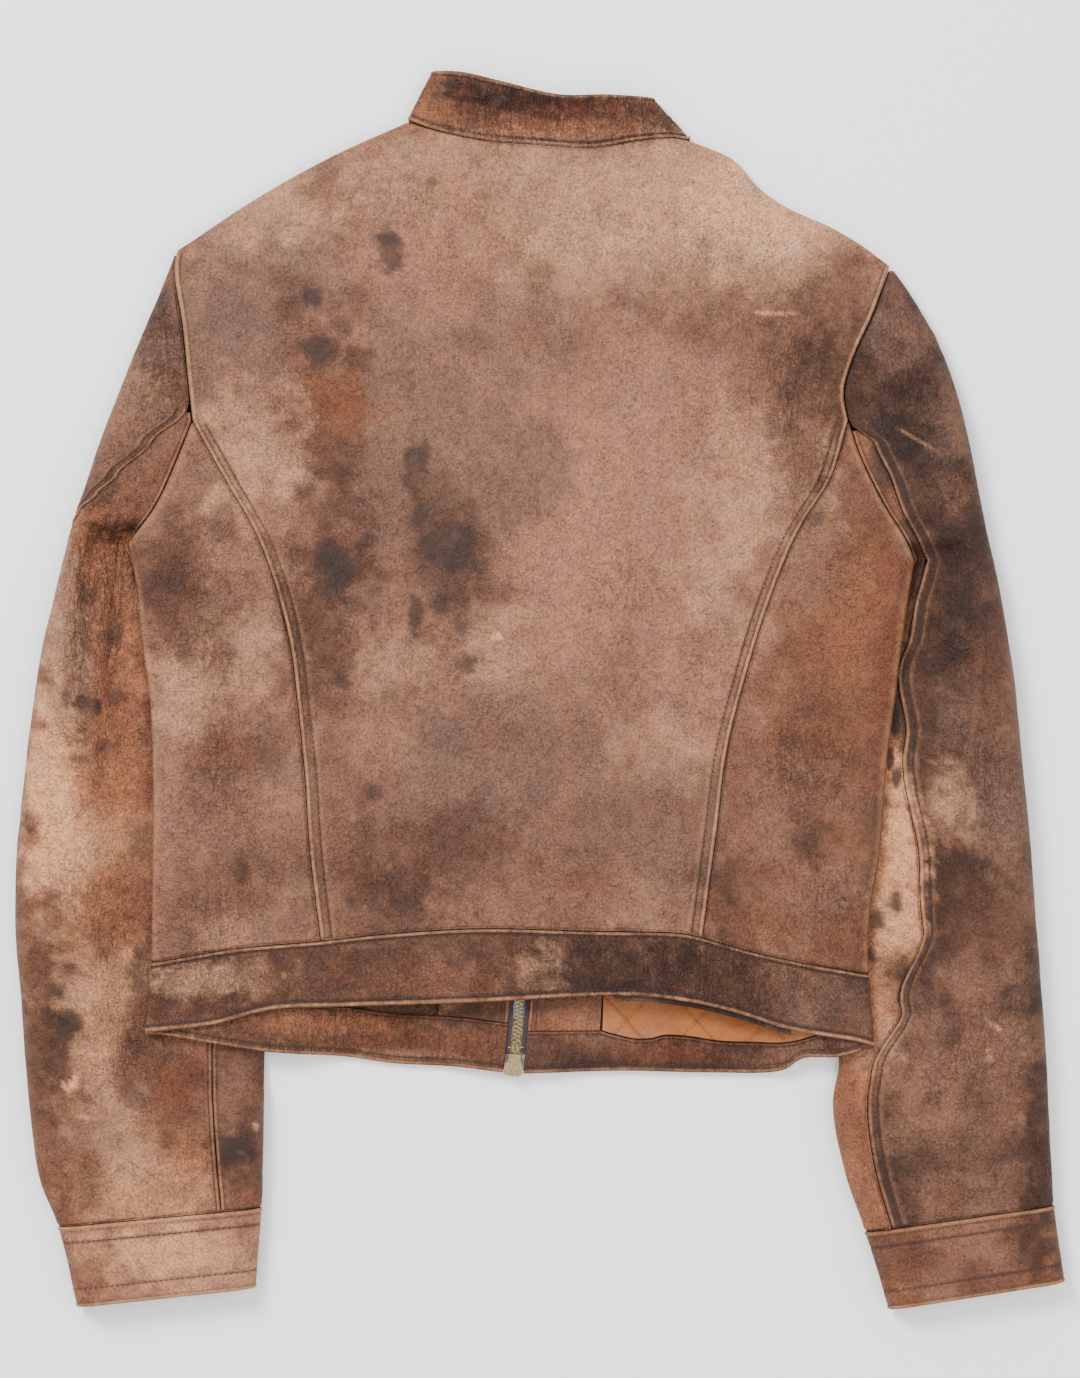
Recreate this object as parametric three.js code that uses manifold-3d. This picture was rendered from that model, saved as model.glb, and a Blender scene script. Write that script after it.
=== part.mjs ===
// A worn leather jacket laid flat on its front, back upwards, sleeves along the sides.
// Millimetres, +Z up, +Y towards the collar, origin on the floor under the middle of the jacket.

import * as THREE from 'three';
import { mergeVertices } from 'three/addons/utils/BufferGeometryUtils.js';
import Module from 'manifold-3d';

const wasm = await Module();
wasm.setup();

// Thickness of each cloth, and the gaps between cut pieces
const LEATHER = 1.5;
const FACING = 1.2;
const LINING = 0.9;
const COLLAR_WALL = 2.4;
const COLLAR_DROP = 0.9;
const SEAM = 0.25;
const NECK_INSET = 1.8;
const ARMHOLE_INSET = 0.5;
const LAYER_GAP = 0.3;

// Heights above the floor
const BACK_TOP = 17;
const NECK_TOP = 13.5;
const SIDE_RIM = 13.6;
const ARMPIT_RIM = 10.4;
const ARMPIT_TO_SIDE = 50;
const SHOULDER_RIM = 6;
const OVER_SLEEVE = 10;
const SLEEVE_TOP = 21;
const CUFF_TOP = 17;
const SLEEVE_FOLD_Z = 12.5;
const SLEEVE_EDGE_LOW = 3.2;
const SLEEVE_EDGE_HIGH = 7;
const SLEEVE_EDGE_SHARE = 0.42;
const UNDER_FRONT_GAP = 0.8;
const ZIP_LIFT = 3.2;

// Widths over which the cloth rounds off or climbs
const SIDE_ROUND = 10;
const SHOULDER_ROUND = 36;
const FRONT_ROUND = 8;
const SLEEVE_ROUND = 14;
const SLEEVE_UNDER_ROUND = 10;
const COLLAR_ROUND = 22;
const SLEEVE_RAMP = 45;
const RAMP_START = 6;
const COVER_START = 11;
const COVER_END = 36;
const ARMPIT_CLIMB = 48;
const FRONT_CLIMB_START = 36;
const SLEEVE_CLIMB_START = 31;
const NECK_FADE = [240, 330];
const TIP_FADE = [130, 240];
const CUFF_FADE = [-200, -330];
const ARMHOLE_FADE = 60;
const ARMPIT_OPENING = 14;
const FOLD_TOP_FADE = [40, 10];
const FOLD_BOTTOM_FADE = [-240, -210];
const FOLD_WIDTH = 16;
const ZIP_FLAT = 17.5;
const ZIP_RAMP = 30;

// The zip: a number five chain with a slider at each end
const CHAIN_WIDTH = 5.9;
const CHAIN_THICK = 2.8;
const CHAIN_Z = 5.3;
const TAPE_THICK = 0.6;
const TAPE_EDGE = 16;
const FRONT_EDGE = 6.2;
const CHAIN_BOTTOM = -218;
const CHAIN_TOP = 289;
const TAPE_BOTTOM = -228.5;
const TAPE_TOP = 301;
const TAPE_NOTCH = 5.9;
const SLIDER_LENGTH = 13;
const SLIDER_HALF_WIDE = 5.5;
const SLIDER_HALF_NARROW = 3.6;
const SLIDER_BOTTOM_Z = 2.9;
const SLIDER_TOP_Z = 7.7;
const SLIDER_START = 0.8;
const BAIL_WIDTH = 2.2;
const BAIL_WALL = 0.7;
const BAIL_SPAN = 5.4;
const BAIL_BOTTOM = 0.2;
const BAIL_PLACE = 6.2;
const TAB_LENGTH = 27;
const TAB_HALF_WIDTH = 3.5;
const TAB_HALF_NECK = 2.7;
const TAB_THICK = 0.8;
const TAB_RAIL = 1;
const TAB_SLOT = 3.2;

// Grid steps
const CURVE_STEPS = 12;
const COLUMN_STEP = 0.1;

const COLOURS = {
  leather: 0x8f6a50,
  facing: 0x96674a,
  lining: 0xb9774a,
  tape: 0x33252e,
  metal: 0xa89a78,
};

const { sqrt, hypot, min, max, abs, cos, sin, acos, PI, round } = Math;
const clamp01 = (value) => min(1, max(0, value));
const mix = (a, b, t) => a + (b - a) * t;
const smooth = (value) => clamp01(value) ** 2 * (3 - 2 * clamp01(value));
const roundOff = (value) => sqrt(1 - (1 - clamp01(value)) ** 2);
const fade = ([from, to], value) => smooth((value - from) / (to - from));
const clampEdge = (height) => max(SLEEVE_EDGE_LOW, min(height, SLEEVE_EDGE_HIGH));
const evenly = (from, to, count) => Array.from({ length: count + 1 }, (_, i) => mix(from, to, i / count));

// A line drawn on the plan, kept as a run of short straight steps.
class Line {
  constructor(...corners) {
    const curve = new THREE.CatmullRomCurve3(
      corners.map(([x, y]) => new THREE.Vector3(x, y, 0)), false, 'centripetal',
    );
    this.points = curve.getPoints(corners.length * CURVE_STEPS).map(({ x, y }) => [x, y]);
  }

  static join(...lines) {
    const joined = Object.create(Line.prototype);
    joined.points = lines.flatMap((line, index) => (index ? line.points.slice(1) : line.points));
    return joined;
  }

  get first() { return this.points[0]; }

  get last() { return this.points.at(-1); }

  along(value, from, to) {
    const { points } = this;
    const rising = points.at(-1)[from] > points[0][from];
    const ordered = rising ? points : [...points].reverse();
    if (value <= ordered[0][from]) return ordered[0][to];
    for (let i = 1; i < ordered.length; i += 1) {
      if (value <= ordered[i][from]) {
        const span = ordered[i][from] - ordered[i - 1][from];
        const share = span > 0 ? (value - ordered[i - 1][from]) / span : 0;
        return mix(ordered[i - 1][to], ordered[i][to], share);
      }
    }
    return ordered.at(-1)[to];
  }

  xAt(y) { return this.along(y, 1, 0); }

  yAt(x) { return this.along(x, 0, 1); }

  pointAt(share) {
    const place = clamp01(share) * (this.points.length - 1);
    const index = min(Math.floor(place), this.points.length - 2);
    const [from, to] = [this.points[index], this.points[index + 1]];
    return [mix(from[0], to[0], place - index), mix(from[1], to[1], place - index)];
  }

  distance(x, y) {
    let nearest = Infinity;
    for (let i = 1; i < this.points.length; i += 1) {
      const [ax, ay] = this.points[i - 1];
      const [dx, dy] = [this.points[i][0] - ax, this.points[i][1] - ay];
      const t = clamp01(((x - ax) * dx + (y - ay) * dy) / max(dx * dx + dy * dy, 1e-9));
      nearest = min(nearest, hypot(x - ax - t * dx, y - ay - t * dy));
    }
    return nearest;
  }
}

// Seams and edges of the jacket as it lies, seen from above
const shoulder = {
  left: new Line([-80, 339.5], [-125.5, 319], [-173.5, 292], [-217.5, 262.5]),
  right: new Line(
    [91.5, 328], [116.5, 317], [131, 300.5], [152, 286.5], [172, 278], [194.5, 265], [209.5, 253],
  ),
};
const armhole = {
  left: new Line([-217.5, 262.5], [-218.5, 250], [-213.5, 217], [-210.5, 187.5], [-207.5, 160]),
  right: new Line([209.5, 253], [198.5, 223.5], [187.5, 199], [181.5, 178], [184, 160]),
};
const underarm = {
  left: new Line([-207.5, 160], [-218, 134], [-229.5, 109.5], [-246.5, 86.5]),
  right: new Line([184, 160], [190.5, 140.5], [204.5, 111.5], [217.5, 90.5], [224, 76.5]),
};
const side = {
  left: new Line([-246.5, 86.5], [-241.5, 61.5], [-238, 28.5], [-233, -8], [-231.5, -55], [-232, -115],
    [-232.5, -163.5], [-236, -205]),
  right: new Line([224, 76.5], [218, 38.5], [212, -8], [207.5, -44], [203, -98], [197.5, -134],
    [196.5, -168.5], [200, -213.5]),
};
const princess = {
  left: new Line([-207.5, 160], [-187.5, 124], [-170.5, 94.5], [-158, 61.5], [-149, 25], [-144.5, -11.5],
    [-140.5, -50.5], [-137.5, -96.5], [-131, -150.5]),
  right: new Line([184, 160], [173.5, 125.5], [158, 101], [149.5, 84.5], [134, 44], [122, 4.5],
    [112, -35], [105.5, -85], [97, -148.5]),
};
const neckSeam = new Line([-80, 339.5], [-62.5, 334], [-34.5, 328], [2, 325], [32.5, 323.5], [57.5, 327.5],
  [79, 329.5], [91.5, 328]);
const hemTop = new Line([-232.5, -163.5], [-181.5, -155], [-131, -150.5], [-94.5, -146.5], [-36.5, -143],
  [28.5, -144.5], [85, -146], [97, -148.5], [125, -156.5], [157, -163.5], [196.5, -170.5]);
const backHem = new Line([-236, -205], [-196, -200.5], [-160, -191.5], [-116, -189.5], [-36.5, -187],
  [28.5, -183.5], [61.5, -183.5], [92, -187.5], [119, -194], [149, -203.5], [189.5, -210.5], [200, -213.5]);
const frontHem = {
  left: new Line([-236, -206], [-225.5, -207], [-196, -212], [-167, -216.5], [-150.5, -218], [-116, -220.5],
    [-87.5, -224.5], [-50.5, -226.5], [-20.5, -230]),
  right: new Line(
    [-9, -230.5], [51.5, -229], [99.5, -230], [145, -228.5], [157, -221], [178, -220], [200, -214.5],
  ),
};
const sleeveOuter = {
  left: new Line([-217.5, 262.5], [-230, 232], [-247.5, 190], [-263.5, 148], [-277.5, 106], [-288.5, 64],
    [-298.5, 22], [-305, -20], [-309.5, -62], [-313.5, -104], [-314, -146], [-310.5, -188],
    [-307.5, -230], [-299.5, -293], [-288.5, -321.5], [-277, -369.5]),
  right: new Line([209.5, 253], [224.5, 232], [245.5, 190], [257, 148], [265, 106], [274.5, 64],
    [281.5, 22], [286.5, -20], [290.5, -62], [294.5, -104], [297.5, -146], [300.5, -188],
    [303.5, -230], [306.5, -293], [307.5, -308.5], [314, -354.5]),
};
const sleeveInner = {
  left: new Line([-246.5, 86.5], [-233.5, 52], [-200.5, -2], [-170.5, -68], [-161.5, -140], [-164.5, -215],
    [-166.5, -310], [-170, -358]),
  right: new Line([224, 76.5], [210.5, 46], [180.5, 4], [153.5, -50], [150.5, -116], [165.5, -176],
    [179, -220.5], [175, -248.5], [181, -284], [194.5, -324.5], [208.5, -371]),
};
const cuffSeam = { left: { outer: -321.5, inner: -310 }, right: { outer: -308.5, inner: -324.5 } };
const cuffEdge = { left: { outer: -369.5, inner: -358 }, right: { outer: -354.5, inner: -371 } };
const zipLine = new Line([-6, 310], [-9, 60], [-12.3, -188], [-14.3, -212], [-16.4, -233]);
const frontNeck = {
  left: new Line([-12.6, 275], [-29.5, 277.5], [-56.5, 292], [-74.5, 316], [-80, 339.5]),
  right: new Line([-0.2, 275], [18.5, 276.5], [54.5, 286], [79.5, 307], [91.5, 328]),
};
const collarFold = {
  left: new Line([-80, 339.5], [-73, 356], [-64.5, 370]),
  right: new Line([91.5, 328], [80, 341], [67.5, 354]),
};
const collarTop = new Line([-64.5, 370], [-47, 369], [-25, 364], [11.5, 355.5], [38.5, 355.5], [67.5, 354]);
const collarTopFront = {
  left: new Line([-12.2, 312], [-26.5, 315], [-41.5, 327], [-56, 348], [-64.5, 370]),
  right: new Line([0.2, 312], [12, 313], [30.5, 320], [53, 336], [67.5, 354]),
};
const rightSleeveFold = new Line([263, 40], [259.5, -14], [255.5, -56], [247.5, -100], [236.5, -135.5],
  [220, -177.5], [205, -211]);

const SIDES = [
  { name: 'left', sign: -1 },
  { name: 'right', sign: 1 },
];
const armpitY = { left: underarm.left.last[1], right: underarm.right.last[1] };
const shoulderTipY = { left: shoulder.left.last[1], right: shoulder.right.last[1] };

// Main folds: a soft ridge (depth above 0) or trough along a line
const fold = (width, depth, ...corners) => ({ width, depth, line: new Line(...corners) });
const BACK_FOLDS = [
  fold(7, -3, [192, 258], [167.5, 242], [150, 228]),
  fold(8, -2.6, [168, 214], [157, 192], [150.5, 155]),
  fold(14, 1.6, [182, 222], [172, 190], [166, 150]),
  fold(16, -1.8, [-172, -25], [-190, -50], [-206, -75]),
  fold(14, 1.4, [-205, 40], [-196, -10], [-186, -40]),
  fold(12, -1.5, [120, -56], [156, -49], [192, -42]),
  fold(20, 1.2, [130, -90], [165, -88], [195, -92]),
  fold(30, 1, [-120, 200], [-60, 150], [20, 120]),
  fold(26, -1.1, [60, 260], [80, 150], [60, 20]),
  fold(26, -0.9, [-100, 60], [-60, -20], [-50, -110]),
];
const SLEEVE_FOLDS = {
  left: [
    fold(9, -3.4, [-252, 92], [-262, 60], [-276, 15], [-284, -15]),
    fold(8, -3, [-246, 70], [-256, 35], [-253, -10], [-257, -35]),
    fold(12, 2, [-268, 90], [-284, 40], [-296, -15]),
    fold(14, -2, [-290, -175], [-250, -200], [-190, -232]),
    fold(16, 1.8, [-300, -120], [-262, -150], [-244, -190]),
    fold(12, -1.8, [-200, -250], [-235, -270], [-285, -262]),
  ],
  right: [
    fold(10, -2.4, [236, 150], [252, 120], [262, 92]),
    fold(12, 2, [240, 168], [258, 135], [268, 108]),
    fold(9, -2.4, [232, 96], [247, 66], [262, 46]),
    fold(14, 2, [282, 20], [284, -60], [280, -140]),
    fold(12, -2, [292, -178], [270, -198], [236, -206]),
    fold(12, -1.8, [186, -262], [222, -282], [290, -270]),
  ],
};
const foldHeight = (folds, x, y) => folds.reduce(
  (sum, { width, depth, line }) => sum + depth * Math.exp(-((line.distance(x, y) / width) ** 2)), 0,
);

// Height of the underside of the fronts: on the floor, and climbing over the sleeves and to the zip.
function liftOverSleeve(x, y) {
  let lift = 0;
  SIDES.forEach(({ name, sign }) => {
    const inside = sign * (x - sleeveInner[name].xAt(y));
    const climb = smooth((inside + RAMP_START + SLEEVE_RAMP) / SLEEVE_RAMP);
    const belowArmpit = smooth((armpitY[name] + FRONT_CLIMB_START - y) / ARMPIT_CLIMB);
    lift = max(lift, OVER_SLEEVE * climb * belowArmpit);
  });
  return lift;
}

function liftAtZip(x, y) {
  const offset = abs(x - zipLine.xAt(y)) - ZIP_FLAT;
  return ZIP_LIFT * (1 - smooth(offset / ZIP_RAMP));
}

const frontUnder = (x, y) => max(liftOverSleeve(x, y), liftAtZip(x, y));

const sideRim = (name, y) => mix(ARMPIT_RIM, SIDE_RIM, smooth((armpitY[name] - y) / ARMPIT_TO_SIDE));

// Fronts: outer face, which looks down at the floor.
function frontOuter(x, y) {
  const base = frontUnder(x, y);
  return SIDES.reduce((height, { name }) => {
    const atSide = max(sideRim(name, y) - LAYER_GAP, base);
    const atShoulder = max(SHOULDER_RIM - LAYER_GAP, base);
    const bySide = mix(atSide, base, roundOff(side[name].distance(x, y) / FRONT_ROUND));
    const byShoulder = mix(atShoulder, base, roundOff(shoulder[name].distance(x, y) / FRONT_ROUND));
    return max(height, bySide, byShoulder);
  }, base);
}

// Back: outer face, which looks up.
function backOuter(x, y) {
  const top = mix(BACK_TOP, NECK_TOP, fade(NECK_FADE, y)) + foldHeight(BACK_FOLDS, x, y);
  return SIDES.reduce((height, { name }) => {
    const bySide = mix(sideRim(name, y), top, roundOff(side[name].distance(x, y) / SIDE_ROUND));
    const byShoulder = mix(SHOULDER_RIM, top, roundOff(shoulder[name].distance(x, y) / SHOULDER_ROUND));
    return min(height, bySide, byShoulder);
  }, top);
}

// How far a point lies outside the body that covers the sleeves, 0 where it is covered.
function outsideBody(name, sign, x, y) {
  const hemY = frontHem[name].yAt(x);
  const beyondHem = max(0, hemY - y);
  const sideX = side[name].xAt(y);
  const beyondSide = max(0, sign * (x - sideX));
  const beyondArmpit = max(0, y - armpitY[name]);
  return hypot(beyondSide, max(beyondHem, beyondArmpit));
}

function sleeveFull(name, sign, x, y) {
  const fromArmhole = min(armhole[name].distance(x, y), underarm[name].distance(x, y));
  const full = mix(BACK_TOP, SLEEVE_TOP, smooth(fromArmhole / ARMHOLE_FADE));
  const tapered = mix(full, CUFF_TOP, fade(CUFF_FADE, y));
  if (sign < 0) return tapered;
  const beyondFold = x - rightSleeveFold.xAt(y);
  const foldSpan = fade(FOLD_TOP_FADE, y) * fade(FOLD_BOTTOM_FADE, y);
  const folded = mix(SLEEVE_FOLD_Z, tapered, smooth(beyondFold / FOLD_WIDTH + 0.5));
  return mix(tapered, folded, foldSpan);
}

// Sleeves: the upper and lower faces of the flattened tube.
function sleeveShape(name, sign, x, y) {
  const climb = smooth((armpitY[name] + SLEEVE_CLIMB_START - y) / ARMPIT_CLIMB);
  const covered = OVER_SLEEVE * climb - UNDER_FRONT_GAP;
  const open = smooth((outsideBody(name, sign, x, y) - COVER_START) / (COVER_END - COVER_START));
  const nearArmhole = smooth((y - armpitY[name]) / ARMPIT_OPENING);
  const reveal = max(open, nearArmhole);
  const full = sleeveFull(name, sign, x, y) + foldHeight(SLEEVE_FOLDS[name], x, y);
  const top = mix(covered, full, reveal);
  const nearTip = fade(TIP_FADE, y);
  const middle = mix(clampEdge(SLEEVE_EDGE_SHARE * top), SHOULDER_RIM, nearTip);
  const edge = min(sleeveOuter[name].distance(x, y), sleeveInner[name].distance(x, y));
  const upperRound = mix(SLEEVE_ROUND, SHOULDER_ROUND, nearTip);
  return {
    upper: mix(middle, top, roundOff(edge / upperRound)),
    lower: mix(middle, 0, roundOff(edge / SLEEVE_UNDER_ROUND)),
  };
}

// Direction into the cloth from the face of a grid, at one row and column
function gridNormal(grid, row, column, closed) {
  const rows = grid.length;
  const columns = grid[0].length;
  const wrap = (index) => (closed ? (index + columns) % columns : min(columns - 1, max(0, index)));
  const down = grid[min(rows - 1, row + 1)][column].clone().sub(grid[max(0, row - 1)][column]);
  const across = grid[row][wrap(column + 1)].clone().sub(grid[row][wrap(column - 1)]);
  return across.cross(down).normalize();
}

// A closed wall of cloth. The grid is its outer face, seen from outside with rows running down and
// columns running to the right as the normal needs; rims may hold level directions for its edges.
function wall(grid, thickness, { closed = false, flip = false, level = () => null, into = null } = {}) {
  const rows = grid.length;
  const columns = grid[0].length;
  const inner = grid.map((line, row) => line.map((point, column) => {
    const fixed = into ? into[row][column] : level(row, column);
    const normal = fixed || gridNormal(grid, row, column, closed).multiplyScalar(flip ? -1 : 1);
    return point.clone().addScaledVector(normal, thickness);
  }));
  const flatten = (sheet) => sheet.flatMap((line) => line.flatMap((point) => point.toArray()));
  const positions = [...flatten(grid), ...flatten(inner)];
  const faces = [];
  const at = (sheet, row, column) => sheet * rows * columns + row * columns + (column % columns);
  const quad = (a, b, c, d) => faces.push(...(flip ? [a, c, b, a, d, c] : [a, b, c, a, c, d]));
  const lastColumn = closed ? columns : columns - 1;
  for (let row = 0; row < rows - 1; row += 1) {
    for (let column = 0; column < lastColumn; column += 1) {
      quad(at(0, row, column), at(0, row + 1, column), at(0, row + 1, column + 1), at(0, row, column + 1));
      quad(at(1, row, column), at(1, row, column + 1), at(1, row + 1, column + 1), at(1, row + 1, column));
    }
  }
  for (let column = 0; column < lastColumn; column += 1) {
    quad(at(0, 0, column), at(0, 0, column + 1), at(1, 0, column + 1), at(1, 0, column));
    const end = rows - 1;
    quad(at(0, end, column), at(1, end, column), at(1, end, column + 1), at(0, end, column + 1));
  }
  if (!closed) {
    for (let row = 0; row < rows - 1; row += 1) {
      const end = columns - 1;
      quad(at(0, row, 0), at(1, row, 0), at(1, row + 1, 0), at(0, row + 1, 0));
      quad(at(0, row, end), at(0, row + 1, end), at(1, row + 1, end), at(1, row, end));
    }
  }
  const geometry = new THREE.BufferGeometry();
  geometry.setAttribute('position', new THREE.Float32BufferAttribute(positions, 3));
  geometry.setIndex(faces);
  geometry.computeVertexNormals();
  return geometry;
}

const jacket = new THREE.Group();

function add(name, geometry, colour, metalness = 0) {
  const roughness = metalness > 0 ? 0.35 : 0.6;
  const material = new THREE.MeshStandardMaterial({ color: colour, roughness, metalness });
  const mesh = new THREE.Mesh(geometry, material);
  mesh.name = name;
  jacket.add(mesh);
  return mesh;
}

// Rows of plan points between a left and a right edge, from the first pair of heights on the plan to
// the last. Each stop is [left y, right y, number of rows from the stop before].
function planRows({ left, right, stops, columns, bunch = 0, top, bottom, reach = 60 }) {
  const levels = [];
  stops.forEach(([leftY, rightY, count], index) => {
    if (!index) {
      levels.push([leftY, rightY]);
      return;
    }
    const [fromLeft, fromRight] = stops[index - 1];
    for (let i = 1; i <= count; i += 1) {
      levels.push([mix(fromLeft, leftY, i / count), mix(fromRight, rightY, i / count)]);
    }
  });
  const ends = [levels[0], levels.at(-1)];
  return levels.map(([leftY, rightY]) => {
    const [leftX, rightX] = [left(leftY) + SEAM, right(rightY) - SEAM];
    return Array.from({ length: columns + 1 }, (_, column) => {
      const even = column / columns;
      const share = mix(even, (1 - cos(PI * even)) / 2, bunch);
      const x = mix(leftX, rightX, share);
      let y = mix(leftY, rightY, share);
      [top, bottom].forEach((line, end) => {
        if (!line) return;
        const straight = mix(ends[end][0], ends[end][1], share);
        const weight = clamp01(1 - abs(y - straight) / reach) ** 2;
        y += (line(x) - straight) * weight;
      });
      return [x, y];
    });
  });
}

const raise = (plan, height) => plan.map(
  (line) => line.map(([x, y]) => new THREE.Vector3(x, y, height(x, y))),
);

// Level inward direction at the end of a row, square to the edge on the plan
function inward(grid, row, column) {
  const above = grid[max(0, row - 1)][column];
  const below = grid[min(grid.length - 1, row + 1)][column];
  const middle = grid[row][column ? column - 1 : 1];
  const across = new THREE.Vector3(below.y - above.y, above.x - below.x, 0).normalize();
  const towards = middle.clone().sub(grid[row][column]);
  return across.dot(towards) < 0 ? across.negate() : across;
}

// Level directions on the ends of rows where the test holds, so that the two rims of a fold meet flat
function levelRims(grid, test) {
  return (row, column) => {
    const last = grid[0].length - 1;
    if (column !== 0 && column !== last) return null;
    return test(grid[row][column], column === 0) ? inward(grid, row, column) : null;
  };
}

const onShoulder = ({ y }, isLeft) => y > shoulderTipY[isLeft ? 'left' : 'right'] - 1;
const onSide = ({ y }, isLeft) => y < armpitY[isLeft ? 'left' : 'right'] + 0.5;

const edges = {
  backLeft: Line.join(shoulder.left, armhole.left, princess.left),
  backRight: Line.join(shoulder.right, armhole.right, princess.right),
  sideLeft: Line.join(underarm.left, side.left),
  sideRight: Line.join(underarm.right, side.right),
};

// Centre back
{
  const plan = planRows({
    left: (y) => edges.backLeft.xAt(y),
    right: (y) => edges.backRight.xAt(y),
    stops: [
      [339.3, 327.8, 0], [262.5, 253, 6], [160, 160, 6], [-150.3, -148.3, 15],
    ],
    columns: 18,
    bunch: 0.5,
    top: (x) => neckSeam.yAt(x) - SEAM,
    bottom: (x) => hemTop.yAt(x) + SEAM,
  });
  const grid = raise(plan, backOuter);
  add('back_centre', wall(grid, LEATHER, { level: levelRims(grid, onShoulder) }), COLOURS.leather);
}

// Side backs, from the princess seam to the side fold
{
  const common = { columns: 6, bunch: 0.5, bottom: (x) => hemTop.yAt(x) + SEAM };
  const leftPlan = planRows({
    ...common,
    left: (y) => edges.sideLeft.xAt(y),
    right: (y) => princess.left.xAt(y),
    stops: [[158.6, 158.6, 0], [86.5, 92, 5], [-163.3, -150.5, 13]],
  });
  const rightPlan = planRows({
    ...common,
    left: (y) => princess.right.xAt(y),
    right: (y) => edges.sideRight.xAt(y),
    stops: [[158.4, 158.4, 0], [86, 76.5, 5], [-148.5, -170.3, 13]],
  });
  const leftGrid = raise(leftPlan, backOuter);
  const rightGrid = raise(rightPlan, backOuter);
  const leftRims = levelRims(leftGrid, (point, isLeft) => isLeft && onSide(point, true));
  const rightRims = levelRims(rightGrid, (point, isLeft) => !isLeft && onSide(point, false));
  add('back_side_left', wall(leftGrid, LEATHER, { level: leftRims }), COLOURS.leather);
  add('back_side_right', wall(rightGrid, LEATHER, { level: rightRims }), COLOURS.leather);
}

// Hem bands: a back band, the facing that peeps out below it, and a band on each front
const BAND_ROWS = 3;
const bandPlan = (topLine, bottomLine, fromX, toX, columns, rows) => Array.from(
  { length: rows + 1 },
  (_, row) => Array.from({ length: columns + 1 }, (unused, column) => {
    const even = column / columns;
    const share = mix(even, (1 - cos(PI * even)) / 2, 0.5);
    const down = row / rows;
    const x = mix(mix(fromX[0], toX[0], share), mix(fromX[1], toX[1], share), down);
    return [x, mix(topLine(x) - SEAM, bottomLine(x), down)];
  }),
);
{
  const plan = bandPlan(
    (x) => hemTop.yAt(x), (x) => backHem.yAt(x),
    [side.left.xAt(-163.5) + SEAM, side.left.last[0] + SEAM],
    [side.right.xAt(-170.5) - SEAM, side.right.last[0] - SEAM], 22, BAND_ROWS,
  );
  const grid = raise(plan, backOuter);
  add('back_hem_band', wall(grid, LEATHER, { level: levelRims(grid, () => true) }), COLOURS.leather);
}
{
  const plan = bandPlan((x) => backHem.yAt(x) + 24, (x) => backHem.yAt(x) - 3, [44, 44], [150, 150], 7, 2);
  const drop = LEATHER + 1.5 * LAYER_GAP;
  const grid = raise(plan, (x, y) => backOuter(x, y) - drop);
  add('back_band_facing', wall(grid, FACING), COLOURS.facing);
}

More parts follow.
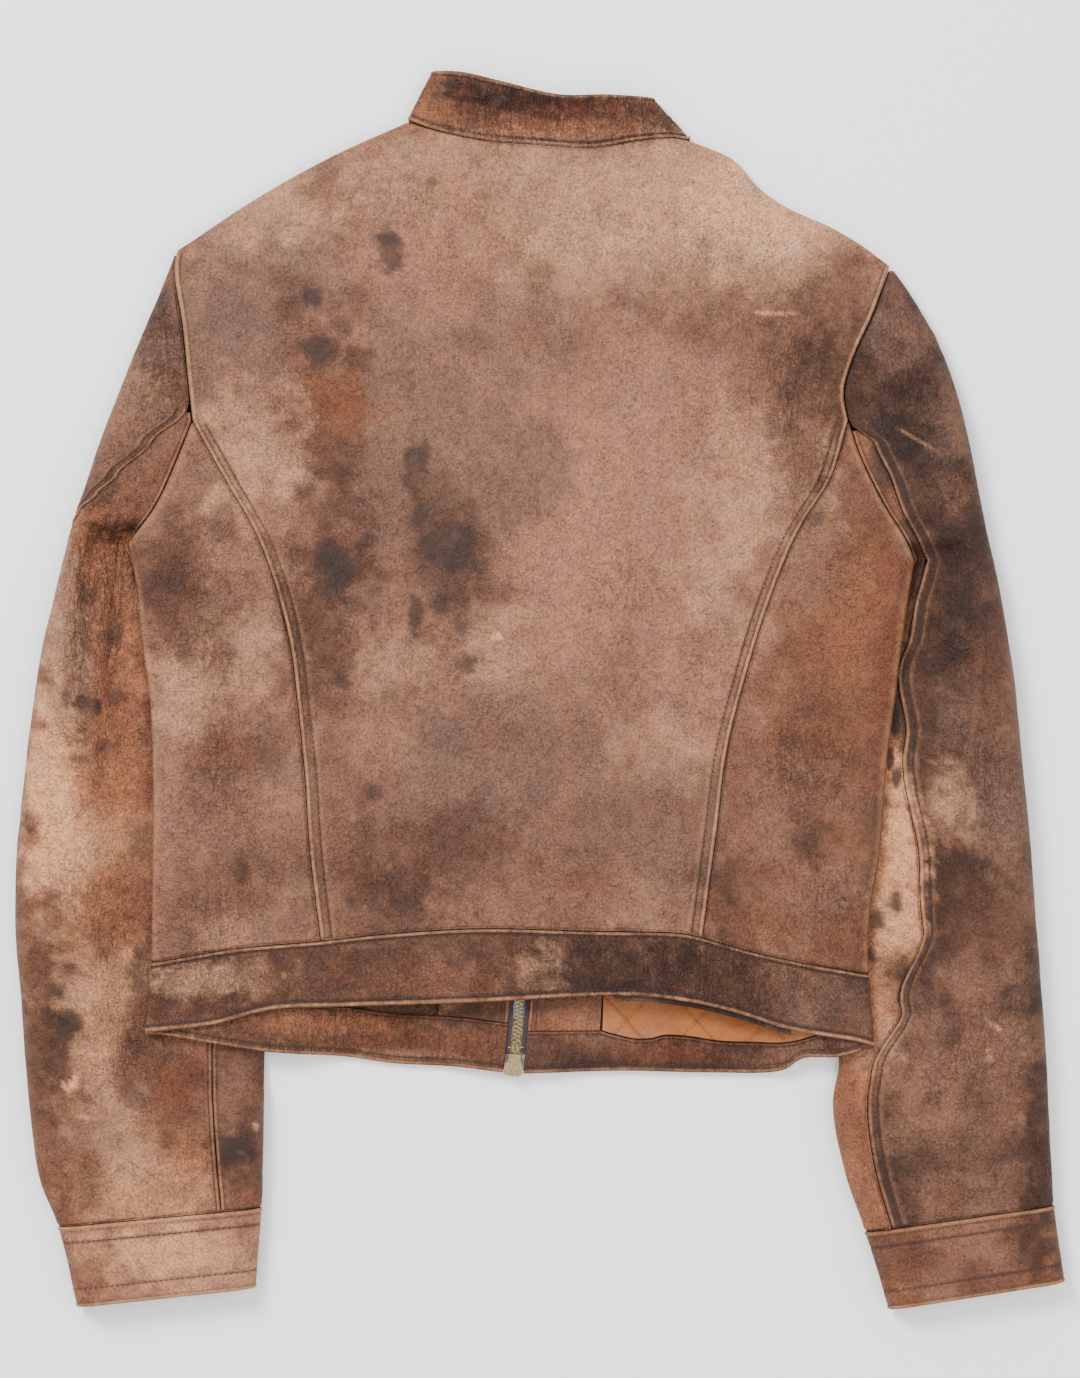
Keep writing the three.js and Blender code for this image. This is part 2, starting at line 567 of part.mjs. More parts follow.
// Fronts, lying under the back
const FRONT_BAND = 38;
const frontSeam = {
  left: (x) => frontHem.left.yAt(x) + FRONT_BAND,
  right: (x) => frontHem.right.yAt(x) + FRONT_BAND,
};
const zipEdge = (sign, y, offset = FRONT_EDGE) => zipLine.xAt(y) + sign * offset;
{
  const outside = {
    left: Line.join(shoulder.left, armhole.left, underarm.left, side.left),
    right: Line.join(shoulder.right, armhole.right, underarm.right, side.right),
  };
  const stops = {
    left: [
      [335, 335.5, 0], [268, 279, 5], [262.5, 275, 1], [160, 160, 5], [86.5, 86.5, 4], [20, 20, 3],
      [-167.8, -191, 7],
    ],
    right: [
      [324.5, 325, 0], [279, 259, 5], [275, 253, 1], [160, 160, 5], [76.5, 76.5, 4], [20, 20, 3],
      [-191.5, -176, 7],
    ],
  };
  const atArmhole = (name, y) => (y > armpitY[name] && y < shoulderTipY[name] ? ARMHOLE_INSET : 0);
  const inside = (name, sign) => (y) => (y > 275 ? frontNeck[name].xAt(y) : zipEdge(sign, y));
  const leftPlan = planRows({
    left: (y) => outside.left.xAt(y) + atArmhole('left', y),
    right: inside('left', -1),
    stops: stops.left,
    columns: 10,
    bunch: 0.5,
    bottom: (x) => frontSeam.left(x) + SEAM,
    reach: 40,
  });
  const rightPlan = planRows({
    left: inside('right', 1),
    right: (y) => outside.right.xAt(y) - atArmhole('right', y),
    stops: stops.right,
    columns: 10,
    bunch: 0.5,
    bottom: (x) => frontSeam.right(x) + SEAM,
    reach: 40,
  });
  const leftGrid = raise(leftPlan, frontOuter);
  const rightGrid = raise(rightPlan, frontOuter);
  const folded = (point, isLeft) => onShoulder(point, isLeft) || onSide(point, isLeft);
  const leftRims = levelRims(leftGrid, (point, isLeft) => isLeft && folded(point, true));
  const rightRims = levelRims(rightGrid, (point, isLeft) => !isLeft && folded(point, false));
  add('front_left', wall(leftGrid, LEATHER, { flip: true, level: leftRims }), COLOURS.leather);
  add('front_right', wall(rightGrid, LEATHER, { flip: true, level: rightRims }), COLOURS.leather);

  const leftBand = bandPlan(
    frontSeam.left, (x) => frontHem.left.yAt(x),
    [side.left.xAt(-168) + SEAM, side.left.last[0] + SEAM],
    [zipEdge(-1, -191) - SEAM, zipEdge(-1, -230) - SEAM],
    10, BAND_ROWS,
  );
  const rightBand = bandPlan(
    frontSeam.right, (x) => frontHem.right.yAt(x),
    [zipEdge(1, -191) + SEAM, zipEdge(1, -230) + SEAM],
    [side.right.xAt(-176) - SEAM, side.right.last[0] - SEAM],
    10, BAND_ROWS,
  );
  const leftBandGrid = raise(leftBand, frontOuter);
  const rightBandGrid = raise(rightBand, frontOuter);
  const bandRims = (grid, wanted) => levelRims(grid, (point, isLeft) => isLeft === wanted);
  add('front_band_left', wall(leftBandGrid, LEATHER, { flip: true, level: bandRims(leftBandGrid, true) }),
    COLOURS.leather);
  add('front_band_right', wall(rightBandGrid, LEATHER, { flip: true, level: bandRims(rightBandGrid, false) }),
    COLOURS.leather);
}

// Insides of the fronts that show below the back: facings and a stretch of lining, lying on the bands
const onFront = (x, y) => frontUnder(x, y) + LEATHER + TAPE_THICK + 2 * LAYER_GAP;
{
  const FACING_INSET = 7;
  const facingTop = (line) => (x) => line.yAt(x) + 30;
  const stripEnd = -204.8;
  const liningEdge = new Line(
    [36.5, -204.8], [43, -206.9], [58, -210.1], [68, -209.6], [74, -207.9], [88.5, -208.5], [107.5, -211.3],
    [127, -212], [150, -211.5], [192, -196],
  );
  const leftPlan = bandPlan(
    facingTop(frontHem.left), (x) => frontHem.left.yAt(x) + SEAM,
    [side.left.last[0] + FACING_INSET, side.left.last[0] + FACING_INSET],
    [zipEdge(-1, -199), zipEdge(-1, -230)], 12, 2,
  );
  add('hem_facing_left', wall(raise(leftPlan, onFront), FACING, { flip: true }), COLOURS.facing);
  const rightTop = (x) => (x < 36.5 ? stripEnd : liningEdge.yAt(x));
  const rightPlan = bandPlan(
    rightTop, (x) => frontHem.right.yAt(x) + SEAM,
    [zipEdge(1, -205), zipEdge(1, -230)], [190, 192], 14, 2,
  );
  add('hem_facing_right', wall(raise(rightPlan, onFront), FACING, { flip: true }), COLOURS.facing);
  const stripRows = (sign, bottom, width) => evenly(0, 1, 11).map((down) => {
    const shares = sign < 0 ? [1, 0.6, 0.26, 0] : [0, 0.26, 0.6, 1];
    return shares.map((share) => {
      const end = bottom(zipEdge(sign, -200) + sign * width * share);
      const y = mix(268, end, down);
      return [zipEdge(sign, y) + sign * width * share, y];
    });
  });
  const leftStrip = stripRows(-1, (x) => facingTop(frontHem.left)(x) + 2 * SEAM, 42);
  const rightStrip = stripRows(1, () => stripEnd + SEAM, 43);
  add('zip_facing_left', wall(raise(leftStrip, onFront), FACING, { flip: true }), COLOURS.facing);
  add('zip_facing_right', wall(raise(rightStrip, onFront), FACING, { flip: true }), COLOURS.facing);
  const liningPlan = bandPlan(
    () => -150, (x) => liningEdge.yAt(x) + 3 * SEAM, [38.8, 37.5], [186, 186], 10, 3,
  );
  add('lining_right', wall(raise(liningPlan, onFront), LINING, { flip: true }), COLOURS.lining);
}

// Sleeves: two panels and a cuff each, rolled round a flattened tube.
// A turn of 0 is the inner edge on the upper face, 1 the outer fold, 2 the inner edge again below.
const innerLine = {
  left: Line.join(armhole.left, underarm.left, sleeveInner.left),
  right: Line.join(armhole.right, underarm.right, sleeveInner.right),
};

function sleevePoint({ name, sign }, innerY, outerY, turn) {
  const overInner = turn > 2 ? turn - 2 : turn;
  const place = overInner < 0 ? overInner + 2 : overInner;
  const share = (1 - cos(PI * place)) / 2;
  const inX = innerLine[name].xAt(innerY) + sign * SEAM;
  const outX = sleeveOuter[name].xAt(outerY);
  const x = mix(inX, outX, share);
  const y = mix(innerY, outerY, share);
  const { upper, lower } = sleeveShape(name, sign, x, y);
  return new THREE.Vector3(x, y, place <= 1 ? upper : lower);
}

// Direction into the cloth of a sleeve, the same for both panels along their seams
function sleeveInto(place, innerY, outerY, turn) {
  const open = innerY > armpitY[place.name] + 0.5;
  const [less, more] = [turn - 0.04, turn + 0.04];
  const before = sleevePoint(place, innerY, outerY, open ? max(0, less) : less);
  const after = sleevePoint(place, innerY, outerY, open ? min(2, more) : more);
  const above = sleevePoint(place, innerY + 2, outerY + 2, turn);
  const below = sleevePoint(place, innerY - 2, outerY - 2, turn);
  const normal = after.sub(before).cross(below.sub(above)).normalize();
  const here = sleevePoint(place, innerY, outerY, turn);
  const middleX = (innerLine[place.name].xAt(innerY) + sleeveOuter[place.name].xAt(outerY)) / 2;
  const middleY = (innerY + outerY) / 2;
  const x = mix(here.x, middleX, 0.2);
  const y = mix(here.y, middleY, 0.2);
  const { upper, lower } = sleeveShape(place.name, place.sign, x, y);
  const inside = new THREE.Vector3(x, y, (upper + lower) / 2);
  return normal.dot(inside.sub(here)) < 0 ? normal.negate() : normal;
}

const turnAt = (share) => acos(1 - 2 * share) / PI;

// The under sleeve starts a little below the point where its two seams meet.
const underTop = { left: 165, right: 154 };
const UNDER_ROW = 5;

// Seams that part the two panels, as [height on the plan, turn]
const hindSeam = {
  left: [[178, 0.0], [147, turnAt(0.36)], [127, turnAt(0.62)], [116, turnAt(0.78)], [106, 0.86], [92, 1.08],
    [60, 1.2], [-320, 1.2]],
  right: [[163, 0.0], [146, 0.26], [126, 0.28], [100, 0.24], [58, 0.26], [23, 0.35], [-31, 0.47],
    [-100, 0.52], [-141, 0.51], [-191, 0.4], [-229, 0.26], [-320, 0.24]],
};
const foreSeam = {
  left: [[86.5, 0], [40, 0.12], [-100, 0.24], [-212, 0.31], [-320, 0.29]],
  right: [[76.5, 0], [40, -0.12], [-320, -0.2]],
};
function turnOn(seam, y) {
  if (y >= seam[0][0]) return seam[0][1];
  for (let i = 1; i < seam.length; i += 1) {
    if (y >= seam[i][0]) {
      return mix(seam[i - 1][1], seam[i][1], smooth((seam[i - 1][0] - y) / (seam[i - 1][0] - seam[i][0])));
    }
  }
  return seam.at(-1)[1];
}

// Rows of a sleeve from the shoulder tip to the cuff seam
function sleeveRows(name) {
  const tip = shoulderTipY[name] - 3;
  const armpit = armpitY[name];
  const start = cuffSeam[name].inner + SEAM;
  const spans = [
    [tip, 0], [underTop[name], UNDER_ROW], [armpit, 6], [armpit - 45, 4], [-190, 9], [-260, 5], [start, 3],
  ];
  const rows = [];
  spans.forEach(([y, count], index) => {
    if (!index) {
      rows.push(y);
      return;
    }
    for (let i = 1; i <= count; i += 1) rows.push(mix(spans[index - 1][0], y, i / count));
  });
  const slant = cuffSeam[name].outer - cuffSeam[name].inner;
  return rows.map((innerY) => ({ innerY, outerY: innerY + slant * smooth((-150 - innerY) / 160) }));
}

SIDES.forEach((place) => {
  const { name, sign } = place;
  const rows = sleeveRows(name);
  const strip = (from, to, steps, used) => used.map(({ innerY, outerY }) => {
    const start = from(innerY);
    const end = to(innerY);
    const points = Array.from({ length: 2 * steps + 1 }, (_, i) => sleevePoint(
      place, innerY, outerY, mix(start, end, i / (2 * steps)),
    ));
    // Both ends are drawn in from the seam by its gap.
    const gap = abs(innerY - armpitY[name]) < 1 ? 3 * SEAM : SEAM;
    const pull = (end1, next) => end1.clone().add(next.clone().sub(end1).setLength(gap));
    const line = Array.from({ length: steps + 1 }, (_, i) => points[2 * i]);
    line[0] = pull(points[0], points[1]);
    line[steps] = pull(points[2 * steps], points[2 * steps - 1]);
    return line;
  });
  const hind = (y) => turnOn(hindSeam[name], y);
  const fore = (y) => turnOn(foreSeam[name], y);
  const underSteps = max(6, round((hind(-100) - fore(-100)) / COLUMN_STEP));
  const topSteps = round((2 - hind(-100) + fore(-100)) / COLUMN_STEP);
  const directions = (from, to, steps, used) => used.map(({ innerY, outerY }) => evenly(0, 1, steps).map(
    (share) => sleeveInto(place, innerY, outerY, mix(from(innerY), to(innerY), share)),
  ));
  const under = strip(fore, hind, underSteps, rows.slice(UNDER_ROW));
  const top = strip(hind, (y) => 2 + fore(y), topSteps, rows);
  const flip = sign < 0;
  const underInto = directions(fore, hind, underSteps, rows.slice(UNDER_ROW));
  const topInto = directions(hind, (y) => 2 + fore(y), topSteps, rows);
  add(`sleeve_${name}_under`, wall(under, LEATHER, { flip, into: underInto }), COLOURS.leather);
  add(`sleeve_${name}_top`, wall(top, LEATHER, { flip, into: topInto }), COLOURS.leather);

  const cuffRows = 3;
  const cuffSteps = 22;
  const seamRow = cuffSeam[name];
  const edgeRow = cuffEdge[name];
  const cuff = Array.from({ length: cuffRows + 1 }, (_, row) => {
    const down = row / cuffRows;
    const innerY = mix(seamRow.inner - SEAM, edgeRow.inner, down);
    const outerY = mix(seamRow.outer - SEAM, edgeRow.outer, down);
    return Array.from({ length: cuffSteps }, (unused, i) => {
      const turn = (2 * i) / cuffSteps;
      return sleevePoint(place, innerY, outerY, turn);
    });
  });
  add(`cuff_${name}`, wall(cuff, LEATHER, { closed: true, flip }), COLOURS.leather);
});

// Stand collar: one strip that folds over at both ends of the neck
{
  const foldAt = (x, y) => min(collarFold.left.distance(x, y), collarFold.right.distance(x, y));
  const upper = (x, y) => {
    const top = mix(NECK_TOP, 12, smooth((y - 330) / 35));
    return mix(SHOULDER_RIM, top, roundOff(foldAt(x, y) / COLLAR_ROUND));
  };
  const lower = (x, y) => {
    const under = max(0, liftAtZip(x, y) - COLLAR_DROP);
    return mix(SHOULDER_RIM, under, roundOff(foldAt(x, y) / COLLAR_ROUND));
  };
  const across = 4;
  const frontSteps = 8;
  const backSteps = 16;
  const columns = [];
  const ease = (share) => (1 - cos(PI * share)) / 2;
  const push = (neck, top, height) => {
    columns.push(Array.from({ length: across + 1 }, (_, i) => {
      const share = i / across;
      const [x, y] = [mix(neck[0], top[0], share), mix(neck[1], top[1], share)];
      return new THREE.Vector3(x, y, height(x, y));
    }));
  };
  for (let i = 0; i < frontSteps; i += 1) {
    const share = sin((PI / 2) * (i / frontSteps));
    push(frontNeck.left.pointAt(share), collarTopFront.left.pointAt(share), lower);
  }
  for (let i = 0; i <= backSteps; i += 1) {
    const share = ease(i / backSteps);
    const neckX = mix(neckSeam.first[0], neckSeam.last[0], share);
    const topX = mix(collarTop.first[0], collarTop.last[0], share);
    push([neckX, neckSeam.yAt(neckX) + SEAM], [topX, collarTop.yAt(topX)], upper);
  }
  for (let i = frontSteps - 1; i >= 0; i -= 1) {
    const share = sin((PI / 2) * (i / frontSteps));
    push(frontNeck.right.pointAt(share), collarTopFront.right.pointAt(share), lower);
  }
  // The front necklines lie a seam's gap inside the collar, and the back one joins it past the folds.
  const foldSteps = 3;
  const grid = columns.map((line, index) => {
    const pastFold = min(index - frontSteps, frontSteps + backSteps - index);
    const inset = NECK_INSET * (1 - clamp01(pastFold / foldSteps));
    if (inset === 0) return line;
    const moved = line.map((point) => point.clone());
    moved[0].add(line[1].clone().sub(line[0]).setLength(inset));
    return moved;
  });
  add('collar', wall(grid, COLLAR_WALL), COLOURS.leather);
}

// Zip: tapes between front and facing, chains as plain bars, a slider at each end
function ribbon(heights, offsets, bottomZ, thickness) {
  const grid = heights.map((y) => offsets(y).map(
    (offset) => new THREE.Vector3(zipLine.xAt(y) + offset, y, bottomZ),
  ));
  return wall(grid, thickness, { flip: true });
}

SIDES.forEach(({ name, sign }) => {
  const order = (near, far) => (sign < 0 ? [-far, -near] : [near, far]);
  const middle = evenly(CHAIN_TOP, CHAIN_BOTTOM, 24);
  const chainOffsets = order(LAYER_GAP / 2, CHAIN_WIDTH / 2);
  const chain = ribbon(middle, () => chainOffsets, CHAIN_Z - CHAIN_THICK / 2, CHAIN_THICK);
  add(`zip_teeth_${name}`, chain, COLOURS.metal, 1);
  const tapeHeights = [TAPE_TOP, CHAIN_TOP + 1, ...middle, CHAIN_BOTTOM - 1, TAPE_BOTTOM];
  const tapeInner = (y) => (y > CHAIN_TOP || y < CHAIN_BOTTOM ? TAPE_NOTCH : CHAIN_WIDTH / 2 + LAYER_GAP);
  const tapeOffsets = (y) => order(tapeInner(y), TAPE_EDGE);
  const tape = ribbon(tapeHeights, tapeOffsets, CHAIN_Z - TAPE_THICK / 2, TAPE_THICK);
  add(`zip_tape_${name}`, tape, COLOURS.tape);
});

function toSolid(geometry) {
  const plain = geometry.clone();
  plain.deleteAttribute('normal');
  plain.deleteAttribute('uv');
  const merged = mergeVertices(plain, 1e-4);
  return new wasm.Manifold(new wasm.Mesh({
    numProp: 3,
    vertProperties: new Float32Array(merged.attributes.position.array),
    triVerts: new Uint32Array(merged.index.array),
  }));
}

function toGeometry(solid) {
  const { vertProperties, triVerts } = solid.getMesh();
  const geometry = new THREE.BufferGeometry();
  geometry.setAttribute('position', new THREE.BufferAttribute(vertProperties, 3));
  geometry.setIndex(new THREE.BufferAttribute(triVerts, 1));
  geometry.computeVertexNormals();
  return geometry;
}

// Slider: a body flared away from the closed chain, with the arch that holds its pull tab below it.
// Drawn with its closed end at the origin and the flared end towards -Y.
function sliderGeometry() {
  const corner = 2.6;
  const shoulderFrom = -3.4;
  const shoulderTo = -6.4;
  const outline = new THREE.Shape();
  outline.moveTo(-SLIDER_HALF_NARROW, 0);
  outline.lineTo(-SLIDER_HALF_NARROW, shoulderFrom);
  outline.lineTo(-SLIDER_HALF_WIDE, shoulderTo);
  outline.lineTo(-SLIDER_HALF_WIDE, corner - SLIDER_LENGTH);
  outline.absarc(corner - SLIDER_HALF_WIDE, corner - SLIDER_LENGTH, corner, PI, 1.5 * PI, false);
  outline.absarc(SLIDER_HALF_WIDE - corner, corner - SLIDER_LENGTH, corner, 1.5 * PI, 2 * PI, false);
  outline.lineTo(SLIDER_HALF_WIDE, shoulderTo);
  outline.lineTo(SLIDER_HALF_NARROW, shoulderFrom);
  outline.lineTo(SLIDER_HALF_NARROW, 0);
  const body = new THREE.ExtrudeGeometry(outline, {
    depth: SLIDER_TOP_Z - SLIDER_BOTTOM_Z, bevelEnabled: false, curveSegments: 4,
  });
  body.translate(0, 0, SLIDER_BOTTOM_Z);
  const arch = new THREE.Shape();
  const half = BAIL_SPAN / 2;
  const sunk = SLIDER_BOTTOM_Z + 0.5;
  arch.moveTo(-half, sunk);
  arch.lineTo(-half, BAIL_BOTTOM + BAIL_WALL);
  arch.lineTo(BAIL_WALL - half, BAIL_BOTTOM);
  arch.lineTo(half - BAIL_WALL, BAIL_BOTTOM);
  arch.lineTo(half, BAIL_BOTTOM + BAIL_WALL);
  arch.lineTo(half, sunk);
  arch.lineTo(half - BAIL_WALL, sunk);
  arch.lineTo(half - BAIL_WALL, BAIL_BOTTOM + BAIL_WALL);
  arch.lineTo(BAIL_WALL - half, BAIL_BOTTOM + BAIL_WALL);
  arch.lineTo(BAIL_WALL - half, sunk);
  const bail = new THREE.ExtrudeGeometry(arch, { depth: BAIL_WIDTH, bevelEnabled: false });
  // The arch's own plan is Y across and Z up: turn it to stand along the slider.
  bail.applyMatrix4(new THREE.Matrix4().set(
    0, 0, 1, -BAIL_WIDTH / 2,
    1, 0, 0, -BAIL_PLACE,
    0, 1, 0, 0,
    0, 0, 0, 1,
  ));
  return toGeometry(toSolid(body).add(toSolid(bail)));
}

// Height of the axis on which the tab swings, inside the arch
const TAB_AXIS_Z = BAIL_BOTTOM + BAIL_WALL + LAYER_GAP + TAB_THICK / 2;

// Pull tab: a thin plate with a slot at its end, the end bar held in the arch. Drawn towards +Y from
// the middle of its end bar.
function tabGeometry() {
  const near = -0.4;
  const neckEnd = TAB_SLOT + 1.6;
  const tip = TAB_LENGTH - TAB_HALF_WIDTH;
  const plate = new THREE.Shape();
  plate.moveTo(-TAB_HALF_NECK, near);
  plate.lineTo(TAB_HALF_NECK, near);
  plate.lineTo(TAB_HALF_NECK, neckEnd);
  plate.lineTo(TAB_HALF_WIDTH, neckEnd + 4);
  plate.absarc(0, tip, TAB_HALF_WIDTH, 0, PI, false);
  plate.lineTo(-TAB_HALF_WIDTH, neckEnd + 4);
  plate.lineTo(-TAB_HALF_NECK, neckEnd);
  const slot = new THREE.Path();
  const slotHalf = TAB_HALF_NECK - TAB_RAIL;
  slot.moveTo(-slotHalf, 0.4);
  slot.lineTo(-slotHalf, TAB_SLOT + 0.4);
  slot.lineTo(slotHalf, TAB_SLOT + 0.4);
  slot.lineTo(slotHalf, 0.4);
  plate.holes.push(slot);
  const geometry = new THREE.ExtrudeGeometry(plate, {
    depth: TAB_THICK, bevelEnabled: false, curveSegments: 8,
  });
  geometry.translate(0, 0, TAB_AXIS_Z - TAB_THICK / 2);
  return geometry;
}

[
  { name: 'bottom', from: CHAIN_BOTTOM - SLIDER_START, end: -1 },
  { name: 'top', from: CHAIN_TOP + SLIDER_START, end: 1 },
].forEach(({ name, from, end }) => {
  const x = zipLine.xAt(from);
  const ahead = from + end * SLIDER_LENGTH;
  const lean = Math.atan2(-end * (zipLine.xAt(ahead) - x), SLIDER_LENGTH);
  const turn = (end < 0 ? 0 : PI) + lean;
  const slider = add(`slider_${name}`, sliderGeometry(), COLOURS.metal, 1);
  slider.position.set(x, from, 0);
  slider.rotation.z = turn;
  const tab = add(`pull_tab_${name}`, tabGeometry(), COLOURS.metal, 1);
  const barAt = new THREE.Vector3(0, -BAIL_PLACE, 0).applyAxisAngle(new THREE.Vector3(0, 0, 1), turn);
  tab.position.set(x + barAt.x, from + barAt.y, 0);
  tab.rotation.z = turn;
});

export default jacket;
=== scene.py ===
"""A worn leather jacket laid flat, back upwards: shells, sewing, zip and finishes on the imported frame.

Plan sizes are in millimetres: x to the right, y to the collar, z up, origin under the middle of the
jacket. Meshes are written in metres.
"""

import logging
import math
from dataclasses import dataclass, field
from enum import Enum
from typing import Callable

import bpy
import numpy as np
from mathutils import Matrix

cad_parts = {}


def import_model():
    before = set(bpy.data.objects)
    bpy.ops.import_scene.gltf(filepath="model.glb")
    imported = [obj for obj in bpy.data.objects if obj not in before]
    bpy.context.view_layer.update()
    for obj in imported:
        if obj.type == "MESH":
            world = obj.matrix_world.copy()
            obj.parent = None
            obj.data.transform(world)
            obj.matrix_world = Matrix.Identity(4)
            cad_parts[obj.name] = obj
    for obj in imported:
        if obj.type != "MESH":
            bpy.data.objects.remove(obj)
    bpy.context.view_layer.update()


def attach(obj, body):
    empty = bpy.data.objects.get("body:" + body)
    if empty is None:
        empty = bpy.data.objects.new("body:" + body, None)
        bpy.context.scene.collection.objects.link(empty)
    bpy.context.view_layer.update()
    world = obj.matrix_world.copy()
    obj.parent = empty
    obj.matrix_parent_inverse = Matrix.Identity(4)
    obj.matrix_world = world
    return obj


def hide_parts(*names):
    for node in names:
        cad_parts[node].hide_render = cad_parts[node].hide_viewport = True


LOG = logging.getLogger("jacket")
Array = np.ndarray
METRES = 0.001

# Thickness of each cloth and the gaps between cut pieces, as in the solids
LEATHER = 1.5
FACING = 1.2
LINING = 0.9
COLLAR_WALL = 2.4
COLLAR_DROP = 0.9
SEAM = 0.25
NECK_INSET = 1.8
ARMHOLE_INSET = 0.5
LAYER_GAP = 0.3
TAPE_THICK = 0.6

# Heights above the floor, as in the solids
BACK_TOP = 17.0
NECK_TOP = 13.5
SIDE_RIM = 13.6
ARMPIT_RIM = 10.4
ARMPIT_TO_SIDE = 50.0
SHOULDER_RIM = 6.0
OVER_SLEEVE = 10.0
SLEEVE_TOP = 21.0
CUFF_TOP = 17.0
SLEEVE_FOLD_Z = 12.5
UNDER_FRONT_GAP = 0.8
ZIP_LIFT = 3.2

# Zip
CHAIN_Z = 5.3
FRONT_EDGE = 6.2
CHAIN_TOP = 289.0
TEETH_BOTTOM = -211.5
PIN_SPAN = (-218.2, -212.8)
TOOTH_PITCH = 2.4

# Fineness of the shells
TOP_STEP = 2.2
UNDER_STEP = 3.4
EDGE_STEPS = (0.45, 1.0, 1.6, 2.3, 3.1, 4.2, 5.6, 6.2, 6.6, 7.0, 7.8)
RIM_THICKNESS = 0.5
RIM_SPAN = 5.0


class Tone(Enum):
    """Colours of the hide and trim, as the eye sees them, 0 to 255."""

    TAN = (199, 160, 130)
    SAND = (182, 144, 119)
    BISCUIT = (205, 158, 122)
    ROSE = (174, 130, 109)
    BROWN = (156, 117, 97)
    CLAY = (146, 100, 76)
    UMBER = (125, 88, 71)
    COCOA = (106, 76, 62)
    # also the colour that the painted shade darkens towards
    SOOT_AND_SHADE = (66, 48, 44)
    SLATE = (84, 68, 66)
    ASH = (138, 110, 98)
    RUST = (148, 92, 66)
    EMBER = (182, 124, 92)
    OXBLOOD = (100, 52, 40)
    PALE = (212, 165, 128)
    LINING = (188, 122, 74)


def linear(colour: tuple[int, int, int]) -> Array:
    """Scene-linear colour of an 8-bit one."""
    value = np.array(colour, float) / 255
    return np.where(value <= 0.04045, value / 12.92, ((value + 0.055) / 1.055) ** 2.4)


def smooth(value: Array) -> Array:
    """Soft step from 0 to 1."""
    held = np.clip(value, 0, 1)
    return held * held * (3 - 2 * held)


def round_off(value: Array) -> Array:
    """Quarter-circle rise from 0 to 1."""
    return np.sqrt(1 - (1 - np.clip(value, 0, 1)) ** 2)


def mix(first: Array, second: Array, share: Array) -> Array:
    """Blend of two values."""
    return first + (second - first) * share


def bell(value: Array, middle: float, width: float) -> Array:
    """Bump of height 1 round a middle."""
    return np.exp(-(((value - middle) / width) ** 2))


class Noise:
    """Smooth repeatable noise from a seeded lattice, about -1 to 1."""

    SIZE = 256

    def __init__(self, seed: int) -> None:
        """Makes the lattice from its seed."""
        self.lattice = np.random.default_rng(seed).uniform(-1, 1, (self.SIZE, self.SIZE))

    def at(self, x: Array, y: Array) -> Array:
        """One octave, with features about one unit across.

        Args:
            x: Places across, in features.
            y: Places up, in features.

        Returns:
            The noise there.
        """
        ix, iy = np.floor(x).astype(int), np.floor(y).astype(int)
        fx, fy = x - ix, y - iy
        u, v = (f * f * f * (f * (f * 6 - 15) + 10) for f in (fx, fy))
        a, b = ix % self.SIZE, iy % self.SIZE
        c, d = (a + 1) % self.SIZE, (b + 1) % self.SIZE
        low = mix(self.lattice[a, b], self.lattice[c, b], u)
        high = mix(self.lattice[a, d], self.lattice[c, d], u)
        return mix(low, high, v) * 1.5

    def layered(self, x: Array, y: Array, size: float, octaves: int = 3) -> Array:
        """Several octaves, the first with features about size across.

        Args:
            x: Plan x of the points.
            y: Plan y of the points.
            size: Size of the broadest features.
            octaves: How many are added.

        Returns:
            The noise there.
        """
        total = np.zeros(np.shape(x))
        weight, whole = 1.0, 0.0
        for octave in range(octaves):
            scale = 2.03**octave / size
            total = total + weight * self.at(x * scale + 17.3 * octave, y * scale - 9.1 * octave)
            whole += weight
            weight *= 0.55
        return total / whole


WARP_X, WARP_Y, SWELL, MOTTLE, CRACKLE = (Noise(seed) for seed in (11, 23, 37, 41, 59))


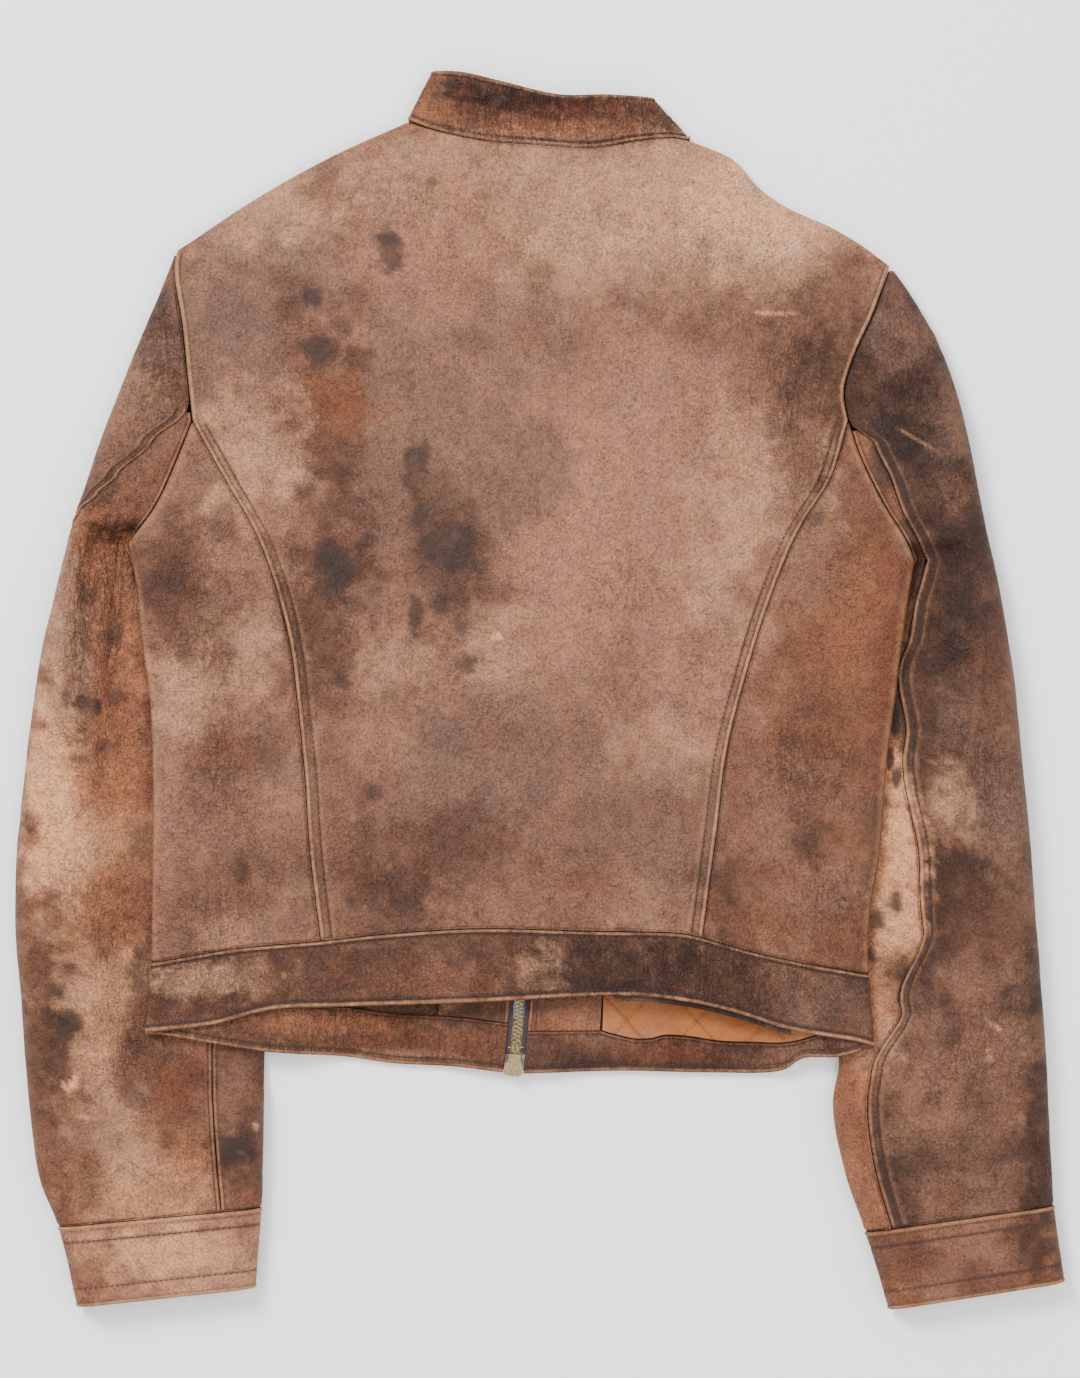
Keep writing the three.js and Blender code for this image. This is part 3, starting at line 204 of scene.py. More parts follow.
class Line:
    """A line on the plan: a centripetal Catmull-Rom curve through a few corners."""

    STEPS = 12

    def __init__(self, *corners: tuple[float, float]) -> None:
        """Keeps the curve through its corners."""
        self.points = self._curve(np.array(corners, float))

    @classmethod
    def _curve(cls, corners: Array) -> Array:
        """Goes through corners without a kink.

        Args:
            corners: Points that it passes through.

        Returns:
            The points of the curve.
        """
        count = len(corners)
        ends = [2 * corners[0] - corners[1], *corners, 2 * corners[-1] - corners[-2]]
        knots = np.array(ends)
        places = np.linspace(0, count - 1, count * cls.STEPS + 1)
        pieces = np.minimum(places.astype(int), count - 2)
        share = (places - pieces)[:, None]
        p0, p1, p2, p3 = (knots[pieces + i] for i in range(4))
        gaps = [np.sqrt(np.linalg.norm(b - a, axis=1))[:, None] for a, b in ((p0, p1), (p1, p2), (p2, p3))]
        d0, d1, d2 = (np.maximum(gap, 1e-4) for gap in gaps)
        t1 = ((p1 - p0) / d0 - (p2 - p0) / (d0 + d1) + (p2 - p1) / d1) * d1
        t2 = ((p2 - p1) / d1 - (p3 - p1) / (d1 + d2) + (p3 - p2) / d2) * d1
        square, cube = share**2, share**3
        return p1 + t1 * share + (3 * (p2 - p1) - 2 * t1 - t2) * square + (2 * (p1 - p2) + t1 + t2) * cube

    @staticmethod
    def join(*lines: "Line") -> "Line":
        """One line from several that follow each other."""
        joined = object.__new__(Line)
        joined.points = np.vstack([lines[0].points, *(line.points[1:] for line in lines[1:])])
        return joined

    @property
    def last(self) -> Array:
        """Its end."""
        return self.points[-1]

    @property
    def first(self) -> Array:
        """Its start."""
        return self.points[0]

    def _along(self, value: Array, known: int, wanted: int) -> Array:
        """One coordinate of the line where the other is known."""
        points = self.points if self.points[-1, known] > self.points[0, known] else self.points[::-1]
        return np.interp(value, np.maximum.accumulate(points[:, known]), points[:, wanted])

    def x_at(self, y: Array) -> Array:
        """Where it crosses a height on the plan."""
        return self._along(y, 1, 0)

    def y_at(self, x: Array) -> Array:
        """Its height on the plan at an x."""
        return self._along(x, 0, 1)

    def point_at(self, share: Array) -> Array:
        """Points at shares of its steps."""
        place = np.clip(share, 0, 1) * (len(self.points) - 1)
        steps = np.arange(len(self.points))
        return np.stack([np.interp(place, steps, self.points[:, i]) for i in (0, 1)], -1)

    def distance(self, x: Array, y: Array, reach: float) -> Array:
        """Distance on the plan where it is under reach, and infinite beyond.

        Args:
            x: Plan x of the points.
            y: Plan y of the points.
            reach: Distance past which nothing is worked out.

        Returns:
            The distance of each point.
        """
        flat_x, flat_y = np.ravel(x), np.ravel(y)
        nearest = np.full(flat_x.shape, np.inf)
        low, high = self.points.min(0) - reach, self.points.max(0) + reach
        near = np.flatnonzero(
            (flat_x > low[0]) & (flat_x < high[0]) & (flat_y > low[1]) & (flat_y < high[1])
        )
        near_x, near_y = flat_x[near], flat_y[near]
        best = np.full(near.shape, np.inf)
        for (ax, ay), (bx, by) in zip(self.points[:-1], self.points[1:]):
            inside = np.flatnonzero(
                (near_x > min(ax, bx) - reach) & (near_x < max(ax, bx) + reach)
                & (near_y > min(ay, by) - reach) & (near_y < max(ay, by) + reach)
            )
            if not len(inside):
                continue
            dx, dy = bx - ax, by - ay
            px, py = near_x[inside] - ax, near_y[inside] - ay
            share = np.clip((px * dx + py * dy) / max(dx * dx + dy * dy, 1e-9), 0, 1)
            best[inside] = np.minimum(best[inside], np.hypot(px - share * dx, py - share * dy))
        nearest[near] = best
        return nearest.reshape(np.shape(x))


# Seams and edges of the jacket as it lies, seen from above, as in the solids
SHOULDER = {
    "left": Line((-80, 339.5), (-125.5, 319), (-173.5, 292), (-217.5, 262.5)),
    "right": Line(
        (91.5, 328), (116.5, 317), (131, 300.5), (152, 286.5), (172, 278), (194.5, 265), (209.5, 253)
    ),
}
ARMHOLE = {
    "left": Line((-217.5, 262.5), (-218.5, 250), (-213.5, 217), (-210.5, 187.5), (-207.5, 160)),
    "right": Line((209.5, 253), (198.5, 223.5), (187.5, 199), (181.5, 178), (184, 160)),
}
UNDERARM = {
    "left": Line((-207.5, 160), (-218, 134), (-229.5, 109.5), (-246.5, 86.5)),
    "right": Line((184, 160), (190.5, 140.5), (204.5, 111.5), (217.5, 90.5), (224, 76.5)),
}
SIDE = {
    "left": Line(
        (-246.5, 86.5), (-241.5, 61.5), (-238, 28.5), (-233, -8), (-231.5, -55), (-232, -115),
        (-232.5, -163.5), (-236, -205),
    ),
    "right": Line(
        (224, 76.5), (218, 38.5), (212, -8), (207.5, -44), (203, -98), (197.5, -134), (196.5, -168.5),
        (200, -213.5),
    ),
}
PRINCESS = {
    "left": Line(
        (-207.5, 160), (-187.5, 124), (-170.5, 94.5), (-158, 61.5), (-149, 25), (-144.5, -11.5),
        (-140.5, -50.5), (-137.5, -96.5), (-131, -150.5),
    ),
    "right": Line(
        (184, 160), (173.5, 125.5), (158, 101), (149.5, 84.5), (134, 44), (122, 4.5), (112, -35),
        (105.5, -85), (97, -148.5),
    ),
}
NECK_SEAM = Line(
    (-80, 339.5), (-62.5, 334), (-34.5, 328), (2, 325), (32.5, 323.5), (57.5, 327.5), (79, 329.5), (91.5, 328)
)
HEM_TOP = Line(
    (-232.5, -163.5), (-181.5, -155), (-131, -150.5), (-94.5, -146.5), (-36.5, -143), (28.5, -144.5),
    (85, -146), (97, -148.5), (125, -156.5), (157, -163.5), (196.5, -170.5),
)
BACK_HEM = Line(
    (-236, -205), (-196, -200.5), (-160, -191.5), (-116, -189.5), (-36.5, -187), (28.5, -183.5),
    (61.5, -183.5), (92, -187.5), (119, -194), (149, -203.5), (189.5, -210.5), (200, -213.5),
)
FRONT_HEM = {
    "left": Line(
        (-236, -206), (-225.5, -207), (-196, -212), (-167, -216.5), (-150.5, -218), (-116, -220.5),
        (-87.5, -224.5), (-50.5, -226.5), (-20.5, -230),
    ),
    "right": Line(
        (-9, -230.5), (51.5, -229), (99.5, -230), (145, -228.5), (157, -221), (178, -220), (200, -214.5)
    ),
}
SLEEVE_OUTER = {
    "left": Line(
        (-217.5, 262.5), (-230, 232), (-247.5, 190), (-263.5, 148), (-277.5, 106), (-288.5, 64),
        (-298.5, 22), (-305, -20), (-309.5, -62), (-313.5, -104), (-314, -146), (-310.5, -188),
        (-307.5, -230), (-299.5, -293), (-288.5, -321.5), (-277, -369.5),
    ),
    "right": Line(
        (209.5, 253), (224.5, 232), (245.5, 190), (257, 148), (265, 106), (274.5, 64), (281.5, 22),
        (286.5, -20), (290.5, -62), (294.5, -104), (297.5, -146), (300.5, -188), (303.5, -230),
        (306.5, -293), (307.5, -308.5), (314, -354.5),
    ),
}
SLEEVE_INNER = {
    "left": Line(
        (-246.5, 86.5), (-233.5, 52), (-200.5, -2), (-170.5, -68), (-161.5, -140), (-164.5, -215),
        (-166.5, -310), (-170, -358),
    ),
    "right": Line(
        (224, 76.5), (210.5, 46), (180.5, 4), (153.5, -50), (150.5, -116), (165.5, -176), (179, -220.5),
        (175, -248.5), (181, -284), (194.5, -324.5), (208.5, -371),
    ),
}
CUFF_SEAM = {"left": (-310, -321.5), "right": (-324.5, -308.5)}
CUFF_EDGE = {"left": (-358, -369.5), "right": (-371, -354.5)}
ZIP_LINE = Line((-6, 310), (-9, 60), (-12.3, -188), (-14.3, -212), (-16.4, -233))
FRONT_NECK = {
    "left": Line((-12.6, 275), (-29.5, 277.5), (-56.5, 292), (-74.5, 316), (-80, 339.5)),
    "right": Line((-0.2, 275), (18.5, 276.5), (54.5, 286), (79.5, 307), (91.5, 328)),
}
COLLAR_FOLD = {
    "left": Line((-80, 339.5), (-73, 356), (-64.5, 370)),
    "right": Line((91.5, 328), (80, 341), (67.5, 354)),
}
COLLAR_TOP = Line((-64.5, 370), (-47, 369), (-25, 364), (11.5, 355.5), (38.5, 355.5), (67.5, 354))
COLLAR_TOP_FRONT = {
    "left": Line((-12.2, 312), (-26.5, 315), (-41.5, 327), (-56, 348), (-64.5, 370)),
    "right": Line((0.2, 312), (12, 313), (30.5, 320), (53, 336), (67.5, 354)),
}
RIGHT_SLEEVE_FOLD = Line(
    (263, 40), (259.5, -14), (255.5, -56), (247.5, -100), (236.5, -135.5), (220, -177.5), (205, -211)
)
LINING_EDGE = Line(
    (36.5, -204.8), (43, -206.9), (58, -210.1), (68, -209.6), (74, -207.9), (88.5, -208.5), (107.5, -211.3),
    (127, -212), (150, -211.5), (192, -196),
)
SIGN = {"left": -1, "right": 1}
ARMPIT_Y = {name: line.last[1] for name, line in UNDERARM.items()}
SHOULDER_TIP_Y = {name: line.last[1] for name, line in SHOULDER.items()}

def turn_at(share: float) -> float:
    """Turn round a flattened sleeve at a share of its width."""
    return math.acos(1 - 2 * share) / math.pi


# Seams that part a sleeve's two panels, as height on the plan and turn
HIND_SEAM = {
    "left": [
        (178, 0.0), (147, turn_at(0.36)), (127, turn_at(0.62)), (116, turn_at(0.78)), (106, 0.86), (92, 1.08),
        (60, 1.2), (-320, 1.2),
    ],
    "right": [
        (163, 0.0), (146, 0.26), (126, 0.28), (100, 0.24), (58, 0.26), (23, 0.35), (-31, 0.47), (-100, 0.52),
        (-141, 0.51), (-191, 0.4), (-229, 0.26), (-320, 0.24),
    ],
}
FORE_SEAM = {
    "left": [(86.5, 0), (40, 0.12), (-100, 0.24), (-212, 0.31), (-320, 0.29)],
    "right": [(76.5, 0), (40, -0.12), (-320, -0.2)],
}
UNDER_TOP = {"left": 165, "right": 154}


@dataclass(frozen=True)
class Crease:
    """A soft ridge (depth above 0) or trough along a line, in millimetres."""

    width: float
    depth: float
    corners: tuple[tuple[float, float], ...]

    def height(self, x: Array, y: Array) -> Array:
        """What it adds to the height."""
        away = Line(*self.corners).distance(x, y, 3 * self.width)
        return self.depth * np.exp(-((away / self.width) ** 2))


def crease(width: float, depth: float, *corners: tuple[float, float]) -> Crease:
    """A crease through its corners."""
    return Crease(width, depth, corners)


def creased(creases: list[Crease], x: Array, y: Array) -> Array:
    """Sum of the creases at points of the plan.

    Args:
        creases: The creases.
        x: Plan x of the points.
        y: Plan y of the points.

    Returns:
        Their height, in millimetres.
    """
    total = np.zeros(np.shape(x))
    for one in creases:
        total = total + one.height(x, y)
    return total


# Folds that the solids have too
BACK_FOLDS = [
    crease(7, -3, (192, 258), (167.5, 242), (150, 228)),
    crease(8, -2.6, (168, 214), (157, 192), (150.5, 155)),
    crease(14, 1.6, (182, 222), (172, 190), (166, 150)),
    crease(16, -1.8, (-172, -25), (-190, -50), (-206, -75)),
    crease(14, 1.4, (-205, 40), (-196, -10), (-186, -40)),
    crease(12, -1.5, (120, -56), (156, -49), (192, -42)),
    crease(20, 1.2, (130, -90), (165, -88), (195, -92)),
    crease(30, 1, (-120, 200), (-60, 150), (20, 120)),
    crease(26, -1.1, (60, 260), (80, 150), (60, 20)),
    crease(26, -0.9, (-100, 60), (-60, -20), (-50, -110)),
]
SLEEVE_FOLDS = {
    "left": [
        crease(9, -3.4, (-252, 92), (-262, 60), (-276, 15), (-284, -15)),
        crease(8, -3, (-246, 70), (-256, 35), (-253, -10), (-257, -35)),
        crease(12, 2, (-268, 90), (-284, 40), (-296, -15)),
        crease(14, -2, (-290, -175), (-250, -200), (-190, -232)),
        crease(16, 1.8, (-300, -120), (-262, -150), (-244, -190)),
        crease(12, -1.8, (-200, -250), (-235, -270), (-285, -262)),
    ],
    "right": [
        crease(10, -2.4, (236, 150), (252, 120), (262, 92)),
        crease(12, 2, (240, 168), (258, 135), (268, 108)),
        crease(9, -2.4, (232, 96), (247, 66), (262, 46)),
        crease(14, 2, (282, 20), (284, -60), (280, -140)),
        crease(12, -2, (292, -178), (270, -198), (236, -206)),
        crease(12, -1.8, (186, -262), (222, -282), (290, -270)),
    ],
}

# Finer creases, only on the shells
BACK_CREASES = [
    crease(2.2, -0.7, (191.7, 257.1), (183.9, 249.9), (167.7, 242.1), (153.3, 230.1)),
    crease(2.6, -0.6, (167.7, 217.5), (159.9, 200.7), (152.1, 180.3), (150.3, 157.5)),
    crease(3.0, -0.5, (137.1, -52.5), (150.3, -51.3), (165.3, -54.3)),
    crease(3.0, -0.5, (181.5, -47.7), (189.9, -45.9), (198.3, -45.3)),
    crease(2.2, -0.7, (219.3, 71.1), (215.7, 57.9), (210.3, 32.7)),
    crease(3.0, -0.5, (-201.9, -53.7), (-186.9, -44.1), (-172.5, -29.7)),
    crease(3.5, -0.45, (-182.1, -131.1), (-176.1, -108.9), (-179.7, -90.9)),
    crease(3.0, -0.5, (-236.1, 75.9), (-215.7, 84.9), (-196.5, 93.9)),
    crease(3.0, -0.4, (-233.7, 45.9), (-218.1, 51.9), (-203.7, 49.5)),
    crease(2.5, -0.4, (-205.5, 188.7), (-194.7, 180.3), (-189.3, 170.7)),
    crease(3.5, 0.5, (144.3, 237.9), (150.3, 219.9), (141.9, 200.7)),
    crease(4.0, -0.4, (12.3, 231.9), (60.3, 213.9), (108.3, 221.1)),
    crease(5.0, -0.4, (-125.7, 267.9), (-112.5, 231.9), (-119.7, 198.3)),
    crease(4.0, -0.35, (-65.7, -92.1), (-23.7, -105.3), (24.3, -98.1)),
    crease(4.0, -0.35, (36.3, -116.1), (66.3, -105.3), (96.3, -111.3)),
    crease(4.0, 0.35, (-119.7, -128.1), (-100.5, -108.9), (-93.3, -80.1)),
    crease(3.0, -0.5, (174.3, -116.1), (183.9, -131.1), (191.1, -152.1)),
    crease(3.0, -0.4, (-203.7, 261.9), (-194.1, 237.9), (-196.5, 213.9)),
]
SLEEVE_CREASES = {
    "left": [
        crease(2.2, -1.1, (-249.9, 101.7), (-255.3, 92.1), (-260.1, 78.3)),
        crease(3.6, -1.5, (-264.9, 95.1), (-270.9, 66.9), (-274.5, 27.9), (-276.9, -2.1)),
        crease(3.6, -1.2, (-249.3, 93.9), (-252.9, 57.9), (-255.9, 21.9), (-257.7, -8.1)),
        crease(4.0, 0.9, (-258.9, 87.9), (-262.5, 51.9), (-264.9, 15.9), (-267.3, -20.1)),
        crease(4.2, -0.8, (-233.7, 75.9), (-233.7, 27.9), (-232.5, -20.1), (-233.7, -68.1)),
        crease(5.0, -0.6, (-261.3, -44.1), (-263.7, -86.1), (-263.7, -128.1), (-256.5, -164.1)),
        crease(2.0, -0.9, (-243.3, 97.5), (-249.3, 87.3), (-254.1, 69.9)),
        crease(2.0, -0.8, (-263.7, 111.9), (-257.7, 103.5), (-249.3, 99.9)),
        crease(2.2, -0.7, (-266.1, 99.9), (-268.5, 84.9), (-274.5, 66.9)),
        crease(2.4, -0.7, (-275.7, 63.9), (-280.5, 33.9), (-281.7, 4.5)),
        crease(2.4, -0.7, (-254.1, 63.9), (-251.1, 39.9), (-255.9, 12.3)),
        crease(2.6, -0.5, (-239.7, 27.9), (-243.3, -2.1), (-239.7, -44.1)),
        crease(3.0, -0.5, (-263.7, -8.1), (-261.3, -44.1), (-267.3, -80.1)),
        crease(3.0, -0.4, (-287.7, 51.9), (-292.5, 15.9), (-293.7, -20.1)),
        crease(3.0, -0.5, (-233.7, -176.1), (-251.7, -189.3), (-273.3, -194.1)),
        crease(3.0, -0.4, (-242.1, -128.1), (-256.5, -146.1), (-268.5, -176.1)),
        crease(2.6, -0.5, (-221.7, -236.1), (-200.7, -233.1), (-173.7, -242.1)),
        crease(2.6, -0.5, (-190.5, -266.1), (-179.7, -272.1), (-166.5, -269.7)),
        crease(3.0, -0.5, (-287.7, -254.1), (-263.7, -260.1), (-233.7, -255.3)),
        crease(2.6, -0.4, (-184.5, -287.1), (-176.1, -291.3), (-166.5, -288.9)),
        crease(2.4, -0.5, (-222.9, 129.9), (-233.7, 116.7), (-242.1, 101.1)),
        crease(2.0, 0.5, (-218.1, 153.9), (-233.7, 126.9), (-252.9, 111.9)),
    ],
    "right": [
        crease(2.4, -0.7, (199.5, 213.9), (216.3, 204.9), (234.3, 200.7)),
        crease(2.6, 0.6, (213.3, 211.5), (231.3, 213.9), (245.1, 206.7)),
        crease(3.0, -0.7, (193.5, 171.9), (210.3, 159.9), (225.3, 148.5)),
        crease(3.0, 0.6, (240.9, 186.9), (249.3, 165.9), (251.7, 140.7)),
        crease(2.6, -0.6, (206.7, 129.9), (222.3, 111.9), (234.3, 105.9)),
        crease(2.6, -0.5, (216.3, 75.9), (234.3, 63.9), (253.5, 61.5)),
        crease(2.6, -0.6, (234.3, -44.1), (247.5, -48.9), (261.9, -44.1)),
        crease(2.2, -0.6, (234.3, -63.3), (246.3, -68.1), (259.5, -62.1)),
        crease(2.2, -0.5, (235.5, -82.5), (243.9, -86.1), (253.5, -81.3)),
        crease(3.0, -0.5, (234.3, -146.1), (252.3, -164.1), (276.3, -173.1)),
        crease(3.0, -0.5, (216.3, -194.1), (246.3, -188.1), (282.3, -194.1)),
        crease(3.0, -0.4, (207.9, -224.1), (234.3, -233.1), (276.3, -225.3)),
        crease(2.6, -0.5, (186.3, -242.1), (193.5, -266.1), (199.5, -296.1)),
        crease(3.0, -0.5, (216.3, -278.1), (246.3, -287.1), (300.3, -273.3)),
        crease(2.4, -0.5, (276.3, -8.1), (266.7, -44.1), (263.1, -80.1)),
        crease(2.6, -0.5, (282.3, -98.1), (267.3, -128.1), (252.3, -146.1)),
        crease(2.2, 0.6, (262.5, 27.9), (258.3, -20.1), (253.5, -62.1)),
    ],
}
COLLAR_CREASES = [
    crease(1.7, -0.9, (-62.7, 354.9), (-34.5, 350.7), (2.1, 342.3), (32.7, 341.7), (74.7, 344.7)),
    crease(1.6, -0.6, (-59.7, 361.5), (-23.7, 356.7), (12.3, 350.1), (60.3, 349.5)),
    crease(1.6, -0.5, (36.3, 336.3), (60.3, 338.7), (86.7, 331.5)),
    crease(1.8, 0.5, (-62.1, 351.9), (-29.7, 347.1), (3.3, 338.7), (36.3, 338.1)),
]


class Form:
    """Heights of the lying jacket's faces, the same as those that the solids are made from."""

    @staticmethod
    def over_sleeve(x: Array, y: Array) -> Array:
        """Climb of the fronts over the sleeves that lie under them.

        Args:
            x: Plan x of the points.
            y: Plan y of the points.

        Returns:
            The climb.
        """
        lift = np.zeros(np.shape(x))
        for name, sign in SIGN.items():
            inside = sign * (x - SLEEVE_INNER[name].x_at(y))
            climb = smooth((inside + 6 + 45) / 45) * smooth((ARMPIT_Y[name] + 36 - y) / 48)
            lift = np.maximum(lift, OVER_SLEEVE * climb)
        return lift

    @staticmethod
    def at_zip(x: Array, y: Array) -> Array:
        """Lift of the fronts beside the zip."""
        return ZIP_LIFT * (1 - smooth((np.abs(x - ZIP_LINE.x_at(y)) - 17.5) / 30))

    @classmethod
    def front_under(cls, x: Array, y: Array) -> Array:
        """Underside of the fronts away from their edges."""
        return np.maximum(cls.over_sleeve(x, y), cls.at_zip(x, y))

    @staticmethod
    def side_rim(name: str, y: Array) -> Array:
        """Height of the side fold."""
        return mix(ARMPIT_RIM, SIDE_RIM, smooth((ARMPIT_Y[name] - y) / ARMPIT_TO_SIDE))

    @classmethod
    def front_outer(cls, x: Array, y: Array) -> Array:
        """Outer face of the fronts, which looks down.

        Args:
            x: Plan x of the points.
            y: Plan y of the points.

        Returns:
            The height.
        """
        base = cls.front_under(x, y)
        height = base
        for name in SIGN:
            at_side = np.maximum(cls.side_rim(name, y) - LAYER_GAP, base)
            at_shoulder = np.maximum(SHOULDER_RIM - LAYER_GAP, base)
            by_side = mix(at_side, base, round_off(SIDE[name].distance(x, y, 9) / 8))
            by_shoulder = mix(at_shoulder, base, round_off(SHOULDER[name].distance(x, y, 9) / 8))
            height = np.maximum(height, np.maximum(by_side, by_shoulder))
        return height

    @classmethod
    def back_outer(cls, x: Array, y: Array) -> Array:
        """Outer face of the back, which looks up.

        Args:
            x: Plan x of the points.
            y: Plan y of the points.

        Returns:
            The height.
        """
        top = mix(BACK_TOP, NECK_TOP, smooth((y - 240) / 90)) + creased(BACK_FOLDS, x, y)
        height = top
        for name in SIGN:
            by_side = mix(cls.side_rim(name, y), top, round_off(SIDE[name].distance(x, y, 11) / 10))
            by_shoulder = mix(SHOULDER_RIM, top, round_off(SHOULDER[name].distance(x, y, 37) / 36))
            height = np.minimum(height, np.minimum(by_side, by_shoulder))
        return height

    @staticmethod
    def outside_body(name: str, x: Array, y: Array) -> Array:
        """How far points lie outside the body that covers the sleeves.

        Args:
            name: The side, "left" or "right".
            x: Plan x of the points.
            y: Plan y of the points.

        Returns:
            The distance on the plan.
        """
        below = np.maximum(0, FRONT_HEM[name].y_at(x) - y)
        beside = np.maximum(0, SIGN[name] * (x - SIDE[name].x_at(y)))
        above = np.maximum(0, y - ARMPIT_Y[name])
        return np.hypot(beside, np.maximum(below, above))

    @staticmethod
    def sleeve_full(name: str, x: Array, y: Array) -> Array:
        """Top of a sleeve where nothing lies on it.

        Args:
            name: The side, "left" or "right".
            x: Plan x of the points.
            y: Plan y of the points.

        Returns:
            The height.
        """
        near = np.minimum(ARMHOLE[name].distance(x, y, 61), UNDERARM[name].distance(x, y, 61))
        full = mix(BACK_TOP, SLEEVE_TOP, smooth(near / 60))
        tapered = mix(full, CUFF_TOP, smooth((-200 - y) / 130))
        if SIGN[name] < 0:
            return tapered
        beyond = x - RIGHT_SLEEVE_FOLD.x_at(y)
        span = smooth((40 - y) / 30) * smooth((y + 240) / 30)
        return mix(tapered, mix(SLEEVE_FOLD_Z, tapered, smooth((beyond + 8) / 16)), span)

    @classmethod
    def sleeve_shape(cls, name: str, x: Array, y: Array) -> tuple[Array, Array, Array]:
        """Upper and lower faces of a flattened sleeve, and how far it is open to view.

        Args:
            name: The side, "left" or "right".
            x: Plan x of the points.
            y: Plan y of the points.

        Returns:
            Upper face, lower face and the share open to view.
        """
        covered = OVER_SLEEVE * smooth((ARMPIT_Y[name] + 31 - y) / 48) - UNDER_FRONT_GAP
        opened = smooth((cls.outside_body(name, x, y) - 11) / 25)
        reveal = np.maximum(opened, smooth((y - ARMPIT_Y[name]) / 14))
        full = cls.sleeve_full(name, x, y) + creased(SLEEVE_FOLDS[name], x, y)
        top = mix(covered, full, reveal)
        near_tip = smooth((y - 130) / 110)
        middle = mix(np.maximum(3.2, np.minimum(0.42 * top, 7)), SHOULDER_RIM, near_tip)
        edge = np.minimum(
            SLEEVE_OUTER[name].distance(x, y, 37), SLEEVE_INNER[name].distance(x, y, 37)
        )
        upper = mix(middle, top, round_off(edge / mix(14, 36, near_tip)))
        lower = mix(middle, 0, round_off(edge / 10))
        return upper, lower, reveal

    @classmethod
    def collar(cls, x: Array, y: Array, upper: bool) -> Array:
        """Faces of the stand collar.

        Args:
            x: Plan x of the points.
            y: Plan y of the points.
            upper: True for the face that looks up.

        Returns:
            The height.
        """
        fold = np.minimum(COLLAR_FOLD["left"].distance(x, y, 23), COLLAR_FOLD["right"].distance(x, y, 23))
        if upper:
            flat = mix(NECK_TOP, 12, smooth((y - 330) / 35))
        else:
            flat = np.maximum(0, cls.at_zip(x, y) - COLLAR_DROP)
        return mix(SHOULDER_RIM, flat, round_off(fold / 22))

    @classmethod
    def on_front(cls, x: Array, y: Array) -> Array:
        """Height at which facings and lining lie on the fronts."""
        return cls.front_under(x, y) + LEATHER + TAPE_THICK + 2 * LAYER_GAP


def places(length: float, step: float, fine: bool = True) -> Array:
    """Positions from 0 to length, an even number of cells, closer together at both ends.

    Args:
        length: The last position.
        step: About the distance between points.
        fine: Whether the ends are closer together.

    Returns:
        The positions.
    """
    near = [d for d in EDGE_STEPS if d < length / 2 - step] if fine else []
    start = near[-1] if near else 0.0
    inner = length - 2 * start
    count = max(2, int(round(inner / step)))
    if (count + 2 * len(near)) % 2:
        count += 1
    middle = list(start + inner * np.arange(1, count) / count)
    ends = [length - d for d in reversed(near)]
    return np.array([0.0, *near, *middle, *ends, length])


def plan_rows(
    left: Callable, right: Callable, stops: list[tuple[float, float]], step: float,
    top: Callable | None = None, bottom: Callable | None = None, reach: float = 60.0,
) -> tuple[Array, Array]:
    """Rows of plan points between a left and a right edge, as in the solids but finer.

    Args:
        left: Left edge, x for y.
        right: Right edge, x for y.
        stops: Heights of rows at the left and the right edge, from the top.
        step: About the distance between points.
        top: Line that the first row follows.
        bottom: Line that the last row follows.
        reach: How far from those rows others bend with them.

    Returns:
        Plan x and y of the points.
    """
    corners = np.array(stops, float)
    length = np.concatenate([[0], np.cumsum(np.abs(np.diff(corners.mean(1))))])
    rows = places(length[-1], step)
    left_y, right_y = (np.interp(rows, length, corners[:, i])[:, None] for i in (0, 1))
    left_x, right_x = left(left_y) + SEAM, right(right_y) - SEAM
    share = places(float((right_x - left_x).max()), step)
    share = (share / share[-1])[None, :]
    x = mix(left_x, right_x, share)
    y = mix(left_y, right_y, share)
    for end, line in ((0, top), (-1, bottom)):
        if line is None:
            continue
        straight = mix(corners[end, 0], corners[end, 1], share)
        weight = np.clip(1 - np.abs(y - straight) / reach, 0, 1) ** 2
        y = y + (line(x) - straight) * weight
    return x, y


def band_plan(
    top: Callable, bottom: Callable, from_x: tuple[float, float], to_x: tuple[float, float], step: float,
) -> tuple[Array, Array]:
    """Points of a band between two lines across the plan.

    Args:
        top: Upper line, y for x.
        bottom: Lower line, y for x.
        from_x: Where it starts, at the top and the bottom.
        to_x: Where it ends, at the top and the bottom.
        step: About the distance between points.

    Returns:
        Plan x and y of the points.
    """
    width = abs(to_x[0] - from_x[0])
    share = places(width, step)[None, :] / width
    middle = (from_x[0] + to_x[0]) / 2
    depth = abs(float(top(middle) - bottom(middle)))
    down = places(depth, step)[:, None] / depth
    x = mix(mix(from_x[0], to_x[0], share), mix(from_x[1], to_x[1], share), down)
    y = mix(top(x) - SEAM, bottom(x), down)
    return x, y


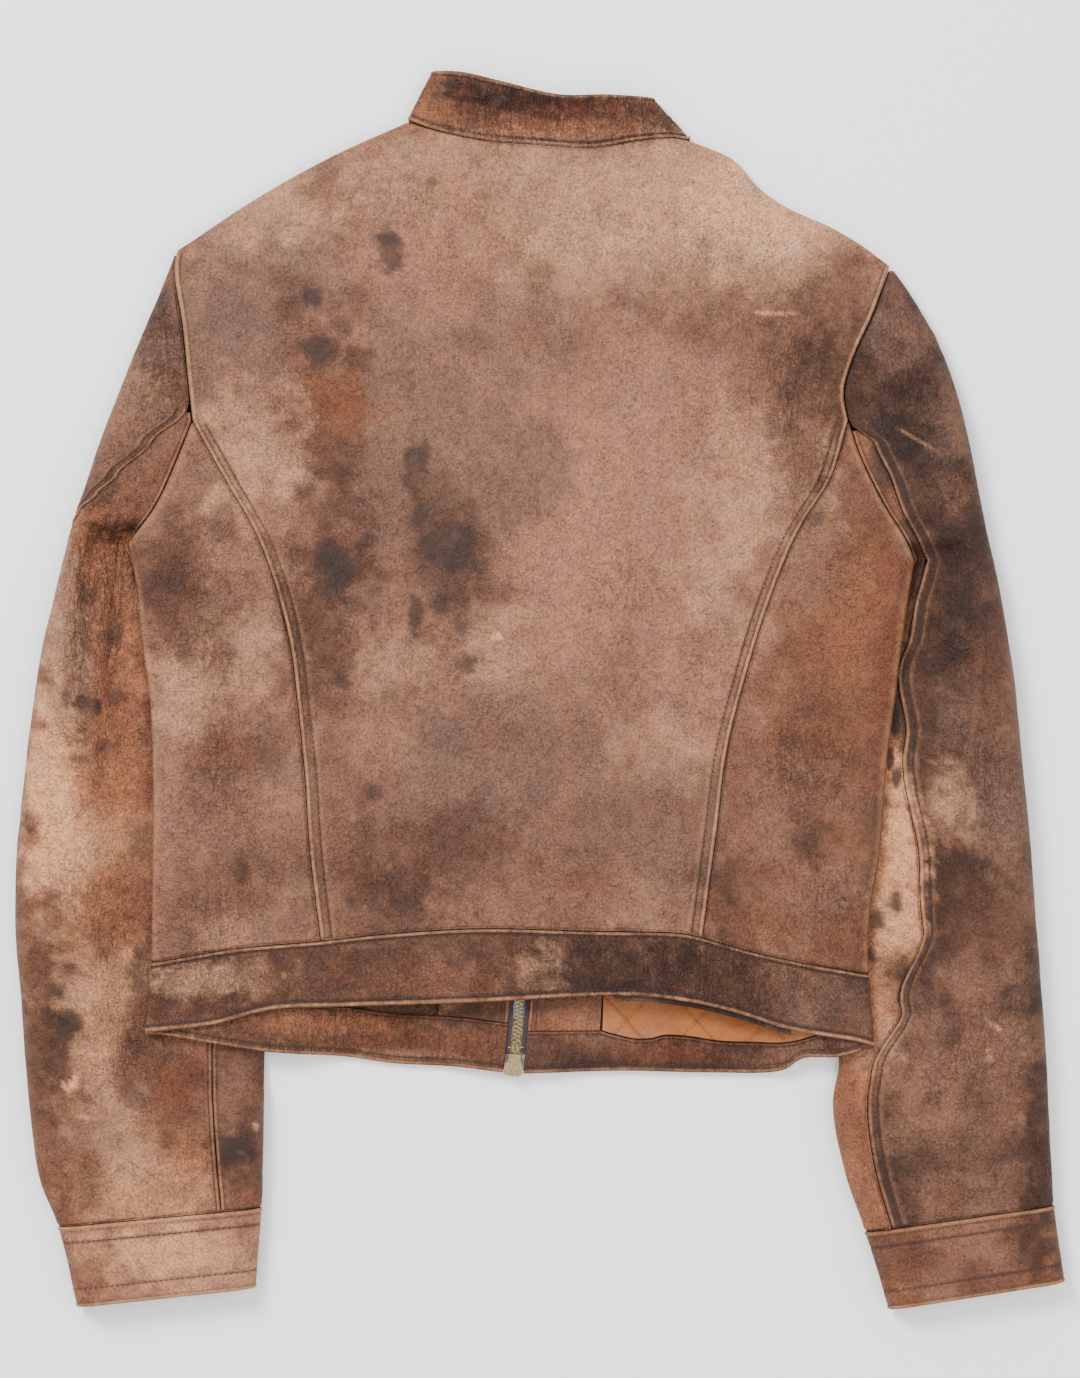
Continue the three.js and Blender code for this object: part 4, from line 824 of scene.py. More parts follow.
@dataclass
class Sheet:
    """A fine grid of points on one cut piece, with what is raised, worn and stained on it, and the highlights
    and shade painted on it.
    """

    name: str
    base: Array
    flip: bool = False
    closed: bool = False
    thickness: float = LEATHER
    detail: Array = field(init=False)
    # pale holds worn edges and painted highlights on ridges; the mark after it holds painted shade in
    # grooves, creases, stitching and under tucked edges
    pale: Array = field(init=False)
    painted_shade: Array = field(init=False)
    spot: Array = field(init=False)
    crinkle: Array = field(init=False)
    colour: Array = field(init=False)
    upper: Array = field(init=False)

    def __post_init__(self) -> None:
        """Starts with nothing raised on it."""
        shape = self.base.shape[:2]
        self.detail, self.pale, self.painted_shade, self.spot = (np.zeros(shape) for _ in range(4))
        self.crinkle = np.full(shape, 0.3)
        self.colour = np.zeros((*shape, 3))
        self.upper = np.ones(shape)
        self.normal = self._normals(self.base)

    def _normals(self, grid: Array) -> Array:
        """Outward directions, from neighbours about two cells away.

        Args:
            grid: Points of the sheet.

        Returns:
            One unit vector for each point.
        """
        rows, columns = grid.shape[:2]
        back, ahead = np.maximum(np.arange(rows) - 2, 0), np.minimum(np.arange(rows) + 2, rows - 1)
        down = grid[ahead] - grid[back]
        places_across = np.arange(columns)
        if self.closed:
            before, after = (places_across - 2) % columns, (places_across + 2) % columns
        else:
            before, after = np.maximum(places_across - 2, 0), np.minimum(places_across + 2, columns - 1)
        across = grid[:, after] - grid[:, before]
        normal = np.cross(down, across)
        if self.flip:
            normal = -normal
        length = np.linalg.norm(normal, axis=2, keepdims=True)
        return normal / np.maximum(length, 1e-9)

    @property
    def x(self) -> Array:
        """Plan x of each point."""
        return self.base[..., 0]

    @property
    def y(self) -> Array:
        """Plan y of each point."""
        return self.base[..., 1]

    @property
    def outer(self) -> Array:
        """Outer face with its detail."""
        return self.base + self.normal * self.detail[..., None]

    def arcs(self, edge: str) -> Array:
        """Distance of each point from an edge, along the cloth.

        Args:
            edge: The edge it starts from.

        Returns:
            The distances.
        """
        axis = 1 if edge in ("left", "right") else 0
        steps = np.linalg.norm(np.diff(self.base, axis=axis), axis=2)
        start = np.zeros((steps.shape[0], 1)) if axis else np.zeros((1, steps.shape[1]))
        total = np.cumsum(np.concatenate([start, steps], axis=axis), axis=axis)
        if edge in ("right", "bottom"):
            end = total[:, -1:] if axis else total[-1:, :]
            return end - total
        return total

    def cut(self) -> tuple[float, float, float]:
        """Width, length and area that it was cut to, in metres.

        Returns:
            Width, length and area.
        """
        grid = np.concatenate([self.base, self.base[:, :1]], 1) if self.closed else self.base
        across = np.linalg.norm(np.diff(grid, axis=1), axis=2).sum(1).max()
        down = np.linalg.norm(np.diff(grid, axis=0), axis=2).sum(0).max()
        one, two = grid[1:, 1:] - grid[:-1, :-1], grid[1:, :-1] - grid[:-1, 1:]
        area = np.linalg.norm(np.cross(one, two), axis=2).sum() / 2
        return across * METRES, down * METRES, min(area, across * down) * METRES**2

    def path(self, edge: str, offset: float) -> tuple[Array, Array]:
        """Points and outward directions along a line at a distance inside an edge.

        Args:
            edge: The edge it starts from.
            offset: How far inside the edge.

        Returns:
            The points and their directions.
        """
        away = self.arcs(edge)
        outer = self.outer
        lines = range(self.base.shape[0]) if edge in ("left", "right") else range(self.base.shape[1])
        points, normals = [], []
        for index in lines:
            cut = (index, slice(None)) if edge in ("left", "right") else (slice(None), index)
            order = np.argsort(away[cut])
            distance = away[cut][order]
            if distance[-1] < offset + 1:
                continue
            points.append([np.interp(offset, distance, outer[cut][order][:, i]) for i in range(3)])
            normals.append([np.interp(offset, distance, self.normal[cut][order][:, i]) for i in range(3)])
        return np.array(points), np.array(normals)


def edge_drop(away: Array, depth: float = 0.6, width: float = 1.2) -> Array:
    """Roll of a cut edge down into its seam."""
    return -depth * (1 - smooth(away / width))


def lap(sheet: Sheet, away: Array, along: Array, stitch: float = 6.6, strength: float = 1.0) -> None:
    """A folded edge lapped over its neighbour: worn roll, puckered strip and stitching groove, with painted
    shade in the grooves and along the strip and a painted highlight on the ridge beside the stitching.

    Args:
        sheet: The sheet.
        away: Distance of each point from the edge.
        along: Place of each point along the edge.
        stitch: How far in the stitching runs.
        strength: How worn the roll is, and how strong the painted highlight beside the stitching is.
    """
    wobble = 0.25 * WARP_X.at(along / 9, away * 0)
    roll = bell(away, 1.3 + wobble * 0.4, 1.0)
    strip = smooth((away - 2.3) / 0.8) * smooth((stitch + 0.2 - away) / 0.8)
    ripple = np.sin(along * 2 * math.pi / 3.3 + 3 * WARP_Y.at(along / 14, away / 9))
    sheet.detail += edge_drop(away, 0.5, 0.7) + 0.5 * roll - 0.32 * bell(away, 2.7, 0.5)
    sheet.detail += strip * (0.1 + 0.11 * ripple * (0.6 + 0.4 * SWELL.at(along / 25, away * 0)))
    sheet.detail += -0.42 * bell(away, stitch, 0.6) + 0.26 * bell(away, stitch + 2.0, 1.3)
    worn = 0.75 + 0.35 * MOTTLE.layered(along, away, 16)
    sheet.pale += strength * roll * np.clip(worn, 0.2, 1.1)
    # painted highlight on the ridge beside the stitching
    sheet.pale += 0.28 * strength * bell(away, stitch + 1.9, 1.0)
    # painted shade in the groove behind the roll, in the stitching groove and along the puckered strip
    sheet.painted_shade += 0.75 * bell(away, 2.75, 0.45) + 0.8 * bell(away, stitch, 0.55)
    sheet.painted_shade += strip * (0.14 - 0.1 * ripple)


def roll_edge(sheet: Sheet, away: Array, along: Array, width: float = 1.5, strength: float = 1.0) -> None:
    """A worn rolled edge with a fine line of shade inside it.

    Args:
        sheet: The sheet.
        away: Distance of each point from the edge.
        along: Place of each point along the edge.
        width: How far in the roll stands.
        strength: How worn the roll is.
    """
    roll = bell(away, width, width * 0.75)
    worn = 0.75 + 0.35 * MOTTLE.layered(along, away, 12)
    sheet.detail += edge_drop(away, 0.5, 0.7) + 0.55 * roll - 0.3 * bell(away, 2.1 * width, 0.5)
    sheet.pale += strength * roll * np.clip(worn, 0.2, 1.1)
    sheet.painted_shade += 0.8 * bell(away, 2.15 * width, 0.42)


def tuck(sheet: Sheet, away: Array, strength: float = 0.8) -> None:
    """An edge that goes in under its neighbour, with painted shade along it."""
    sheet.detail += edge_drop(away, 0.75, 2.0)
    # painted shade where the edge goes under
    sheet.painted_shade += strength * bell(away, 0.0, 1.1)


def stitch_line(sheet: Sheet, away: Array, offset: float) -> None:
    """The groove that a row of stitches pulls into the leather, with painted shade in it."""
    sheet.detail += -0.36 * bell(away, offset, 0.65) + 0.12 * bell(away, offset + 1.7, 1.0)
    sheet.detail += 0.12 * bell(away, offset - 1.7, 1.0)
    # painted shade in the stitching groove
    sheet.painted_shade += 0.7 * bell(away, offset, 0.5)


def wrinkles(x: Array, y: Array, angle: float, length: float, width: float, seed: float = 0.0) -> Array:
    """Fine lines, 0 to 1, that run along an angle in degrees.

    Args:
        x: Plan x of the points.
        y: Plan y of the points.
        angle: Their direction.
        length: How long they are.
        width: How far apart they are.
        seed: Shift that gives others.

    Returns:
        How much of a line is at each point.
    """
    turn = math.radians(angle)
    along = x * math.cos(turn) + y * math.sin(turn)
    across = -x * math.sin(turn) + y * math.cos(turn)
    value = CRACKLE.at(along / length + seed, across / width + 2 * seed)
    value = value + 0.4 * WARP_Y.at(2.1 * along / length, 2.1 * across / width + seed)
    return np.exp(-((value / 0.13) ** 2))


@dataclass(frozen=True)
class Patch:
    """A stain, worn or coloured area with ragged edges, in millimetres on the plan."""

    tone: Tone
    at: tuple[float, float]
    size: tuple[float, float]
    strength: float = 0.7
    soft: float = 0.9
    ragged: float = 0.35
    lean: float = 0.0

    def mask(self, x: Array, y: Array) -> Array:
        """How much of it shows at points of the plan.

        Args:
            x: Plan x of the points.
            y: Plan y of the points.

        Returns:
            Its share of the colour, 0 to 1.
        """
        small = min(self.size)
        warp = self.ragged * small
        grain = max(3.0, small * 0.7)
        shift_x = warp * WARP_X.layered(x, y, grain) + 0.5 * warp * WARP_Y.at(x / 60, y / 60)
        shift_y = warp * WARP_Y.layered(x, y, grain)
        turn = math.radians(self.lean)
        dx, dy = x - self.at[0] + shift_x, y - self.at[1] + shift_y
        u = (dx * math.cos(turn) + dy * math.sin(turn)) / self.size[0]
        v = (-dx * math.sin(turn) + dy * math.cos(turn)) / self.size[1]
        away = np.hypot(u, v)
        broken = 0.3 * self.soft * SWELL.layered(x, y, max(3.5, 0.45 * small), 4)
        inside = smooth((1 + 0.5 * self.soft - away) / self.soft + broken * (away < 1 + self.soft))
        return np.minimum(1.0, 1.22 * self.strength) * inside


def field_of(tone: Tone, px: tuple[float, float], size: tuple[float, float], strength: float = 0.7) -> Patch:
    """A wide area of another shade with a very soft edge."""
    return Patch(tone, px, size, strength, soft=1.3, ragged=0.45)


def stain(
    tone: Tone, px: tuple[float, float], size: tuple[float, float], strength: float = 0.8, lean: float = 0,
) -> Patch:
    """A spot with a fairly clear edge."""
    return Patch(tone, px, size, strength, soft=0.95, ragged=0.3, lean=lean)


F = field_of
S = stain

# What colours the back, from wide fields to small spots
BACK_PATCHES = [
    F(Tone.SAND, (120.3, 282.9), (75, 45), 0.9), F(Tone.TAN, (132.3, 294.9), (50, 32), 0.9),
    F(Tone.SAND, (48.3, 282.9), (70, 42), 0.7), F(Tone.TAN, (96.3, 267.9), (46, 22), 0.6),
    F(Tone.SAND, (-152.7, 276.9), (46, 26), 0.7), F(Tone.SAND, (-59.7, 300.9), (60, 30), 0.5),
    F(Tone.ASH, (-184.5, 213.9), (32, 52), 0.7), F(Tone.ASH, (-125.7, 246.9), (22, 26), 0.6),
    F(Tone.UMBER, (-112.5, 254.7), (15, 24), 0.5), F(Tone.UMBER, (-142.5, 225.9), (16, 24), 0.4),
    F(Tone.ROSE, (-65.7, 261.9), (40, 60), 0.55), F(Tone.ROSE, (-35.7, 189.9), (40, 34), 0.5),
    F(Tone.ROSE, (60.3, 129.9), (72, 76), 0.85), F(Tone.ROSE, (48.3, 51.9), (70, 54), 0.8),
    F(Tone.SAND, (132.3, 129.9), (34, 44), 0.8), F(Tone.SAND, (127.5, 75.9), (34, 40), 0.8),
    F(Tone.ASH, (-65.7, 129.9), (52, 62), 0.6), F(Tone.ASH, (-77.7, 195.9), (24, 30), 0.4),
    F(Tone.ASH, (-11.7, 213.9), (44, 32), 0.4), F(Tone.SAND, (-166.5, 138.9), (26, 36), 0.85),
    F(Tone.CLAY, (-123.3, 171.9), (22, 28), 0.8), F(Tone.RUST, (-113.7, 168.9), (12, 14), 0.5),
    F(Tone.RUST, (-126.9, 177.3), (9, 12), 0.45), F(Tone.UMBER, (-128.1, 129.9), (22, 22), 0.5),
    F(Tone.UMBER, (-124.5, 69.9), (22, 42), 0.8), F(Tone.UMBER, (-53.7, 75.9), (26, 46), 0.45),
    F(Tone.SLATE, (-50.7, 84.9), (24, 30), 0.35), F(Tone.UMBER, (-132.9, 15.9), (18, 30), 0.6),
    F(Tone.SAND, (-23.7, 21.9), (20, 24), 0.55), F(Tone.SAND, (-83.7, 15.9), (22, 16), 0.45),
    F(Tone.SAND, (79.5, -35.1), (30, 20), 0.5), F(Tone.ASH, (-23.7, -56.1), (56, 44), 0.65),
    F(Tone.ROSE, (117.3, -2.1), (30, 30), 0.5), F(Tone.UMBER, (-71.7, -95.1), (36, 26), 0.6),
    F(Tone.COCOA, (-86.7, -122.1), (26, 16), 0.55), F(Tone.UMBER, (-83.7, -143.7), (40, 12), 0.5),
    F(Tone.ASH, (60.3, -86.1), (50, 34), 0.4), F(Tone.COCOA, (104.7, -116.1), (16, 20), 0.55),
    F(Tone.UMBER, (-125.7, -56.1), (16, 50), 0.3), F(Tone.UMBER, (-36.9, -92.1), (24, 22), 0.45),
    F(Tone.UMBER, (96.3, 231.9), (46, 24), 0.35), F(Tone.UMBER, (149.1, 204.9), (20, 34), 0.25),
    F(Tone.COCOA, (179.1, 188.7), (16, 34), 0.75), F(Tone.UMBER, (181.5, 231.9), (24, 22), 0.5),
    F(Tone.SAND, (159.9, 252.9), (20, 12), 0.4), F(Tone.UMBER, (156.3, 171.9), (18, 18), 0.35),
    F(Tone.UMBER, (151.5, 143.1), (16, 34), 0.55), F(Tone.CLAY, (12.3, -116.1), (34, 18), 0.35),
    # side panels
    F(Tone.BROWN, (-224.7, 123.9), (22, 26), 0.4), F(Tone.UMBER, (-221.7, 57.9), (26, 34), 0.75),
    F(Tone.SAND, (-210.9, -2.1), (20, 22), 0.75), F(Tone.ROSE, (-221.7, -56.1), (16, 34), 0.4),
    F(Tone.RUST, (-184.5, -39.3), (26, 9), 0.3), F(Tone.SAND, (-166.5, 21.9), (14, 24), 0.6),
    F(Tone.UMBER, (-184.5, -116.1), (34, 22), 0.35), F(Tone.SAND, (-185.7, -143.7), (16, 12), 0.4),
    F(Tone.CLAY, (186.3, 45.9), (44, 60), 0.85), F(Tone.EMBER, (181.5, 27.9), (20, 22), 0.3),
    F(Tone.EMBER, (189.3, 63.9), (14, 16), 0.25), F(Tone.BROWN, (153.9, 78.9), (18, 34), 0.7),
    F(Tone.CLAY, (156.3, -8.1), (40, 40), 0.5), F(Tone.BROWN, (133.5, -62.1), (24, 26), 0.6),
    F(Tone.BROWN, (156.3, -116.1), (26, 22), 0.6), F(Tone.RUST, (206.7, 27.9), (8, 60), 0.6),
    F(Tone.COCOA, (199.5, -110.1), (8, 50), 0.5), F(Tone.COCOA, (159.9, -92.1), (14, 16), 0.45),
    # band
    F(Tone.SAND, (-190.5, -173.1), (34, 10), 0.7), F(Tone.UMBER, (-143.7, -176.1), (30, 14), 0.4),
    F(Tone.CLAY, (-71.7, -173.1), (44, 12), 0.6), F(Tone.COCOA, (-35.7, -158.1), (20, 8), 0.5),
    F(Tone.SAND, (3.9, -168.9), (16, 12), 0.6), F(Tone.COCOA, (60.3, -167.1), (54, 18), 0.85),
    F(Tone.UMBER, (132.3, -185.1), (50, 12), 0.6), F(Tone.ASH, (168.3, -188.1), (30, 12), 0.5),
    F(Tone.SLATE, (36.3, -179.1), (40, 6), 0.4),
    # collar
    F(Tone.OXBLOOD, (-11.7, 350.7), (52, 9), 0.85), F(Tone.CLAY, (-47.7, 339.9), (40, 10), 0.6),
    F(Tone.EMBER, (12.3, 333.9), (40, 7), 0.5), F(Tone.RUST, (36.3, 344.7), (40, 8), 0.5),
    F(Tone.SAND, (-23.7, 330.3), (40, 3), 0.3), F(Tone.COCOA, (-41.7, 361.5), (18, 6), 0.5),
    F(Tone.UMBER, (72.3, 339.9), (18, 8), 0.4), F(Tone.EMBER, (-65.7, 344.7), (12, 10), 0.4),
    # spots
    S(Tone.SOOT_AND_SHADE, (-132.3, 201.9), (12, 9), 0.92), S(Tone.SOOT_AND_SHADE, (-125.1, 204.3), (7, 8), 0.5),
    S(Tone.COCOA, (-107.7, 197.7), (8, 9), 0.6), S(Tone.SLATE, (-89.1, 261.9), (8, 14), 0.7, 10),
    S(Tone.SLATE, (-92.1, 269.1), (9, 6), 0.4), S(Tone.SLATE, (-135.3, 234.3), (7, 6), 0.65),
    S(Tone.SLATE, (-117.9, 216.9), (6, 8), 0.45), S(Tone.COCOA, (-149.7, 228.3), (10, 9), 0.35),
    S(Tone.SLATE, (-72.9, 133.5), (8, 16), 0.7), S(Tone.COCOA, (-125.1, 129.3), (12, 7), 0.55),
    S(Tone.SLATE, (-71.1, 104.1), (5, 6), 0.6), S(Tone.SLATE, (-55.5, 84.9), (15, 13), 0.8),
    S(Tone.SLATE, (-46.5, 89.1), (9, 10), 0.5), S(Tone.SLATE, (-103.5, 87.3), (6, 5), 0.5),
    S(Tone.SOOT_AND_SHADE, (-125.1, 80.1), (8, 8), 0.7), S(Tone.SOOT_AND_SHADE, (-120.3, 67.5), (11, 13), 0.85),
    S(Tone.SLATE, (-74.7, 42.9), (5, 13), 0.65), S(Tone.SLATE, (-59.7, 50.7), (6, 7), 0.55),
    S(Tone.SLATE, (-47.7, 37.5), (5, 7), 0.45), S(Tone.SLATE, (-44.1, 15.3), (7, 6), 0.5),
    S(Tone.SLATE, (-118.5, 3.9), (6, 6), 0.5), S(Tone.SLATE, (-99.3, -61.5), (6, 5), 0.45),
    S(Tone.SLATE, (-18.9, 57.9), (6, 6), 0.4), S(Tone.COCOA, (-179.1, -108.3), (6, 9), 0.6),
    S(Tone.SLATE, (-80.7, -127.5), (9, 7), 0.3), S(Tone.SLATE, (-224.1, 63.3), (14, 10), 0.35),
    S(Tone.COCOA, (-189.3, 99.9), (8, 12), 0.4), S(Tone.COCOA, (-220.5, 104.7), (7, 7), 0.35),
    S(Tone.SLATE, (-159.9, -41.1), (9, 14), 0.35), S(Tone.SLATE, (159.9, -13.5), (6, 5), 0.3),
    S(Tone.SLATE, (147.9, -31.5), (6, 5), 0.3), S(Tone.SLATE, (163.5, 101.1), (6, 5), 0.4),
    S(Tone.COCOA, (159.9, -92.7), (8, 7), 0.4), S(Tone.SLATE, (-65.7, 302.7), (5, 4), 0.4),
    S(Tone.SLATE, (-81.3, 306.3), (5, 3), 0.3), S(Tone.SLATE, (-138.9, 297.9), (8, 5), 0.35),
    S(Tone.SOOT_AND_SHADE, (105.9, 284.7), (1.4, 1.2), 0.6), S(Tone.PALE, (-25.5, 30.9), (3, 2.4), 0.8),
    S(Tone.PALE, (140.1, 224.1), (12, 0.9), 0.5), S(Tone.SLATE, (-34.5, 294.3), (6, 5), 0.25),
    S(Tone.SLATE, (36.3, 171.9), (12, 10), 0.2), S(Tone.SLATE, (-41.7, 207.9), (14, 10), 0.3),
    S(Tone.SOOT_AND_SHADE, (-52.5, 361.5), (6, 3), 0.5), S(Tone.SOOT_AND_SHADE, (-23.7, 351.9), (10, 3), 0.5),
    S(Tone.SOOT_AND_SHADE, (60.3, 347.1), (8, 3), 0.4),
]
LEFT_PATCHES = [
    # dark top sleeve
    F(Tone.ASH, (-227.7, 213.9), (20, 40), 0.6), F(Tone.SAND, (-233.7, 174.9), (18, 20), 0.4),
    F(Tone.BROWN, (-245.7, 147.9), (18, 24), 0.7), F(Tone.BROWN, (-260.7, 126.9), (16, 14), 0.5),
    F(Tone.SLATE, (-233.7, 231.9), (14, 22), 0.35), F(Tone.SLATE, (-227.7, 159.9), (10, 20), 0.3),
    # under sleeve
    F(Tone.CLAY, (-233.7, 111.9), (26, 20), 0.6), F(Tone.OXBLOOD, (-256.5, 93.9), (14, 14), 0.7),
    F(Tone.EMBER, (-256.5, 63.9), (18, 34), 0.7), F(Tone.EMBER, (-250.5, 3.9), (16, 40), 0.8),
    F(Tone.SAND, (-284.1, 27.9), (12, 48), 0.75), F(Tone.BISCUIT, (-292.5, -56.1), (16, 46), 1.0),
    F(Tone.BISCUIT, (-285.3, -92.1), (18, 40), 0.8), F(Tone.EMBER, (-252.9, -62.1), (22, 30), 0.85),
    F(Tone.BISCUIT, (-257.7, -98.1), (24, 24), 0.5), F(Tone.EMBER, (-256.5, -128.1), (22, 24), 0.5),
    F(Tone.CLAY, (-239.7, -116.1), (10, 40), 0.5), F(Tone.ASH, (-233.7, -168.9), (10, 18), 0.5),
    F(Tone.COCOA, (-287.7, -197.1), (12, 24), 0.8), F(Tone.COCOA, (-290.1, -224.1), (14, 22), 0.6),
    F(Tone.UMBER, (-299.7, -176.1), (10, 24), 0.5), F(Tone.BISCUIT, (-258.9, -179.1), (22, 26), 0.6),
    F(Tone.BISCUIT, (-261.3, -218.1), (14, 20), 0.4),
    F(Tone.UMBER, (-233.7, -212.1), (14, 24), 0.5), F(Tone.RUST, (-209.7, -239.1), (16, 18), 0.5),
    F(Tone.SAND, (-257.7, -260.1), (22, 30), 0.55), F(Tone.BISCUIT, (-233.7, -302.1), (34, 26), 0.45),
    F(Tone.EMBER, (-209.7, -278.1), (16, 20), 0.4), F(Tone.CLAY, (-275.7, -266.1), (10, 30), 0.4),
    F(Tone.COCOA, (-182.1, -275.1), (14, 20), 0.85), F(Tone.BROWN, (-182.1, -242.1), (14, 20), 0.6),
    F(Tone.CLAY, (-182.1, -305.1), (14, 10), 0.6), F(Tone.BISCUIT, (-233.7, -338.1), (44, 16), 0.6),
    F(Tone.CLAY, (-269.7, -350.1), (16, 14), 0.5), F(Tone.SAND, (-191.7, -353.1), (26, 12), 0.5),
    # spots
    S(Tone.SOOT_AND_SHADE, (-273.3, -7.5), (6, 4), 0.85, 20), S(Tone.SOOT_AND_SHADE, (-265.5, -10.5), (4, 6), 0.7),
    S(Tone.SOOT_AND_SHADE, (-282.9, -3.3), (3, 7), 0.5), S(Tone.SLATE, (-267.9, 55.5), (5, 6), 0.45),
    S(Tone.SLATE, (-254.1, 32.1), (5, 8), 0.45), S(Tone.SLATE, (-251.7, -6.3), (6, 6), 0.4),
    S(Tone.SLATE, (-273.9, -41.1), (5, 4), 0.4), S(Tone.COCOA, (-302.1, -84.3), (4, 5), 0.5),
    S(Tone.SLATE, (-239.1, -89.1), (7, 14), 0.35), S(Tone.SLATE, (-237.9, -168.9), (8, 12), 0.5),
    S(Tone.SOOT_AND_SHADE, (-281.7, -200.1), (6, 8), 0.7), S(Tone.COCOA, (-286.5, -221.7), (7, 8), 0.6),
    S(Tone.SLATE, (-243.3, -240.3), (8, 10), 0.4), S(Tone.RUST, (-206.7, -230.1), (8, 10), 0.5),
    S(Tone.SLATE, (-218.7, -299.1), (16, 5), 0.3), S(Tone.COCOA, (-266.1, -290.1), (8, 14), 0.25),
    S(Tone.SOOT_AND_SHADE, (-182.7, -274.5), (10, 8), 0.5), S(Tone.SLATE, (-257.7, 123.9), (8, 10), 0.35),
    S(Tone.BISCUIT, (-267.3, -217.5), (1.2, 4), 0.9, 20), S(Tone.BISCUIT, (-277.5, -234.3), (2, 5), 0.9, -20),
    S(Tone.BISCUIT, (-281.7, -238.5), (1.2, 4), 0.8, 30),
    S(Tone.BISCUIT, (-272.1, -255.9), (5, 1.3), 0.9, -15),
    S(Tone.PALE, (-179.7, -276.9), (1, 2.4), 0.9), S(Tone.PALE, (-168.9, -261.3), (1, 1.4), 0.8),
    S(Tone.SLATE, (-287.7, -128.1), (7, 12), 0.25), S(Tone.SLATE, (-263.7, -156.9), (8, 8), 0.25),
]
RIGHT_PATCHES = [
    F(Tone.COCOA, (219.3, 159.9), (36, 46), 0.9), F(Tone.SLATE, (219.3, 147.9), (22, 24), 0.5),
    F(Tone.ASH, (216.3, 213.9), (24, 18), 0.6), F(Tone.ASH, (243.3, 159.9), (10, 36), 0.5),
    F(Tone.COCOA, (231.3, 75.9), (26, 34), 0.85), F(Tone.OXBLOOD, (225.3, 57.9), (12, 24), 0.5),
    F(Tone.COCOA, (231.3, 9.9), (18, 44), 0.9), F(Tone.SLATE, (252.3, 51.9), (16, 44), 0.4),
    F(Tone.UMBER, (270.3, 3.9), (18, 44), 0.7), F(Tone.ASH, (251.1, -20.1), (14, 24), 0.5),
    F(Tone.SAND, (249.3, -68.1), (14, 20), 0.7), F(Tone.ASH, (273.3, -74.1), (16, 34), 0.7),
    F(Tone.COCOA, (246.3, -128.1), (18, 30), 0.8), F(Tone.UMBER, (270.3, -140.1), (22, 26), 0.7),
    F(Tone.BROWN, (267.3, -179.1), (24, 20), 0.6), F(Tone.BROWN, (276.3, -224.1), (30, 30), 0.6),
    F(Tone.BROWN, (231.9, -224.1), (26, 26), 0.7), F(Tone.BROWN, (252.3, -278.1), (40, 34), 0.4),
    F(Tone.COCOA, (297.9, -266.1), (10, 40), 0.8), F(Tone.UMBER, (282.3, -284.1), (18, 20), 0.3),
    F(Tone.COCOA, (296.7, -332.1), (14, 16), 0.7), F(Tone.UMBER, (216.3, -338.1), (26, 14), 0.4),
    F(Tone.ASH, (289.5, -8.1), (8, 60), 0.5),
    # under sleeve and lower left panel
    F(Tone.BISCUIT, (213.9, -98.1), (12, 50), 0.9), F(Tone.BISCUIT, (215.1, -146.1), (12, 24), 0.6),
    F(Tone.COCOA, (216.3, -8.1), (8, 26), 0.7), F(Tone.COCOA, (219.3, -173.7), (12, 16), 0.7),
    F(Tone.CLAY, (186.3, -254.1), (16, 40), 0.5), F(Tone.SAND, (203.1, -203.7), (12, 20), 0.5),
    S(Tone.SOOT_AND_SHADE, (212.1, -20.1), (4, 8), 0.9), S(Tone.SOOT_AND_SHADE, (208.5, -41.1), (3, 7), 0.9),
    S(Tone.SOOT_AND_SHADE, (213.3, -53.1), (3, 6), 0.8), S(Tone.SOOT_AND_SHADE, (212.1, -127.5), (5, 8), 0.8),
    S(Tone.SOOT_AND_SHADE, (200.1, -138.3), (4, 7), 0.8), S(Tone.SOOT_AND_SHADE, (198.9, -159.9), (3, 6), 0.7),
    S(Tone.SOOT_AND_SHADE, (219.9, -170.7), (5, 6), 0.7), S(Tone.BISCUIT, (270.3, -200.1), (5, 1.0), 0.7, -40),
    S(Tone.BISCUIT, (267.9, -218.7), (1.0, 4), 0.6, 20), S(Tone.EMBER, (261.3, -179.1), (2, 1.6), 0.8),
    S(Tone.PALE, (225.3, 148.5), (14, 1.0), 0.25, -30), S(Tone.SLATE, (240.3, 27.9), (12, 16), 0.35),
    S(Tone.SLATE, (264.3, -248.1), (16, 10), 0.2), S(Tone.SOOT_AND_SHADE, (300.3, -302.1), (5, 8), 0.3),
]
INSIDE_PATCHES = [
    F(Tone.SLATE, (30.3, -225.3), (30, 8), 0.7), F(Tone.COCOA, (84.3, -227.7), (50, 7), 0.75),
    F(Tone.UMBER, (-143.7, -209.1), (40, 6), 0.5), F(Tone.COCOA, (-83.7, -206.1), (24, 5), 0.45),
    F(Tone.EMBER, (-125.7, -200.1), (34, 8), 0.5), F(Tone.RUST, (-71.7, -212.1), (40, 10), 0.5),
    F(Tone.COCOA, (-41.7, -195.3), (18, 8), 0.6), F(Tone.UMBER, (9.3, -215.1), (14, 10), 0.5),
    F(Tone.RUST, (72.3, -218.1), (40, 6), 0.5), F(Tone.EMBER, (18.3, -200.1), (12, 8), 0.4),
    F(Tone.BROWN, (138.3, -222.9), (20, 6), 0.5), F(Tone.COCOA, (120.3, -218.1), (14, 6), 0.5),
    F(Tone.SAND, (-83.7, -219.3), (24, 3), 0.4),
]
